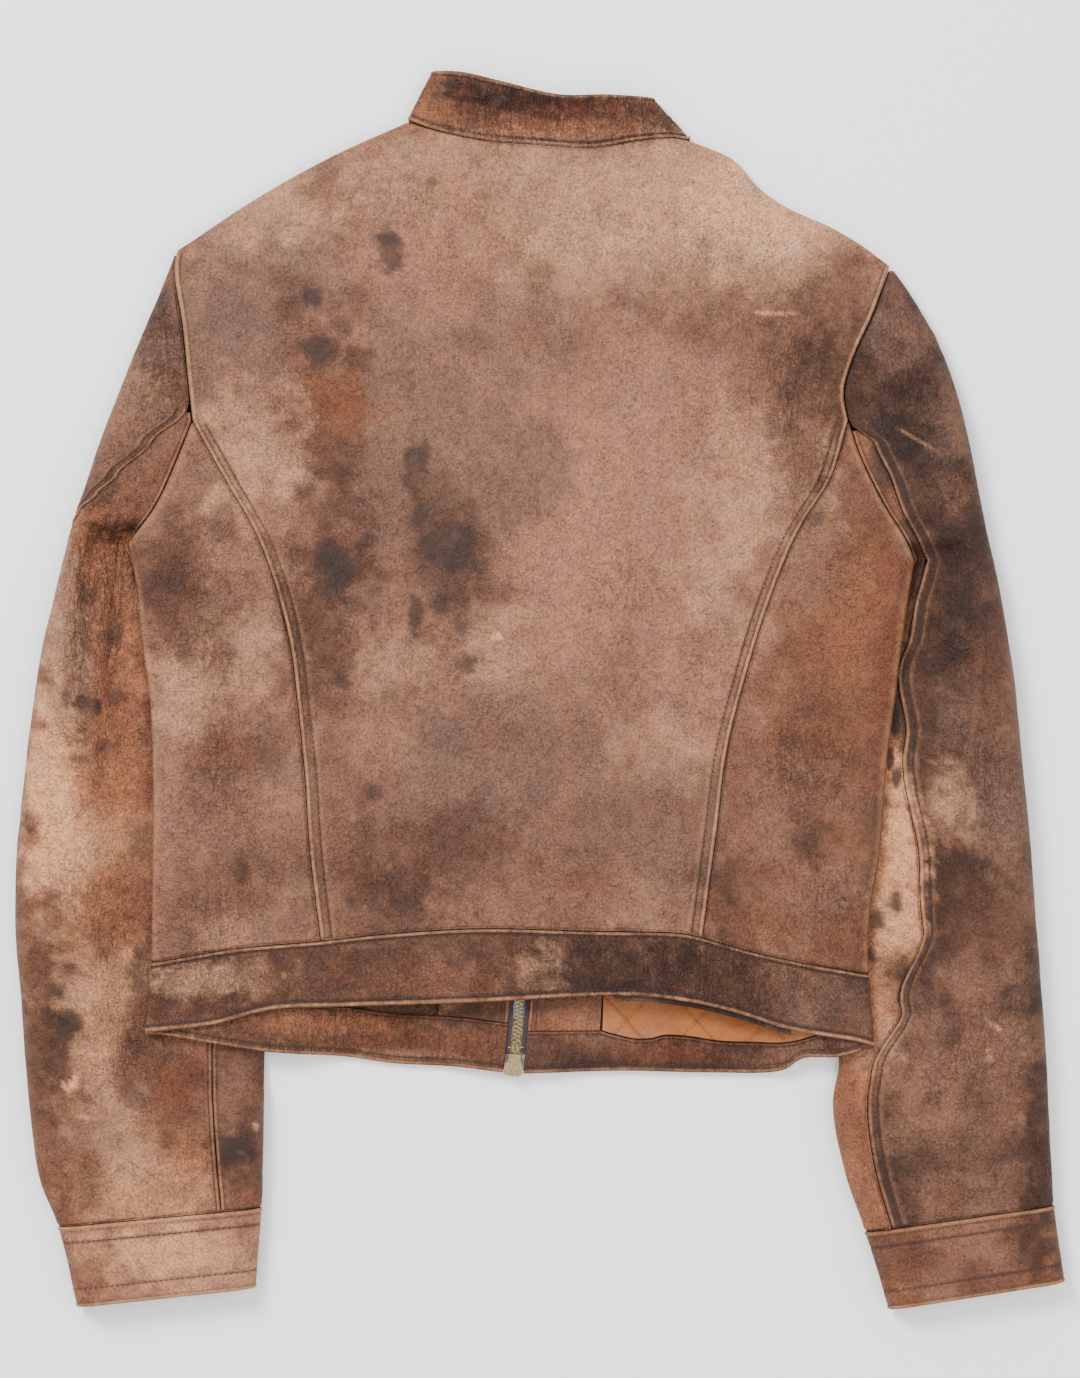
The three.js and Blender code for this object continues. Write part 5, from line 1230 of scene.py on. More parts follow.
UNDER_PATCHES = [
    F(Tone.SAND, (-120, 210), (70, 60), 0.6), F(Tone.UMBER, (90, 150), (60, 80), 0.5),
    F(Tone.CLAY, (-150, -20), (50, 80), 0.6), F(Tone.ROSE, (70, -60), (70, 80), 0.5),
    F(Tone.COCOA, (-60, 60), (26, 60), 0.5), F(Tone.SAND, (150, -10), (40, 60), 0.5),
    F(Tone.UMBER, (-80, -180), (80, 24), 0.5), F(Tone.COCOA, (90, -190), (80, 20), 0.6),
    F(Tone.SAND, (-250, -120), (30, 90), 0.6), F(Tone.COCOA, (-280, 40), (30, 70), 0.5),
    F(Tone.UMBER, (260, -40), (34, 90), 0.6), F(Tone.SAND, (270, -240), (34, 50), 0.5),
    S(Tone.SOOT_AND_SHADE, (-110, 120), (12, 16), 0.7), S(Tone.SLATE, (60, 40), (16, 12), 0.6),
    S(Tone.SLATE, (-40, -100), (10, 12), 0.5), S(Tone.COCOA, (130, 90), (12, 18), 0.6),
    S(Tone.SOOT_AND_SHADE, (-240, -60), (8, 12), 0.6), S(Tone.SLATE, (270, 60), (12, 16), 0.5),
]


BLOTCHES = (Tone.SOOT_AND_SHADE, Tone.SLATE)
HIDE_TINT = np.array([0.535, 0.462, 0.425])
HIDE_CONTRAST = 1.75
HIDE_SATURATION = 1.06
# tint of the pale mark's colour: worn edges and painted highlights
PALE_TINT = np.array([0.62, 0.5, 0.42])
HIDE_PIVOT = 0.19
LUMA = np.array([0.2126, 0.7152, 0.0722])


def hide_shade(tone: Tone) -> Array:
    """Shade of a tone before lamps and sky lift and pale it.

    Args:
        tone: The tone as the photo shows it.

    Returns:
        The linear colour.
    """
    value = linear(tone.value) - 0.006
    bright = float(value @ LUMA)
    value = bright + (value - bright) * HIDE_SATURATION
    return np.maximum(value, 1e-3) * (bright / HIDE_PIVOT) ** (HIDE_CONTRAST - 1) * HIDE_TINT


def paint(sheet: Sheet, base: Tone, patches: list[Patch], unseen: Tone = Tone.BROWN) -> None:
    """Colours a sheet: its base shade, broken up at several sizes, then its patches on the upper face.

    Args:
        sheet: The sheet.
        base: Its main tone.
        patches: What shows on the upper face.
        unseen: Main tone of the face below.
    """
    x, y = sheet.x, sheet.y
    colour = np.ones((*x.shape, 3)) * hide_shade(base)
    if sheet.upper.min() < 1:
        colour = mix(hide_shade(unseen), colour, sheet.upper[..., None])
    fields = (
        (MOTTLE, 38, 0.0, Tone.UMBER, 0.26),
        (WARP_X, 30, 300.0, Tone.CLAY, 0.2),
        (WARP_Y, 24, 600.0, Tone.ASH, 0.26),
        (SWELL, 30, 900.0, Tone.SAND, 0.22),
        (CRACKLE, 16, 1200.0, Tone.COCOA, 0.16),
        (MOTTLE, 13, 1500.0, Tone.EMBER, 0.1),
    )
    for noise, size, offset, tone, strength in fields:
        field_mask = smooth(noise.layered(x + offset, y - offset, size, 5) * 2.2 - 0.15)
        colour = mix(colour, hide_shade(tone), strength * field_mask[..., None])
    visible = [(patch, sheet.upper) for patch in patches]
    if sheet.upper.min() < 1:
        visible += [(patch, 1 - sheet.upper) for patch in UNDER_PATCHES]
    for patch, seen in visible:
        mask = np.clip(patch.mask(x, y) * seen, 0, 1)
        if patch.tone in BLOTCHES and patch.soft < 1.2:
            sheet.spot = np.maximum(sheet.spot, mask)
            mask = 0.45 * mask
        colour = mix(colour, hide_shade(patch.tone), mask[..., None])
    sheet.colour = colour


def soften(sheet: Sheet, amount: float = 1.0) -> None:
    """Undulation and fine lines that all the leather has, with painted highlights where the fine undulation
    stands up.

    Args:
        sheet: The sheet.
        amount: How much of it.
    """
    x, y = sheet.x, sheet.y
    broad = SWELL.layered(x, y, 42, 3)
    fine = WARP_X.layered(x + 90, y, 13, 3)
    sheet.detail += amount * (0.34 * broad + 0.13 * fine)
    # painted highlight on the raised parts of the fine undulation
    sheet.pale += amount * 0.1 * np.clip(fine, 0, 1)
    sheet.crinkle += 0.25 * WARP_Y.layered(x + 40, y, 50, 3)


def press(sheet: Sheet, fine: list[Crease], broad: list[Crease]) -> None:
    """Presses fine creases into a sheet and paints shade into the troughs and highlights onto the ridges of
    them and of the broad folds under them.

    Args:
        sheet: The sheet.
        fine: Creases of the scene alone.
        broad: Folds that the solids have too.
    """
    height = creased(fine, sheet.x, sheet.y) * sheet.upper
    fold = creased(broad, sheet.x, sheet.y) * sheet.upper
    sheet.detail += height
    # painted shade in the troughs, painted highlights on the ridges
    sheet.painted_shade += 0.22 * np.clip(-height, 0, 2) + 0.075 * np.clip(-fold, 0, 4)
    sheet.pale += 0.16 * np.clip(height, 0, 1) + 0.05 * np.clip(fold, 0, 3)


def across_lines(sheet: Sheet, lines: list[tuple[float, float, float, float, float, float, float]]) -> None:
    """Patches of fine wrinkles, with painted shade along their lines: centre, size, angle, spacing and depth
    of each.

    Args:
        sheet: The sheet.
        lines: Seven numbers for each patch, in the order above.
    """
    x, y = sheet.x, sheet.y
    for centre_x, centre_y, size_x, size_y, angle, spacing, depth in lines:
        inside = np.exp(-(((x - centre_x) / size_x) ** 2) - ((y - centre_y) / size_y) ** 2) * sheet.upper
        line = wrinkles(x, y, angle, spacing * 5, spacing, centre_x * 0.01)
        sheet.detail += -depth * line * inside
        # painted shade along the wrinkle lines
        sheet.painted_shade += 0.45 * depth * line * inside
        sheet.crinkle += 1.1 * depth * inside


Socket = bpy.types.NodeSocket
Material = bpy.types.Material


@dataclass(frozen=True)
class Graph:
    """A node tree, with short ways to add nodes to it and join them."""

    tree: bpy.types.NodeTree

    def put(self, kind: str, inputs: dict, **settings: str) -> bpy.types.Node:
        """Adds a node.

        Args:
            kind: What follows ShaderNode in the name of its type.
            inputs: Values or sockets for its inputs, by name or number.
            settings: Its other settings.

        Returns:
            The node.
        """
        node = self.tree.nodes.new("ShaderNode" + kind)
        for label, value in settings.items():
            setattr(node, label, value)
        for label, value in inputs.items():
            if isinstance(value, Socket):
                self.tree.links.new(value, node.inputs[label])
            else:
                node.inputs[label].default_value = value
        return node

    def noise(self, vector: Socket, scale: float, detail: float, roughness: float = 0.55) -> Socket:
        """Adds a noise texture.

        Args:
            vector: Where it is read.
            scale: Features a metre.
            detail: Its octaves.
            roughness: Weight of each octave over the one before.

        Returns:
            Its value, 0 to 1.
        """
        values = {"Scale": scale, "Detail": detail, "Roughness": roughness, "Vector": vector}
        return self.put("TexNoise", values).outputs["Fac"]

    def remap(self, value: Socket, low: float, high: float, to_low: float, to_high: float) -> Socket:
        """Maps one range to another and holds it there.

        Args:
            value: What is mapped.
            low: Start of its range.
            high: End of its range.
            to_low: Start of the new range.
            to_high: End of the new range.

        Returns:
            The mapped value.
        """
        ranges = {"From Min": low, "From Max": high, "To Min": to_low, "To Max": to_high}
        return self.put("MapRange", {**ranges, "Value": value}).outputs["Result"]

    def math(self, operation: str, first: Socket | float, second: Socket | float = 0.0) -> Socket:
        """Works out one operation on two values."""
        return self.put("Math", {0: first, 1: second}, operation=operation).outputs[0]

    def times(self, first: Socket, second: Socket | float) -> Socket:
        """Product of two values."""
        return self.math("MULTIPLY", first, second)

    def total(self, *values: Socket) -> Socket:
        """Sum of several values.

        Args:
            values: The values.

        Returns:
            Their sum.
        """
        whole = values[0]
        for value in values[1:]:
            whole = self.math("ADD", whole, value)
        return whole

    def blend(
        self, kind: str, share: Socket | float, first: Socket | tuple, second: Socket | tuple,
    ) -> Socket:
        """Blends two colours.

        Args:
            kind: Blend type.
            share: How much of the second.
            first: Colour below.
            second: Colour above.

        Returns:
            The blended colour.
        """
        return self.put("Mix", {0: share, 6: first, 7: second}, data_type="RGBA", blend_type=kind).outputs[2]


@dataclass(frozen=True)
class EffectGroup:
    """A node group that several finishes share, with named inputs and outputs."""

    name: str
    inputs: tuple[tuple[str, str], ...]
    outputs: tuple[tuple[str, str], ...]

    def start(self) -> tuple[Graph, bpy.types.NodeOutputs, bpy.types.NodeInputs]:
        """Makes the empty group.

        Returns:
            Its graph, what comes into it and what goes out.
        """
        tree = bpy.data.node_groups.new(self.name, "ShaderNodeTree")
        for direction, sockets in (("INPUT", self.inputs), ("OUTPUT", self.outputs)):
            for label, kind in sockets:
                tree.interface.new_socket(name=label, in_out=direction, socket_type="NodeSocket" + kind)
        return Graph(tree), tree.nodes.new("NodeGroupInput").outputs, tree.nodes.new("NodeGroupOutput").inputs


def opaque(colour: Array) -> tuple[float, float, float, float]:
    """Colour with a full alpha."""
    return (*colour, 1.0)


def mottle_group() -> bpy.types.NodeTree:
    """Speckle, rubbed patches, blotches, worn edges with painted highlights, and painted shade in grooves,
    creases and crinkles, laid over a hide's own colour.

    Returns:
        The node group.
    """
    graph, came, out = EffectGroup(
        "hide_mottle",
        (
            ("Colour", "Color"), ("Marks", "Color"), ("Vector", "Vector"), ("Speckle", "Float"),
            ("Lines", "Float"),
        ),
        (("Colour", "Color"),),
    ).start()
    vector = came["Vector"]
    fine = graph.remap(graph.noise(vector, 820, 2.0, 0.6), 0.32, 0.68, -1.0, 1.0)
    coarse = graph.remap(graph.noise(vector, 210, 5.0, 0.75), 0.32, 0.68, -1.0, 1.0)
    streaks = graph.put("Mapping", {"Scale": (1.0, 0.45, 1.0), "Rotation": (0.0, 0.0, 0.5), "Vector": vector})
    cloudy = graph.remap(graph.noise(streaks.outputs["Vector"], 75, 6.0, 0.68), 0.34, 0.66, -1.0, 1.0)
    tint = graph.remap(graph.noise(vector, 48, 6.0, 0.7), 0.36, 0.64, -1.0, 1.0)
    pores = graph.put("TexVoronoi", {"Scale": 560, "Vector": vector})
    dots = graph.remap(pores.outputs["Distance"], 0.15, 0.75, 0.8, -1.0)
    parts = ((fine, 0.8), (coarse, 0.6), (cloudy, 0.3), (dots, 0.55))
    whole = graph.total(*(graph.times(part, weight) for part, weight in parts))
    factor = graph.math("ADD", graph.times(whole, came["Speckle"]), 1.0)
    channels = dict.fromkeys(("Red", "Green", "Blue"), factor)
    grey = graph.put("CombineColor", channels).outputs["Color"]
    colour = graph.blend("MULTIPLY", 1.0, came["Colour"], grey)
    warm = graph.times(graph.math("MAXIMUM", tint, 0.0), 0.45)
    cool = graph.times(graph.math("MAXIMUM", graph.times(tint, -1.0), 0.0), 0.45)
    colour = graph.blend("MULTIPLY", warm, colour, (1.1, 0.96, 0.84, 1.0))
    colour = graph.blend("MULTIPLY", cool, colour, (0.84, 0.9, 1.0, 1.0))
    marks = graph.put("SeparateColor", {"Color": came["Marks"]}).outputs
    edge = graph.total(marks["Blue"], graph.total(graph.times(coarse, 0.13), graph.times(cloudy, 0.1)))
    grit = graph.remap(fine, -1.0, 1.0, 0.72, 1.0)
    spot = graph.times(graph.remap(edge, 0.22, 0.78, 0.0, 0.9), grit)
    colour = graph.blend("MIX", spot, colour, opaque(linear(Tone.SOOT_AND_SHADE.value) * 0.62))
    # the pale mark: worn edges and painted highlights on ridges
    scuff = graph.remap(coarse, -0.8, 0.6, 0.5, 1.15)
    pale = graph.math("MINIMUM", graph.times(marks["Red"], scuff), 1.0)
    colour = graph.blend("MIX", pale, colour, opaque(linear(Tone.PALE.value) * PALE_TINT))
    # painted shade from the marks and from the crinkle valleys, darkened towards soot
    painted_shade = graph.math("MINIMUM", graph.total(marks["Green"], graph.times(came["Lines"], 0.34)), 0.92)
    colour = graph.blend("MIX", painted_shade, colour, opaque(linear(Tone.SOOT_AND_SHADE.value) * 0.5))
    graph.tree.links.new(colour, out["Colour"])
    return graph.tree


def grain_group() -> bpy.types.NodeTree:
    """Pores, pebble grain and crinkled lines of leather as a bumped normal, with the painted shade of the
    crinkle valleys as a separate output.

    Returns:
        The node group.
    """
    graph, came, out = EffectGroup(
        "hide_grain",
        (("Vector", "Vector"), ("Strength", "Float"), ("Crinkle", "Float")),
        (("Normal", "Vector"), ("Height", "Float"), ("Lines", "Float")),
    ).start()
    vector, crinkle = came["Vector"], came["Crinkle"]
    pebble = graph.put("TexVoronoi", {"Scale": 620, "Vector": vector}, feature="DISTANCE_TO_EDGE")
    cells = graph.remap(pebble.outputs["Distance"], 0.0, 0.3, 0.0, 1.0)
    rough = graph.remap(graph.noise(vector, 300, 5.0, 0.7), 0.3, 0.7, 0.0, 1.0)

    def line_height(place: Socket, scale: float, half: float, to_low: float, to_high: float) -> Socket:
        """Height beside thin lines, where a noise crosses its middle."""
        away = graph.math("ABSOLUTE", graph.math("SUBTRACT", graph.noise(place, scale, 3.0, 0.6), 0.5))
        return graph.remap(away, 0.0, half, to_low, to_high)

    sizes = ((95, 1.0), (230, 0.55))
    lines = graph.total(*(line_height(vector, scale, 0.055, 0.0, high) for scale, high in sizes))
    upright = graph.put("Mapping", {"Scale": (1.0, 0.26, 1.0), "Rotation": (0.0, 0.0, 0.2), "Vector": vector})
    strong = graph.remap(crinkle, 0.45, 1.0, 0.0, 1.0)
    upright_lines = graph.times(line_height(upright.outputs["Vector"], 190, 0.07, 1.0, 0.0), strong)
    # 1 in the valleys of the crinkle lines: painted shade there
    seen = graph.times(graph.remap(lines, 0.0, 1.1, 1.0, 0.0), crinkle)
    raised_lines = graph.math("SUBTRACT", graph.times(lines, crinkle), upright_lines)
    height = graph.total(graph.times(cells, 0.3), graph.times(rough, 0.5))
    whole = graph.total(height, graph.times(raised_lines, 1.3))
    bump = graph.put("Bump", {"Distance": 0.0007, "Strength": came["Strength"], "Height": whole})
    graph.tree.links.new(bump.outputs["Normal"], out["Normal"])
    graph.tree.links.new(height, out["Height"])
    # the valleys of both kinds of crinkle go out as painted shade
    graph.tree.links.new(graph.math("MAXIMUM", seen, upright_lines), out["Lines"])
    return graph.tree


@dataclass(frozen=True)
class Finish:
    """A material's name and what every finish starts from."""

    name: str

    def start(self) -> tuple[Material, Graph, bpy.types.NodeInputs, Socket]:
        """Makes the material.

        Returns:
            The material, its graph, its shader's inputs and the object's own coordinates.
        """
        material = bpy.data.materials.new(self.name)
        material.use_nodes = True
        graph = Graph(material.node_tree)
        place = graph.put("TexCoord", {}).outputs["Object"]
        return material, graph, material.node_tree.nodes["Principled BSDF"].inputs, place


@dataclass(frozen=True)
class HideFinish(Finish):
    """Leather or lining, whose shades come from the sheet's own colour and marks."""

    mottle: bpy.types.NodeTree
    grain: bpy.types.NodeTree
    roughness: float
    relief: float
    speckle: float
    specular: float
    sheen: float = 0.0

    def build(self) -> Material:
        """Makes the material.

        Returns:
            The material.
        """
        material, graph, shader, place = self.start()
        shade, marks = (
            graph.put("Attribute", {}, attribute_name=label).outputs for label in ("shade", "marks")
        )
        grain = graph.put(
            "Group", {"Strength": self.relief, "Vector": place, "Crinkle": marks["Alpha"]},
            node_tree=self.grain,
        ).outputs
        mottle = graph.put(
            "Group",
            {"Speckle": self.speckle, "Colour": shade["Color"], "Marks": marks["Color"], "Vector": place,
             "Lines": grain["Lines"]},
            node_tree=self.mottle,
        ).outputs
        rough = graph.remap(grain["Height"], 0.0, 1.0, self.roughness + 0.1, self.roughness - 0.06)
        wired = {"Base Color": mottle["Colour"], "Roughness": rough, "Normal": grain["Normal"]}
        for label, source in wired.items():
            graph.tree.links.new(source, shader[label])
        shader["Specular IOR Level"].default_value = self.specular
        shader["Sheen Weight"].default_value = self.sheen
        return material


@dataclass(frozen=True)
class ThreadFinish(Finish):
    """Twisted sewing thread."""

    tone: tuple[int, int, int]

    def build(self) -> Material:
        """Makes the material.

        Returns:
            The material.
        """
        material, graph, shader, place = self.start()
        wave = graph.put("TexWave", {"Scale": 900, "Distortion": 2.0, "Vector": place}).outputs["Fac"]
        colour = graph.blend("MIX", wave, opaque(linear(self.tone) * 0.6), opaque(linear(self.tone)))
        graph.tree.links.new(colour, shader["Base Color"])
        shader["Roughness"].default_value = 0.8
        return material


@dataclass(frozen=True)
class TapeFinish(Finish):
    """Woven zip tape."""

    tone: tuple[int, int, int]

    def build(self) -> Material:
        """Makes the material.

        Returns:
            The material.
        """
        material, graph, shader, place = self.start()
        wave = graph.put(
            "TexWave", {"Scale": 420, "Distortion": 1.5, "Vector": place}, bands_direction="Y",
        ).outputs["Fac"]
        colour = graph.blend("MIX", wave, opaque(linear(self.tone) * 0.5), opaque(linear(self.tone) * 1.3))
        bump = graph.put("Bump", {"Distance": 0.0002, "Height": wave})
        graph.tree.links.new(colour, shader["Base Color"])
        graph.tree.links.new(bump.outputs["Normal"], shader["Normal"])
        shader["Roughness"].default_value = 0.85
        return material


@dataclass(frozen=True)
class MetalFinish(Finish):
    """Plated metal, worn and a little dull."""

    tone: tuple[int, int, int]
    worn: tuple[int, int, int]

    def build(self) -> Material:
        """Makes the material.

        Returns:
            The material.
        """
        material, graph, shader, place = self.start()
        patchy = graph.remap(graph.noise(place, 700, 4.0), 0.4, 0.65, 0.0, 1.0)
        colour = graph.blend("MIX", patchy, opaque(linear(self.tone)), opaque(linear(self.worn)))
        graph.tree.links.new(colour, shader["Base Color"])
        graph.tree.links.new(graph.remap(patchy, 0.0, 1.0, 0.28, 0.5), shader["Roughness"])
        shader["Metallic"].default_value = 1.0
        return material


@dataclass(frozen=True)
class FloorFinish(Finish):
    """Plain pale floor."""

    grey: float

    def build(self) -> Material:
        """Makes the material.

        Returns:
            The material.
        """
        material, _, shader, _ = self.start()
        shader["Base Color"].default_value = (self.grey, self.grey, self.grey, 1.0)
        shader["Roughness"].default_value = 0.9
        return material


def cells(grid: Array) -> Array:
    """Quads between the rows and columns of a grid of point numbers."""
    return np.stack([grid[:-1, :-1], grid[1:, :-1], grid[1:, 1:], grid[:-1, 1:]], -1).reshape(-1, 4)


def rim(outer: Array, inner: Array, forward: bool) -> list[Array]:
    """Triangles between an edge of the outer face and one with every second point.

    Args:
        outer: Point numbers along the outer edge.
        inner: Point numbers along the inner edge.
        forward: Whether they face the way the edges run.

    Returns:
        Three strips of triangles.
    """
    first, middle, last = outer[0:-1:2], outer[1::2], outer[2::2]
    near, far = inner[:-1], inner[1:]
    strips = [np.stack(t, -1) for t in ((first, near, middle), (middle, near, far), (middle, far, last))]
    return [strip if forward else strip[:, ::-1] for strip in strips]


@dataclass(frozen=True)
class ShellMaker:
    """Writes sheets as closed meshes with their colour and marks on each point."""

    body: str
    sharp_angle: float = 55.0
    # inner faces take the outer colour darkened by this: painted shade inside the shell
    inner_painted_shade: float = 0.8

    @staticmethod
    def _faces(rows: int, columns: int, closed: bool) -> tuple[Array, Array]:
        """Faces of a wall whose inner face has every second row and column.

        Args:
            rows: Rows of the outer face.
            columns: Its columns.
            closed: Whether it joins into a tube.

        Returns:
            Quads and triangles.
        """
        fine = np.arange(rows * columns).reshape(rows, columns)
        coarse_rows, coarse_columns = rows // 2 + 1, columns // 2 + (0 if closed else 1)
        coarse = rows * columns + np.arange(coarse_rows * coarse_columns).reshape(coarse_rows, coarse_columns)
        if closed:
            fine = np.hstack([fine, fine[:, :1]])
            coarse = np.hstack([coarse, coarse[:, :1]])
        triangles = rim(fine[0], coarse[0], False) + rim(fine[-1], coarse[-1], True)
        if not closed:
            triangles += rim(fine[:, 0], coarse[:, 0], True) + rim(fine[:, -1], coarse[:, -1], False)
        return np.vstack([cells(fine), cells(coarse)[:, ::-1]]), np.vstack(triangles)

    def build(self, sheet: Sheet, material: Material, cad_node: str, slot: str) -> bpy.types.Object:
        """Makes a closed shell of a sheet, riding on the jacket in place of its solid.

        Args:
            sheet: The sheet, with its detail, colour and marks.
            material: What it is dressed in.
            cad_node: The solid that it stands for.
            slot: The material slot of that solid; not used.

        Returns:
            The shell.
        """
        rows, columns = sheet.base.shape[:2]
        outer = sheet.outer
        near_rim = np.minimum(sheet.arcs("top"), sheet.arcs("bottom"))
        if not sheet.closed:
            near_rim = np.minimum(near_rim, np.minimum(sheet.arcs("left"), sheet.arcs("right")))
        wall = mix(RIM_THICKNESS, sheet.thickness, smooth(near_rim / RIM_SPAN))
        step = (slice(None, None, 2), slice(None, None, 2))
        inner = (sheet.base - sheet.normal * wall[..., None])[step]
        points = np.vstack([outer.reshape(-1, 3), inner.reshape(-1, 3)]) * METRES
        quads, triangles = self._faces(rows, columns, sheet.closed)
        if sheet.flip:
            quads, triangles = quads[:, ::-1], triangles[:, ::-1]
        mesh = self._mesh(sheet.name, points, quads, triangles)
        # painted shade: the inner faces get the outer colour darkened
        inner_shaded_colour = sheet.colour[step].reshape(-1, 3) * self.inner_painted_shade
        shade = np.vstack([sheet.colour.reshape(-1, 3), inner_shaded_colour])
        shade = np.hstack([shade, np.ones((len(shade), 1))])
        marks = np.stack([sheet.pale, sheet.painted_shade, sheet.spot, sheet.crinkle], -1).clip(0, 1)
        marks = np.vstack([marks.reshape(-1, 4), marks[step].reshape(-1, 4) * (0.0, 0.0, 0.0, 1.0)])
        for label, values in (("shade", shade), ("marks", marks)):
            layer = mesh.attributes.new(label, "FLOAT_COLOR", "POINT")
            layer.data.foreach_set("color", values.ravel())
        piece = bpy.data.objects.new(sheet.name, mesh)
        bpy.context.scene.collection.objects.link(piece)
        mesh.materials.append(material)
        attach(piece, self.body)
        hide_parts(cad_node)
        return piece

    def _mesh(self, name: str, points: Array, quads: Array, triangles: Array) -> bpy.types.Mesh:
        """Makes a smooth mesh of quads and triangles.

        Args:
            name: Name of the mesh.
            points: Its points, in metres.
            quads: Its faces of four corners.
            triangles: Its faces of three corners.

        Returns:
            The mesh.
        """
        mesh = bpy.data.meshes.new(name)
        mesh.vertices.add(len(points))
        mesh.vertices.foreach_set("co", points.ravel())
        corners = np.concatenate([quads.ravel(), triangles.ravel()])
        mesh.loops.add(len(corners))
        mesh.loops.foreach_set("vertex_index", corners)
        starts = np.concatenate([np.arange(len(quads)) * 4, len(quads) * 4 + np.arange(len(triangles)) * 3])
        mesh.polygons.add(len(starts))
        mesh.polygons.foreach_set("loop_start", starts)
        mesh.polygons.foreach_set("use_smooth", np.ones(len(starts), bool))
        mesh.update(calc_edges=True)
        mesh.validate()
        mesh.set_sharp_from_angle(angle=math.radians(self.sharp_angle))
        return mesh


@dataclass
class Stitching:
    """Rows of stitches gathered into one joined mesh."""

    name: str
    length: float = 2.5
    pitch: float = 3.2
    radius: float = 0.27
    points: list[Array] = field(default_factory=list)
    faces: list[Array] = field(default_factory=list)

    rings: tuple[tuple[float, float, float], ...] = (
        (-0.5, 0.35, -0.16), (-0.22, 1.0, 0.06), (0.22, 1.0, 0.06), (0.5, 0.35, -0.16),
    )
    sides: int = 5

    def row(self, path: Array, normals: Array) -> None:
        """Adds a row of stitches.

        Args:
            path: Points along the leather.
            normals: Outward direction at each.
        """
        if len(path) < 3:
            return
        steps = np.linalg.norm(np.diff(path, axis=0), axis=1)
        along = np.concatenate([[0], np.cumsum(steps)])
        count = int((along[-1] - 2) / self.pitch)
        if count < 1:
            return
        middles = (np.arange(count) + 0.5) * (along[-1] / count)

        def at(distance: Array, values: Array) -> Array:
            """Values at a distance along the row."""
            return np.stack([np.interp(distance, along, values[:, i]) for i in range(3)], -1)

        for middle in middles:
            centre = at(middle, path)
            ahead = at(middle + 0.6, path) - at(middle - 0.6, path)
            ahead /= max(np.linalg.norm(ahead), 1e-9)
            up = at(middle, normals)
            up = up - ahead * up.dot(ahead)
            up /= max(np.linalg.norm(up), 1e-9)
            self._stitch(centre, ahead, up, np.cross(ahead, up))

    def _stitch(self, centre: Array, ahead: Array, up: Array, side: Array) -> None:
        """Adds one stitch, thick in its middle and sunk at its ends.

        Args:
            centre: Its middle.
            ahead: Direction of the row.
            up: Direction out of the leather.
            side: Direction across the row.
        """
        turns = np.arange(self.sides) * 2 * math.pi / self.sides
        start = sum(len(p) for p in self.points)
        ring_points = []
        for place, fat, lift in self.rings:
            middle = centre + ahead * place * self.length + up * (lift + 0.12)
            spokes = np.outer(np.cos(turns), side) + np.outer(np.sin(turns), up)
            ring_points.append(middle + self.radius * fat * spokes)
        tips = [centre + ahead * end * (self.length / 2 + 0.12) + up * -0.1 for end in (-1, 1)]
        self.points.append(np.vstack([*ring_points, *tips]))
        rings, sides = len(self.rings), self.sides
        faces = []
        for ring in range(rings - 1):
            for i in range(sides):
                a, b = ring * sides + i, ring * sides + (i + 1) % sides
                faces += [(a, b, b + sides), (a, b + sides, a + sides)]
        low, high = rings * sides, rings * sides + 1
        for i in range(sides):
            j = (i + 1) % sides
            faces += [(low, j, i), (high, (rings - 1) * sides + i, (rings - 1) * sides + j)]
        self.faces.append(np.array(faces) + start)

    def build(self, material: Material, body: str, slot: str) -> bpy.types.Object:
        """Joins all its rows into one mesh.

        Args:
            material: The thread's.
            body: What it rides on.
            slot: Its material slot; not used.

        Returns:
            The stitches.
        """
        points, faces = np.vstack(self.points) * METRES, np.vstack(self.faces)
        mesh = bpy.data.meshes.new(self.name)
        mesh.from_pydata(points.tolist(), [], faces.tolist())
        mesh.polygons.foreach_set("use_smooth", np.ones(len(faces), bool))
        piece = bpy.data.objects.new(self.name, mesh)
        bpy.context.scene.collection.objects.link(piece)
        mesh.materials.append(material)
        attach(piece, body)
        return piece


def raised(plan: tuple[Array, Array], height: Callable) -> Array:
    """Grid of points over the plan."""
    x, y = plan
    return np.stack([x, y, height(x, y)], -1)


BACK_LEFT = Line.join(SHOULDER["left"], ARMHOLE["left"], PRINCESS["left"])
BACK_RIGHT = Line.join(SHOULDER["right"], ARMHOLE["right"], PRINCESS["right"])
SIDE_LEFT = Line.join(UNDERARM["left"], SIDE["left"])
SIDE_RIGHT = Line.join(UNDERARM["right"], SIDE["right"])
BODY_LEFT = Line.join(SHOULDER["left"], ARMHOLE["left"], UNDERARM["left"], SIDE["left"])
BODY_RIGHT = Line.join(SHOULDER["right"], ARMHOLE["right"], UNDERARM["right"], SIDE["right"])
INNER_LINE = {name: Line.join(ARMHOLE[name], UNDERARM[name], SLEEVE_INNER[name]) for name in SIGN}


def zip_edge(sign: int, y: Array, offset: float = FRONT_EDGE) -> Array:
    """Edge of a front beside the zip."""
    return ZIP_LINE.x_at(y) + sign * offset


class Cloth(Enum):
    """What a sheet is cut from, as its material slot."""

    LEATHER = "leather"
    FACING = "facing_leather"
    LINING = "lining"


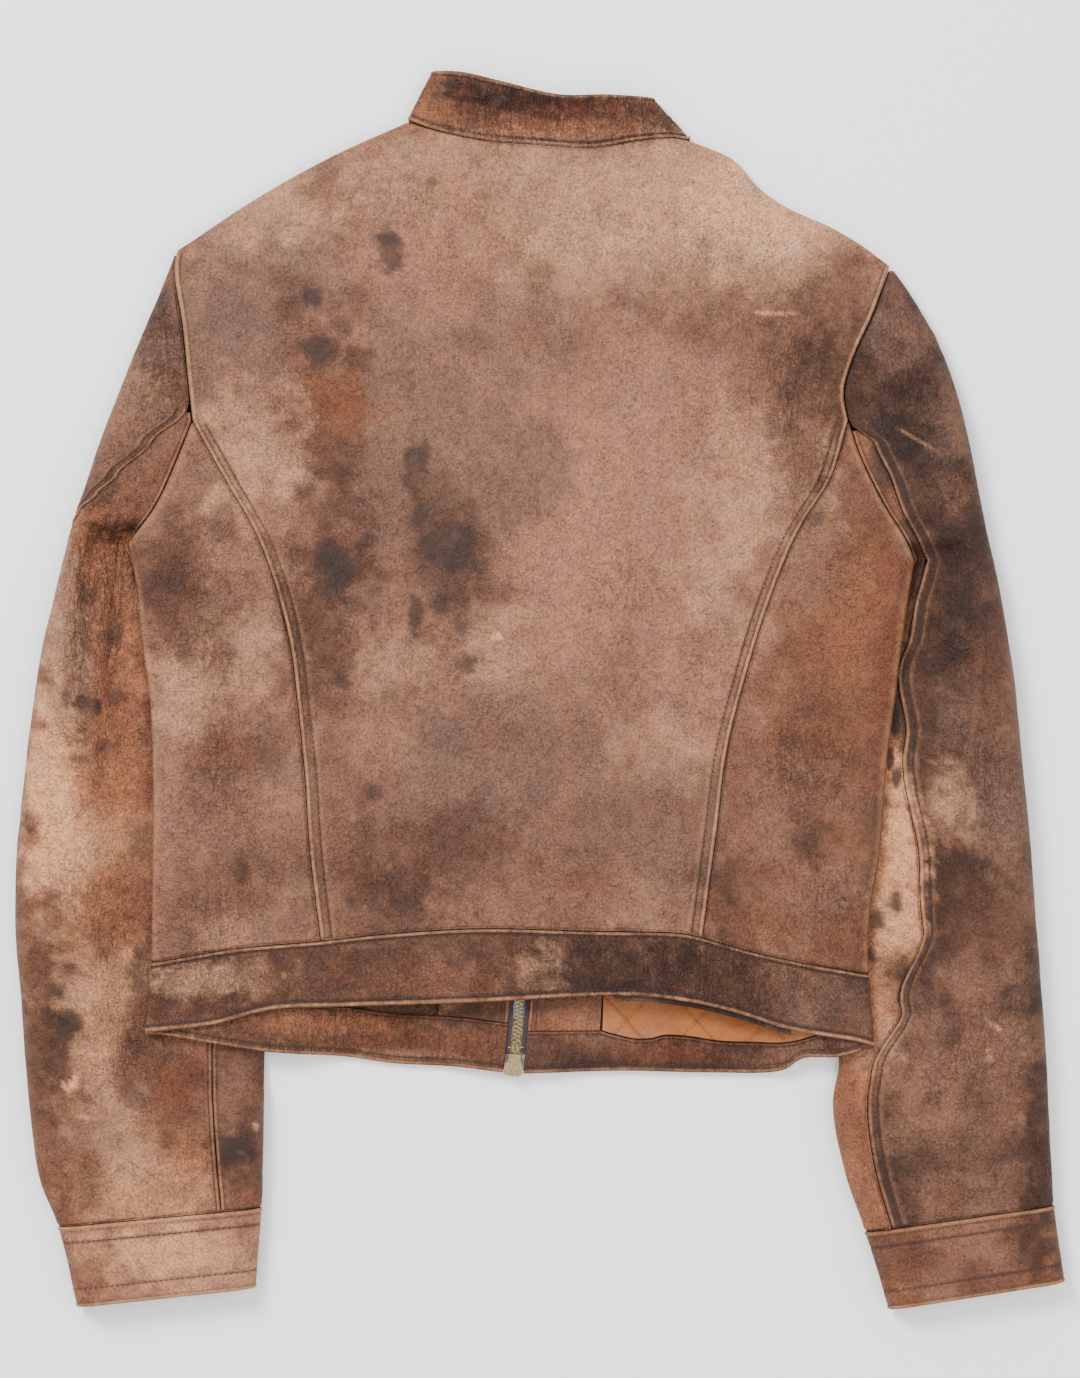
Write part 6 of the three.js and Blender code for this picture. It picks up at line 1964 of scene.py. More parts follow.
@dataclass
class Piece:
    """What every sub-assembly of cut pieces shares."""

    shells: ShellMaker
    finishes: dict[Cloth, Material]
    sewing: Stitching

    def dress(self, sheet: Sheet, cloth: Cloth = Cloth.LEATHER) -> None:
        """Builds a sheet and states how large it was cut.

        Args:
            sheet: The sheet.
            cloth: What it is cut from.
        """
        cad_node = sheet.name[len("hide_"):]
        piece = self.shells.build(sheet, self.finishes[cloth], cad_node, cloth.value)
        width, length, area = sheet.cut()
        LOG.info("%s: %d points, cut %.3f by %.3f m, %.4f m2", sheet.name, sheet.x.size, width, length, area)

    @staticmethod
    def masked(sheet: Sheet, effect: Callable[[Sheet], None], mask: Array) -> None:
        """Applies an effect only where a mask shows.

        Args:
            sheet: The sheet.
            effect: What is done to it.
            mask: How much of it shows, 0 to 1.
        """
        before = sheet.detail.copy(), sheet.pale.copy(), sheet.painted_shade.copy()
        effect(sheet)
        sheet.detail = mix(before[0], sheet.detail, mask)
        sheet.pale = mix(before[1], sheet.pale, mask)
        sheet.painted_shade = mix(before[2], sheet.painted_shade, mask)

    def sew(
        self, sheet: Sheet, edge: str, offset: float, keep: Callable[[Array], Array] | None = None,
    ) -> None:
        """Sews a row of stitches inside an edge.

        Args:
            sheet: The sheet.
            edge: The edge that the row follows.
            offset: How far inside it.
            keep: Which of the row's points are sewn.
        """
        points, normals = sheet.path(edge, offset)
        if keep is not None:
            held = keep(points)
            points, normals = points[held], normals[held]
        self.sewing.row(points, normals)


@dataclass
class Back(Piece):
    """Centre back, side backs, hem band and the facing that peeps out below it."""

    lap_stitch: float = 6.6
    lap_below: float = 160.0
    band_stitches: tuple[float, float] = (2.9, 3.9)
    facing_ends: tuple[float, float] = (44.0, 150.0)
    facing_rise: float = 24.0
    facing_drop: float = 3.0

    def _princess_row(self, sheet: Sheet, edge: str) -> None:
        """Sews the lap of a princess seam, below the armhole."""
        self.sew(sheet, edge, self.lap_stitch, lambda points: points[:, 1] < self.lap_below)

    def centre(self) -> None:
        """Centre back: lapped over the side backs, with worn armhole edges."""
        plan = plan_rows(
            BACK_LEFT.x_at, BACK_RIGHT.x_at,
            [(339.3, 327.8), (262.5, 253), (160, 160), (-150.3, -148.3)], TOP_STEP,
            top=lambda x: NECK_SEAM.y_at(x) - SEAM, bottom=lambda x: HEM_TOP.y_at(x) + SEAM,
        )
        sheet = Sheet("hide_back_centre", raised(plan, Form.back_outer))
        x, y = sheet.x, sheet.y
        soften(sheet)
        press(sheet, BACK_CREASES, BACK_FOLDS)
        for name in SIGN:
            away = sheet.arcs(name)
            along = np.broadcast_to(sheet.arcs("top"), away.shape)
            low = smooth((166 - y) / 10)
            middle = smooth((y - 158) / 8) * smooth((SHOULDER_TIP_Y[name] + 6 - y) / 8)
            self.masked(sheet, lambda s: lap(s, away, along), low)
            self.masked(sheet, lambda s: roll_edge(s, away, along, 1.5), middle)
            self.masked(sheet, lambda s: tuck(s, away, 0.5), smooth((y - SHOULDER_TIP_Y[name]) / 8))
        tuck(sheet, sheet.arcs("top"), 0.9)
        tuck(sheet, sheet.arcs("bottom"), 0.8)
        across_lines(sheet, [
            (-150, 50, 34, 110, 80, 5, 0.28), (-60, 120, 60, 60, 70, 6, 0.2), (150, 180, 30, 60, 65, 4, 0.32),
            (90, 270, 70, 20, 5, 4, 0.25), (-100, 290, 60, 20, -12, 4, 0.25), (60, -110, 60, 26, 10, 5, 0.3),
            (-90, -110, 40, 30, -15, 5, 0.3), (170, 130, 20, 30, 80, 4, 0.35), (10, -20, 80, 80, 25, 8, 0.14),
            (60, 60, 60, 60, -30, 9, 0.12), (-20, 290, 70, 16, 0, 3.5, 0.2),
        ])
        paint(sheet, Tone.BROWN, BACK_PATCHES)
        self._princess_row(sheet, "left")
        self._princess_row(sheet, "right")
        self.dress(sheet)

    def side(self, name: str) -> None:
        """A side back, tucked under the centre back and folded at the side.

        Args:
            name: The side, "left" or "right".
        """
        if name == "left":
            lines = (SIDE_LEFT.x_at, PRINCESS["left"].x_at)
            stops = [(158.6, 158.6), (86.5, 92), (-163.3, -150.5)]
            inner, outer = "right", "left"
        else:
            lines = (PRINCESS["right"].x_at, SIDE_RIGHT.x_at)
            stops = [(158.4, 158.4), (86, 76.5), (-148.5, -170.3)]
            inner, outer = "left", "right"
        plan = plan_rows(*lines, stops, TOP_STEP, bottom=lambda x: HEM_TOP.y_at(x) + SEAM)
        sheet = Sheet(f"hide_back_side_{name}", raised(plan, Form.back_outer))
        soften(sheet)
        press(sheet, BACK_CREASES, BACK_FOLDS)
        tuck(sheet, sheet.arcs(inner), 1.0)
        tuck(sheet, sheet.arcs("bottom"), 0.8)
        away = sheet.arcs(outer)
        # pale band inside the side fold: wear and a painted highlight; painted shade along the fold's rim
        sheet.pale += 0.3 * bell(away, 2.0, 2.0)
        sheet.painted_shade += 0.35 * bell(away, 0.0, 1.2)
        # patches of fine wrinkles, with painted shade along their lines
        wrinkle_patches = {
            "left": [
                (-205, 60, 26, 50, 20, 4, 0.4), (-190, -60, 24, 60, 70, 4.5, 0.35),
                (-200, -130, 30, 24, 5, 4, 0.4),
            ],
            "right": [
                (180, 60, 24, 60, 75, 4, 0.35), (150, -50, 30, 50, 10, 4, 0.4),
                (170, -130, 34, 30, 60, 4, 0.35),
            ],
        }
        across_lines(sheet, wrinkle_patches[name])
        paint(sheet, Tone.BROWN if name == "left" else Tone.CLAY, BACK_PATCHES)
        self.dress(sheet)

    def band(self) -> None:
        """Back hem band, stitched along both edges."""
        plan = band_plan(
            HEM_TOP.y_at, BACK_HEM.y_at,
            (float(SIDE["left"].x_at(-163.5)) + SEAM, SIDE["left"].last[0] + SEAM),
            (float(SIDE["right"].x_at(-170.5)) - SEAM, SIDE["right"].last[0] - SEAM), TOP_STEP * 0.8,
        )
        sheet = Sheet("hide_back_hem_band", raised(plan, Form.back_outer))
        x = sheet.x
        soften(sheet)
        top, bottom = sheet.arcs("top"), sheet.arcs("bottom")
        roll_edge(sheet, top, x, 1.1, 0.9)
        roll_edge(sheet, bottom, x, 1.4, 1.0)
        stitch_line(sheet, top, self.band_stitches[0])
        stitch_line(sheet, bottom, self.band_stitches[1])
        across_lines(sheet, [
            (x_at, -172, 34, 40, 90 + lean, spacing, depth) for x_at, lean, spacing, depth in (
                (-200, 10, 4, 0.3), (-140, -12, 4.5, 0.25), (-80, 15, 4, 0.35), (-20, -5, 4, 0.35),
                (40, 10, 3.6, 0.5), (80, -8, 3.2, 0.6), (125, 12, 4, 0.4), (175, -20, 4, 0.35),
            )
        ])
        paint(sheet, Tone.UMBER, BACK_PATCHES)
        self.sew(sheet, "top", self.band_stitches[0])
        self.sew(sheet, "bottom", self.band_stitches[1])
        self.dress(sheet)

    def band_facing(self) -> None:
        """Facing inside the back band, seen below its edge at the right."""
        first, last = self.facing_ends
        plan = band_plan(
            lambda x: BACK_HEM.y_at(x) + self.facing_rise, lambda x: BACK_HEM.y_at(x) - self.facing_drop,
            (first, first), (last, last), TOP_STEP,
        )
        drop = LEATHER + 1.5 * LAYER_GAP
        grid = raised(plan, lambda x, y: Form.back_outer(x, y) - drop)
        sheet = Sheet("hide_back_band_facing", grid, thickness=FACING)
        soften(sheet, 0.6)
        roll_edge(sheet, sheet.arcs("bottom"), sheet.x, 0.9, 0.0)
        paint(sheet, Tone.SLATE, [])
        self.dress(sheet, Cloth.FACING)

    def build(self) -> None:
        """Builds the whole back."""
        self.centre()
        self.side("left")
        self.side("right")
        self.band()
        self.band_facing()


@dataclass
class Fronts(Piece):
    """Fronts and their bands, which lie below, and the facings and lining inside them."""

    hem_depth: float = 38.0
    facing_depth: float = 30.0
    zip_stitch: float = 6.0
    band_stitches: tuple[float, float] = (3.2, 4.0)
    facing_stitches: tuple[float, float] = (4.2, 4.6)
    facing_step: float = 1.8
    strip_end: float = -204.8
    zip_facing_top: float = 268.0
    quilt: float = 42.0

    def _hem_top(self, name: str, depth: float) -> Callable[[Array], Array]:
        """Line at a depth above a front's hem."""
        return lambda x: FRONT_HEM[name].y_at(x) + depth

    def panel(self, name: str) -> None:
        """A front, outer face down.

        Args:
            name: The side, "left" or "right".
        """
        sign = SIGN[name]

        def side(y: Array) -> Array:
            """Outer edge, drawn in at the armhole."""
            inset = np.where((y > ARMPIT_Y[name]) & (y < SHOULDER_TIP_Y[name]), ARMHOLE_INSET, 0)
            return (BODY_LEFT if sign < 0 else BODY_RIGHT).x_at(y) - sign * inset

        def middle(y: Array) -> Array:
            """Edge at the neck and the zip."""
            return np.where(y > 275, FRONT_NECK[name].x_at(y), zip_edge(sign, y))

        shared = [(160, 160), (ARMPIT_Y[name], ARMPIT_Y[name]), (20, 20)]
        stops = {
            "left": [(335, 335.5), (268, 279), (262.5, 275), *shared, (-167.8, -191)],
            "right": [(324.5, 325), (279, 259), (275, 253), *shared, (-191.5, -176)],
        }[name]
        left, right = (side, middle) if sign < 0 else (middle, side)
        plan = plan_rows(
            left, right, stops, UNDER_STEP, bottom=self._hem_top(name, self.hem_depth + SEAM), reach=40,
        )
        sheet = Sheet(f"hide_front_{name}", raised(plan, Form.front_outer), flip=True)
        soften(sheet, 0.7)
        for edge in ("left", "right", "top", "bottom"):
            tuck(sheet, sheet.arcs(edge), 0.5)
        zip_side = "right" if sign < 0 else "left"
        stitch_line(sheet, sheet.arcs(zip_side), self.zip_stitch)
        sheet.upper[:] = 0
        paint(sheet, Tone.BROWN, [])
        self.sew(sheet, zip_side, self.zip_stitch)
        self.dress(sheet)

    def band_of(self, name: str) -> None:
        """The hem band of a front.

        Args:
            name: The side, "left" or "right".
        """
        sign = SIGN[name]
        if sign < 0:
            from_x = (float(SIDE["left"].x_at(-168)) + SEAM, SIDE["left"].last[0] + SEAM)
            to_x = (float(zip_edge(-1, -191)) - SEAM, float(zip_edge(-1, -230)) - SEAM)
        else:
            from_x = (float(zip_edge(1, -191)) + SEAM, float(zip_edge(1, -230)) + SEAM)
            to_x = (float(SIDE["right"].x_at(-176)) - SEAM, SIDE["right"].last[0] - SEAM)
        plan = band_plan(self._hem_top(name, self.hem_depth), FRONT_HEM[name].y_at, from_x, to_x, 2.6)
        sheet = Sheet(f"hide_front_band_{name}", raised(plan, Form.front_outer), flip=True)
        soften(sheet, 0.7)
        roll_edge(sheet, sheet.arcs("top"), sheet.x, 1.2, 0.8)
        roll_edge(sheet, sheet.arcs("bottom"), sheet.x, 1.3, 0.8)
        for edge, offset in zip(("top", "bottom"), self.band_stitches):
            stitch_line(sheet, sheet.arcs(edge), offset)
        sheet.upper[:] = 0
        paint(sheet, Tone.UMBER, [])
        for edge, offset in zip(("top", "bottom"), self.band_stitches):
            self.sew(sheet, edge, offset)
        self.dress(sheet)

    @staticmethod
    def _facing_face(x: Array, y: Array) -> Array:
        """Face of a facing that looks up."""
        return Form.on_front(x, y) + FACING

    def _right_facing_top(self, x: Array) -> Array:
        """Upper edge of the right hem facing, level at the zip and along the lining beyond."""
        return np.where(x < LINING_EDGE.first[0], self.strip_end, LINING_EDGE.y_at(x))

    def hem_facings(self) -> None:
        """Hem facings, whose inner face looks up below the back."""
        plans = {
            "hem_facing_left": band_plan(
                self._hem_top("left", self.facing_depth), self._hem_top("left", SEAM),
                (SIDE["left"].last[0] + 7,) * 2, (float(zip_edge(-1, -199)), float(zip_edge(-1, -230))),
                self.facing_step,
            ),
            "hem_facing_right": band_plan(
                self._right_facing_top, self._hem_top("right", SEAM),
                (float(zip_edge(1, -205)), float(zip_edge(1, -230))), (190, 192), self.facing_step,
            ),
        }
        for label, plan in plans.items():
            sheet = Sheet(f"hide_{label}", raised(plan, self._facing_face), thickness=FACING)
            x = sheet.x
            soften(sheet, 0.8)
            roll_edge(sheet, sheet.arcs("bottom"), x, 1.2, 0.7)
            stitch_line(sheet, sheet.arcs("bottom"), self.facing_stitches[0])
            roll_edge(sheet, sheet.arcs("top"), x, 0.8, 0.25)
            wave = np.sin(x * 2 * math.pi / 5.2 + 3 * WARP_X.at(x / 20, x * 0))
            puckers = wave * bell(sheet.arcs("bottom"), 12, 6)
            sheet.detail += 0.3 * puckers
            sheet.crinkle += 0.5
            # painted shade over the puckers
            sheet.painted_shade += np.clip(0.2 * puckers, 0, 1)
            paint(sheet, Tone.CLAY if "left" in label else Tone.UMBER, INSIDE_PATCHES)
            self.sew(sheet, "bottom", self.facing_stitches[0])
            self.dress(sheet, Cloth.FACING)

    def zip_facings(self) -> None:
        """Facings beside the zip, from the neck down to the hem facings."""
        for name, sign, width, end in (("left", -1, 42, None), ("right", 1, 43, self.strip_end + SEAM)):
            down = places(470, UNDER_STEP)[:, None] / 470
            share = places(width, TOP_STEP)[None, :] / width
            share = 1 - share if sign < 0 else share
            x_end = zip_edge(sign, -200) + sign * width * share
            meets = self._hem_top("left", self.facing_depth)(x_end) + 2 * SEAM
            last = meets if end is None else end + 0 * x_end
            y = mix(self.zip_facing_top, last, down)
            x = zip_edge(sign, y) + sign * width * share
            sheet = Sheet(f"hide_zip_facing_{name}", raised((x, y), self._facing_face), thickness=FACING)
            soften(sheet, 0.5)
            zip_side = "right" if sign < 0 else "left"
            roll_edge(sheet, sheet.arcs(zip_side), y, 1.0, 0.6)
            stitch_line(sheet, sheet.arcs(zip_side), self.facing_stitches[1])
            paint(sheet, Tone.CLAY, INSIDE_PATCHES)
            self.sew(sheet, zip_side, self.facing_stitches[1], lambda points: points[:, 1] < -150)
            self.dress(sheet, Cloth.FACING)

    def lining(self) -> None:
        """The stretch of quilted lining above the right facing."""
        plan = band_plan(
            lambda x: -150 + 0 * x, lambda x: LINING_EDGE.y_at(x) + 3 * SEAM, (38.8, 37.5), (186, 186),
            self.facing_step,
        )
        grid = raised(plan, lambda x, y: Form.on_front(x, y) + LINING)
        sheet = Sheet("hide_lining_right", grid, thickness=LINING)
        x, y = sheet.x, sheet.y
        for slope, offset in ((-0.9, 0), (0.9, 22)):
            phase = np.abs(((x + slope * y + offset) % self.quilt) - self.quilt / 2)
            sheet.detail += -0.5 * bell(phase, 0, 1.4)
            # painted shade along the quilting grooves
            sheet.painted_shade += 0.5 * bell(phase, 0, 0.8)
        sheet.detail += 0.25 * SWELL.layered(x, y, 18, 3)
        paint(sheet, Tone.LINING, [])
        self.dress(sheet, Cloth.LINING)

    def build(self) -> None:
        """Builds both fronts and what is inside them."""
        for name in SIGN:
            self.panel(name)
            self.band_of(name)
        self.hem_facings()
        self.zip_facings()
        self.lining()


@dataclass
class Sleeves(Piece):
    """Two-piece sleeves with cuffs, rolled round a flattened tube."""

    top_step: float = 2.5
    under_step: float = 2.2
    seam_stitch: float = 6.0
    cuff_depth: float = 48.0
    cuff_step: float = 1.8
    cuff_around: int = 124
    cuff_stitches: tuple[float, float] = (9.6, 11.0)

    @staticmethod
    def turn_on(seam: list[tuple[float, float]], y: float) -> float:
        """Turn of a seam at a height on the plan.

        Args:
            seam: Heights and turns along it, from its top.
            y: The height.

        Returns:
            The turn.
        """
        if y >= seam[0][0]:
            return seam[0][1]
        for (high, first), (low, second) in zip(seam[:-1], seam[1:]):
            if y >= low:
                return float(mix(first, second, smooth((high - y) / (high - low))))
        return seam[-1][1]

    @staticmethod
    def points(name: str, inner_y: Array, outer_y: Array, turn: Array) -> tuple[Array, Array]:
        """Points of the tube, and how far each is upper.

        Args:
            name: The side, "left" or "right".
            inner_y: Heights at the inner edge.
            outer_y: Heights at the outer edge.
            turn: Turns round the tube, 1 for each face.

        Returns:
            The points and their shares.
        """
        past = np.where(turn > 2, turn - 2, turn)
        place = np.where(past < 0, past + 2, past)
        share = (1 - np.cos(math.pi * place)) / 2
        x = mix(INNER_LINE[name].x_at(inner_y) + SIGN[name] * SEAM, SLEEVE_OUTER[name].x_at(outer_y), share)
        y = mix(inner_y, outer_y, share)
        upper, lower, _ = Form.sleeve_shape(name, x, y)
        return np.stack([x, y, np.where(place <= 1, upper, lower)], -1), np.where(place <= 1, 1.0, 0.0)

    def strip(
        self, name: str, rows: Array, start: Callable, end: Callable, step: float,
    ) -> tuple[Array, Array]:
        """A panel between two seams, its columns spaced evenly along the cloth.

        Args:
            name: The side, "left" or "right".
            rows: Heights of its rows.
            start: Turn of its first seam at a height.
            end: Turn of its last seam at a height.
            step: About the distance between points.

        Returns:
            The points, and how far each is upper.
        """
        slant = CUFF_SEAM[name][1] - CUFF_SEAM[name][0]
        outer_rows = rows + slant * smooth((-150 - rows) / 160)
        starts = np.array([start(y) for y in rows])[:, None]
        ends = np.array([end(y) for y in rows])[:, None]
        turns = mix(starts, ends, np.linspace(0, 1, 421)[None, :])
        dense, upper = self.points(name, rows[:, None] + 0 * turns, outer_rows[:, None] + 0 * turns, turns)
        steps = np.linalg.norm(np.diff(dense, axis=1), axis=2)
        arcs = np.concatenate([np.zeros((len(rows), 1)), np.cumsum(steps, 1)], 1)
        widest = float(np.median(arcs[:, -1]))
        nominal = places(widest, step)
        near = sum(1 for d in EDGE_STEPS if d < widest / 2 - step)
        grid = np.zeros((len(rows), len(nominal), 3))
        faces = np.zeros((len(rows), len(nominal)))
        for index, y in enumerate(rows):
            gap = 3 * SEAM if abs(y - ARMPIT_Y[name]) < 1 else SEAM
            total = arcs[index, -1] - 2 * gap
            tight = min(1.0, total / 60)
            fixed = nominal[: near + 1] * tight
            middle = (nominal[near:-near or None] - nominal[near]) / (nominal[-near - 1] - nominal[near])
            inner = fixed[-1] + middle * (total - 2 * fixed[-1])
            distance = gap + np.concatenate([fixed[:-1], inner, (total - fixed[::-1])[1:]])
            for axis in range(3):
                grid[index, :, axis] = np.interp(distance, arcs[index], dense[index, :, axis])
            faces[index] = np.interp(distance, arcs[index], upper[index])
        return grid, faces

    def side(self, name: str) -> None:
        """Both panels and the cuff of a sleeve.

        Args:
            name: The side, "left" or "right".
        """
        def hind(y: float) -> float:
            """Turn of the hind seam."""
            return self.turn_on(HIND_SEAM[name], y)

        def fore(y: float) -> float:
            """Turn of the fore seam."""
            return self.turn_on(FORE_SEAM[name], y)

        flip = SIGN[name] < 0
        patches = LEFT_PATCHES if flip else RIGHT_PATCHES
        low = CUFF_SEAM[name][0] + SEAM
        rows = SHOULDER_TIP_Y[name] - 3 - places(SHOULDER_TIP_Y[name] - 3 - low, TOP_STEP)
        grid, upper = self.strip(name, rows, hind, lambda y: 2 + fore(y), self.top_step)
        top = Sheet(f"hide_sleeve_{name}_top", grid, flip=flip)
        top.upper = upper
        self._top(name, top, patches)
        rows = UNDER_TOP[name] - places(UNDER_TOP[name] - low, TOP_STEP)
        grid, upper = self.strip(name, rows, fore, hind, self.under_step)
        under = Sheet(f"hide_sleeve_{name}_under", grid, flip=flip)
        under.upper = upper
        self._under(name, under, patches)
        self._cuff(name, patches)

    def _top(self, name: str, sheet: Sheet, patches: list[Patch]) -> None:
        """Dresses a top sleeve, lapped over the under sleeve at its hind seam.

        Args:
            name: Which sleeve.
            sheet: Its sheet.
            patches: What colours it.
        """
        x, y = sheet.x, sheet.y
        soften(sheet)
        press(sheet, SLEEVE_CREASES[name], SLEEVE_FOLDS[name])
        hind = sheet.arcs("left")
        along = y + 0 * hind
        seamed = smooth((HIND_SEAM[name][0][0] - 6 - y) / 10)
        self.masked(sheet, lambda s: lap(s, hind, along, self.seam_stitch, 0.7), seamed)
        self.masked(sheet, lambda s: tuck(s, hind, 1.0), 1 - seamed)
        roll_edge(sheet, sheet.arcs("right"), y, 1.2, 0.5)
        tuck(sheet, sheet.arcs("bottom"), 1.0)
        lines = {
            "left": [(-225, 200, 20, 60, 70, 4, 0.4), (-250, 120, 24, 30, 60, 4, 0.4)],
            "right": [
                (222, 180, 24, 40, 100, 4, 0.45), (238, 110, 24, 30, 120, 4.5, 0.4),
                (250, 20, 26, 50, 95, 4, 0.4), (265, -60, 26, 40, 20, 4.5, 0.35),
                (270, -150, 26, 40, 5, 4.5, 0.4), (250, -230, 50, 30, 10, 5, 0.35),
                (240, -290, 50, 26, -10, 5, 0.35),
            ],
        }
        across_lines(sheet, lines[name])
        paint(sheet, Tone.UMBER if name == "left" else Tone.COCOA, patches)
        reach = HIND_SEAM[name][0][0] - 8
        self.sew(sheet, "left", self.seam_stitch, lambda points: points[:, 1] < reach)
        self.dress(sheet)

    def _under(self, name: str, sheet: Sheet, patches: list[Patch]) -> None:
        """Dresses an under sleeve.

        Args:
            name: Which sleeve.
            sheet: Its sheet.
            patches: What colours it.
        """
        x, y = sheet.x, sheet.y
        soften(sheet)
        press(sheet, SLEEVE_CREASES[name], SLEEVE_FOLDS[name])
        roll_edge(sheet, sheet.arcs("left"), y, 1.1, 0.5)
        tuck(sheet, sheet.arcs("right"), 1.0)
        tuck(sheet, sheet.arcs("top"), 0.6)
        tuck(sheet, sheet.arcs("bottom"), 1.0)
        if name == "left":
            across_lines(sheet, [
                (-262, 90, 26, 34, 60, 3.6, 0.7), (-268, 30, 26, 40, 85, 4, 0.5),
                (-276, -40, 28, 40, 75, 4.5, 0.4), (-270, -130, 36, 40, 20, 5, 0.4),
                (-250, -220, 44, 30, -15, 4.5, 0.4), (-220, -285, 50, 24, 8, 5, 0.35),
            ])
        base = Tone.CLAY if name == "left" else Tone.EMBER
        paint(sheet, base, patches)
        self.dress(sheet)

    def _cuff(self, name: str, patches: list[Patch]) -> None:
        """Builds a cuff, closed round the wrist.

        Args:
            name: Which cuff.
            patches: What colours it.
        """
        seam, edge = CUFF_SEAM[name], CUFF_EDGE[name]
        down = places(self.cuff_depth, self.cuff_step)[:, None] / self.cuff_depth
        inner_y = mix(seam[0] - SEAM, edge[0], down)
        outer_y = mix(seam[1] - SEAM, edge[1], down)
        turns = (2 * np.arange(self.cuff_around) / self.cuff_around)[None, :] + 0 * inner_y
        grid, upper = self.points(name, inner_y + 0 * turns, outer_y + 0 * turns, turns)
        sheet = Sheet(f"hide_cuff_{name}", grid, flip=SIGN[name] < 0, closed=True)
        sheet.upper = upper
        soften(sheet)
        top, bottom = sheet.arcs("top"), sheet.arcs("bottom")
        roll_edge(sheet, top, sheet.x, 1.3, 0.8)
        roll_edge(sheet, bottom, sheet.x, 1.2, 0.9)
        stitch_line(sheet, top, self.cuff_stitches[0])
        stitch_line(sheet, bottom, self.cuff_stitches[1])
        paint(sheet, Tone.ROSE if name == "left" else Tone.CLAY, patches)
        self.sew(sheet, "top", self.cuff_stitches[0])
        self.sew(sheet, "bottom", self.cuff_stitches[1])
        self.dress(sheet)

    def build(self) -> None:
        """Builds both sleeves."""
        self.side("left")
        self.side("right")


@dataclass
class Collar(Piece):
    """Stand collar round the neck, folded over at both ends."""

    stitch: float = 3.4
    around: tuple[float, float] = (110.0, 180.0)
    depth: float = 30.0
    eased_steps: int = 16

    def _outline(self) -> tuple[Array, Array, Array, Array]:
        """Goes round the collar from one end to the other.

        Returns:
            Points on the neck line, points on the top line, how far each is upper and how far drawn in.
        """
        front = places(self.around[0], TOP_STEP, fine=False) / self.around[0]
        back = places(self.around[1], 1.6, fine=False) / self.around[1]
        ease = np.sin(math.pi / 2 * front[:-1])
        share = (1 - np.cos(math.pi * back)) / 2
        neck_x = mix(NECK_SEAM.first[0], NECK_SEAM.last[0], share)
        top_x = mix(COLLAR_TOP.first[0], COLLAR_TOP.last[0], share)
        past = np.minimum(back, 1 - back) * self.eased_steps
        stretches = (
            (FRONT_NECK["left"].point_at(ease), COLLAR_TOP_FRONT["left"].point_at(ease), 0.0, 1 + 0 * ease),
            (
                np.stack([neck_x, NECK_SEAM.y_at(neck_x) + SEAM], -1),
                np.stack([top_x, COLLAR_TOP.y_at(top_x)], -1), 1.0, 1 - np.clip(past / 3, 0, 1),
            ),
            (
                FRONT_NECK["right"].point_at(ease[::-1]), COLLAR_TOP_FRONT["right"].point_at(ease[::-1]), 0.0,
                1 + 0 * ease,
            ),
        )
        neck, top, drawn = (np.concatenate([stretch[i] for stretch in stretches]) for i in (0, 1, 3))
        upper = np.concatenate([np.full(len(line), share) for line, _, share, _ in stretches])
        return neck, top, upper, drawn

    def build(self) -> None:
        """Builds the collar strip."""
        neck_xy, top_xy, is_upper, drawn = self._outline()
        across = places(self.depth, 1.2)[None, :] / self.depth
        x = mix(neck_xy[:, :1], top_xy[:, :1], across)
        y = mix(neck_xy[:, 1:], top_xy[:, 1:], across)
        height = np.where(is_upper[:, None] > 0.5, Form.collar(x, y, True), Form.collar(x, y, False))
        grid = np.stack([x, y, height], -1)
        lean = grid[:, -1] - grid[:, 0]
        lean /= np.linalg.norm(lean, axis=1, keepdims=True)
        grid = grid + lean[:, None, :] * (NECK_INSET * drawn)[:, None, None] * (1 - across[..., None])
        sheet = Sheet("hide_collar", grid, thickness=COLLAR_WALL)
        sheet.upper = np.broadcast_to(is_upper[:, None], x.shape).copy()
        soften(sheet)
        press(sheet, COLLAR_CREASES, [])
        near_neck, near_top = sheet.arcs("left"), sheet.arcs("right")
        roll_edge(sheet, near_neck, sheet.x, 1.1, 0.5)
        roll_edge(sheet, near_top, sheet.x, 1.3, 0.7)
        stitch_line(sheet, near_neck, self.stitch)
        across_lines(sheet, [
            (centre, 345, 26, 40, 90 + lean_at, spacing, depth) for centre, lean_at, spacing, depth in (
                (-50, 20, 4, 0.6), (-20, -10, 4, 0.5), (10, 8, 3.6, 0.6), (40, -12, 4, 0.5),
                (70, -30, 4, 0.5),
            )
        ])
        paint(sheet, Tone.CLAY, BACK_PATCHES)
        self.sew(sheet, "left", self.stitch)
        self.dress(sheet)


BAR_CORNERS = ((-1, -0.6), (-0.7, -1), (0.7, -1), (1, -0.6), (1, 0.6), (0.7, 1), (-0.7, 1), (-1, 0.6))


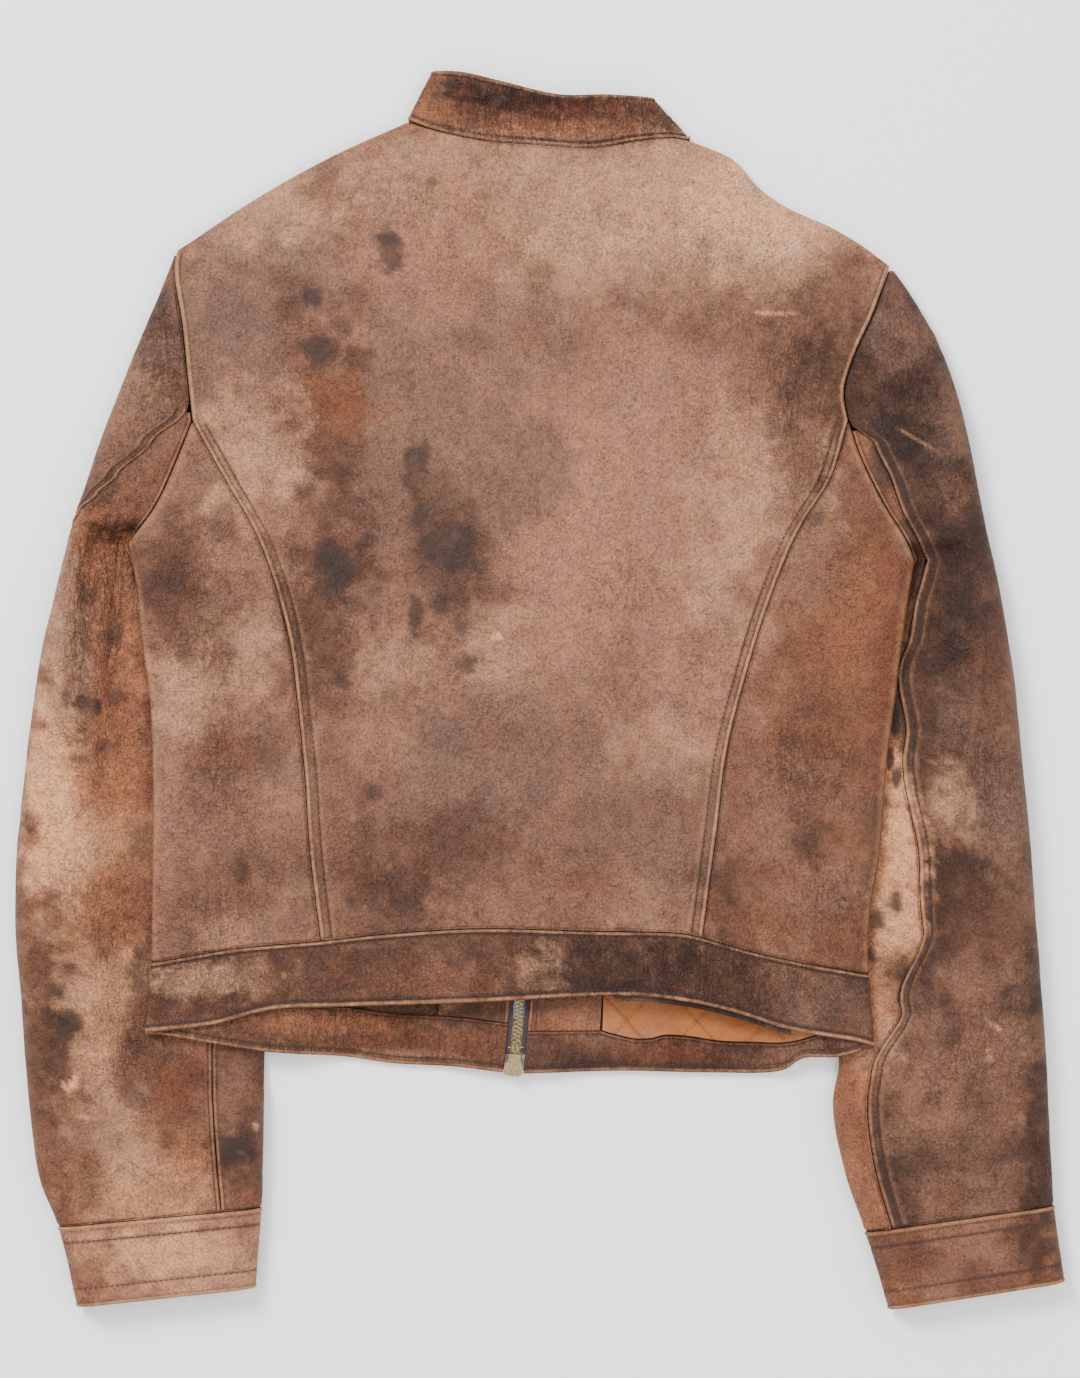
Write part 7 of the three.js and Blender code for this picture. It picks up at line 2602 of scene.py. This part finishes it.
@dataclass
class ZipTrim:
    """Single teeth, pins and staples of the two-way zip, and the finishes of its solids."""

    body: str = "jacket"
    tooth: tuple[float, float, float] = (3.0, 1.25, 1.5)
    pin: tuple[float, float] = (1.0, 1.4)

    @staticmethod
    def _bar(points: list[tuple], faces: list[tuple], centre: Array, half: Array, lean: float) -> None:
        """Adds a bevelled block with its corners cut.

        Args:
            points: Points that it adds to.
            faces: Faces that it adds to.
            centre: Its middle.
            half: Half its size each way.
            lean: Its turn about z.
        """
        turn = math.sin(lean), math.cos(lean)
        start = len(points)
        for z, shrink in ((-1, 0.78), (-0.6, 1.0), (0.6, 1.0), (1, 0.78)):
            for sx, sy in BAR_CORNERS:
                dx, dy = sx * half[0] * shrink, sy * half[1] * shrink
                points.append((
                    centre[0] + dx * turn[1] - dy * turn[0], centre[1] + dx * turn[0] + dy * turn[1],
                    centre[2] + z * half[2],
                ))
        for ring in range(3):
            for i in range(8):
                a, b = start + ring * 8 + i, start + ring * 8 + (i + 1) % 8
                faces.append((a, b, b + 8, a + 8))
        faces.append(tuple(start + i for i in reversed(range(8))))
        faces.append(tuple(start + 24 + i for i in range(8)))

    def _mesh(self, name: str, points: list, faces: list, material: Material) -> bpy.types.Object:
        """Makes the joined metal trim of one side.

        Args:
            name: Name of the piece.
            points: Its points.
            faces: Its faces.
            material: Its metal.

        Returns:
            The piece.
        """
        mesh = bpy.data.meshes.new(name)
        mesh.from_pydata((np.array(points) * METRES).tolist(), [], faces)
        piece = bpy.data.objects.new(name, mesh)
        bpy.context.scene.collection.objects.link(piece)
        mesh.materials.append(material)
        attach(piece, self.body)
        return piece

    def build(self, brass: Material, tape: Material) -> None:
        """Builds the teeth and pins and dresses the tapes, sliders and tabs.

        Args:
            brass: Finish of the metal.
            tape: Finish of the tapes.
        """
        for name, sign in SIGN.items():
            points, faces = [], []
            shift = 0.0 if sign < 0 else TOOTH_PITCH / 2
            for y in np.arange(TEETH_BOTTOM + shift, CHAIN_TOP - 1, TOOTH_PITCH):
                x = float(ZIP_LINE.x_at(y))
                slope = float(ZIP_LINE.x_at(y + 1) - ZIP_LINE.x_at(y - 1)) / 2
                half = np.array([self.tooth[0] / 2, self.tooth[1] / 2 * 0.92, self.tooth[2] / 2])
                centre = np.array([x + sign * (self.tooth[0] / 2 - 0.45), y, CHAIN_Z])
                self._bar(points, faces, centre, half, -math.atan(slope))
            low, high = PIN_SPAN
            pin_x = float(ZIP_LINE.x_at(low)) + sign * 1.2
            half = np.array([self.pin[0] / 2, (high - low) / 2, self.pin[1] / 2])
            self._bar(points, faces, np.array([pin_x, (low + high) / 2, CHAIN_Z]), half, 0.0)
            staple = np.array([float(ZIP_LINE.x_at(-214.5)) + sign * 3.4, -214.5, CHAIN_Z + 0.5])
            self._bar(points, faces, staple, np.array([1.4, 0.5, 0.45]), 0.0)
            piece = self._mesh(f"zip_teeth_single_{name}", points, faces, brass)
            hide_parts(f"zip_teeth_{name}")
            for slot in bpy.data.objects[f"zip_tape_{name}"].material_slots:
                slot.material = tape
            LOG.info("%s: %d faces", piece.name, len(faces))
        for label in ("slider_bottom", "slider_top", "pull_tab_bottom", "pull_tab_top"):
            for slot in bpy.data.objects[label].material_slots:
                slot.material = brass


@dataclass(frozen=True)
class Lamp:
    """A soft lamp over the jacket, in metres."""

    name: str
    place: tuple[float, float, float]
    size: float
    power: float

    def build(self) -> None:
        """Adds the lamp, aimed at the middle of the jacket."""
        light = bpy.data.lights.new(self.name, "AREA")
        light.shape = "SQUARE"
        light.size = self.size
        light.energy = self.power
        lamp = bpy.data.objects.new(self.name, light)
        bpy.context.scene.collection.objects.link(lamp)
        lamp.location = self.place
        direction = -np.array(self.place)
        lamp.rotation_euler = (
            math.acos(-direction[2] / np.linalg.norm(direction)), 0.0,
            math.atan2(direction[1], direction[0]) - math.pi / 2,
        )


@dataclass(frozen=True)
class Studio:
    """Overhead camera, soft daylight and a pale floor."""

    height: float = 3.0
    frame: float = 0.8268
    sensor: float = 36.0
    sky: float = 1.0
    floor: tuple[float, float] = (3.0, -0.0006)
    lamps: tuple[Lamp, ...] = (
        Lamp("key", (-1.5, 1.7, 2.2), 1.2, 140.0),
        Lamp("fill", (1.9, -0.4, 2.4), 2.6, 50.0),
        Lamp("foot", (-0.2, -2.2, 2.2), 2.4, 26.0),
    )

    def build(self, floor_material: Material) -> None:
        """Sets up the camera, lamps, sky and floor.

        Args:
            floor_material: Finish of the floor.
        """
        scene = bpy.context.scene
        lens = bpy.data.cameras.new("camera")
        lens.sensor_width = self.sensor
        lens.sensor_fit = "AUTO"
        lens.lens = self.sensor * self.height / self.frame
        camera = bpy.data.objects.new("camera", lens)
        scene.collection.objects.link(camera)
        camera.location = (0.0, 0.0, self.height)
        scene.camera = camera
        for lamp in self.lamps:
            lamp.build()
        world = bpy.data.worlds.new("sky")
        world.use_nodes = True
        world.node_tree.nodes["Background"].inputs["Color"].default_value = (1.0, 1.0, 1.0, 1.0)
        world.node_tree.nodes["Background"].inputs["Strength"].default_value = self.sky
        scene.world = world
        mesh = bpy.data.meshes.new("floor")
        half, low = self.floor
        corners = [(-half, -half, low), (half, -half, low), (half, half, low), (-half, half, low)]
        mesh.from_pydata(corners, [], [(0, 1, 2, 3)])
        floor = bpy.data.objects.new("floor", mesh)
        scene.collection.objects.link(floor)
        mesh.materials.append(floor_material)


def main() -> None:
    """Builds the jacket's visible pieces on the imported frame."""
    logging.basicConfig(level=logging.INFO, format="%(message)s")
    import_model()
    mottle, grain = mottle_group(), grain_group()
    finishes = {
        Cloth.LEATHER: HideFinish("leather", mottle, grain, 0.6, 1.0, 0.36, 0.22).build(),
        Cloth.FACING: HideFinish("facing_leather", mottle, grain, 0.6, 0.9, 0.32, 0.22).build(),
        Cloth.LINING: HideFinish("lining", mottle, grain, 0.8, 0.5, 0.1, 0.25, 0.2).build(),
    }
    brass = MetalFinish("zip_metal", (196, 176, 134), (138, 116, 84)).build()
    tape = TapeFinish("zip_tape", (60, 46, 50)).build()
    Studio().build(FloorFinish("floor", 0.97).build())
    sewing = Stitching("stitches")
    shells = ShellMaker("jacket")
    for maker in (Back, Fronts, Sleeves, Collar):
        maker(shells, finishes, sewing).build()
    stitches = sewing.build(ThreadFinish("thread", (72, 44, 36)).build(), "jacket", Cloth.LEATHER.value)
    LOG.info("%s: %d faces", stitches.name, len(stitches.data.polygons))
    ZipTrim().build(brass, tape)


if __name__ == "__main__":
    main()
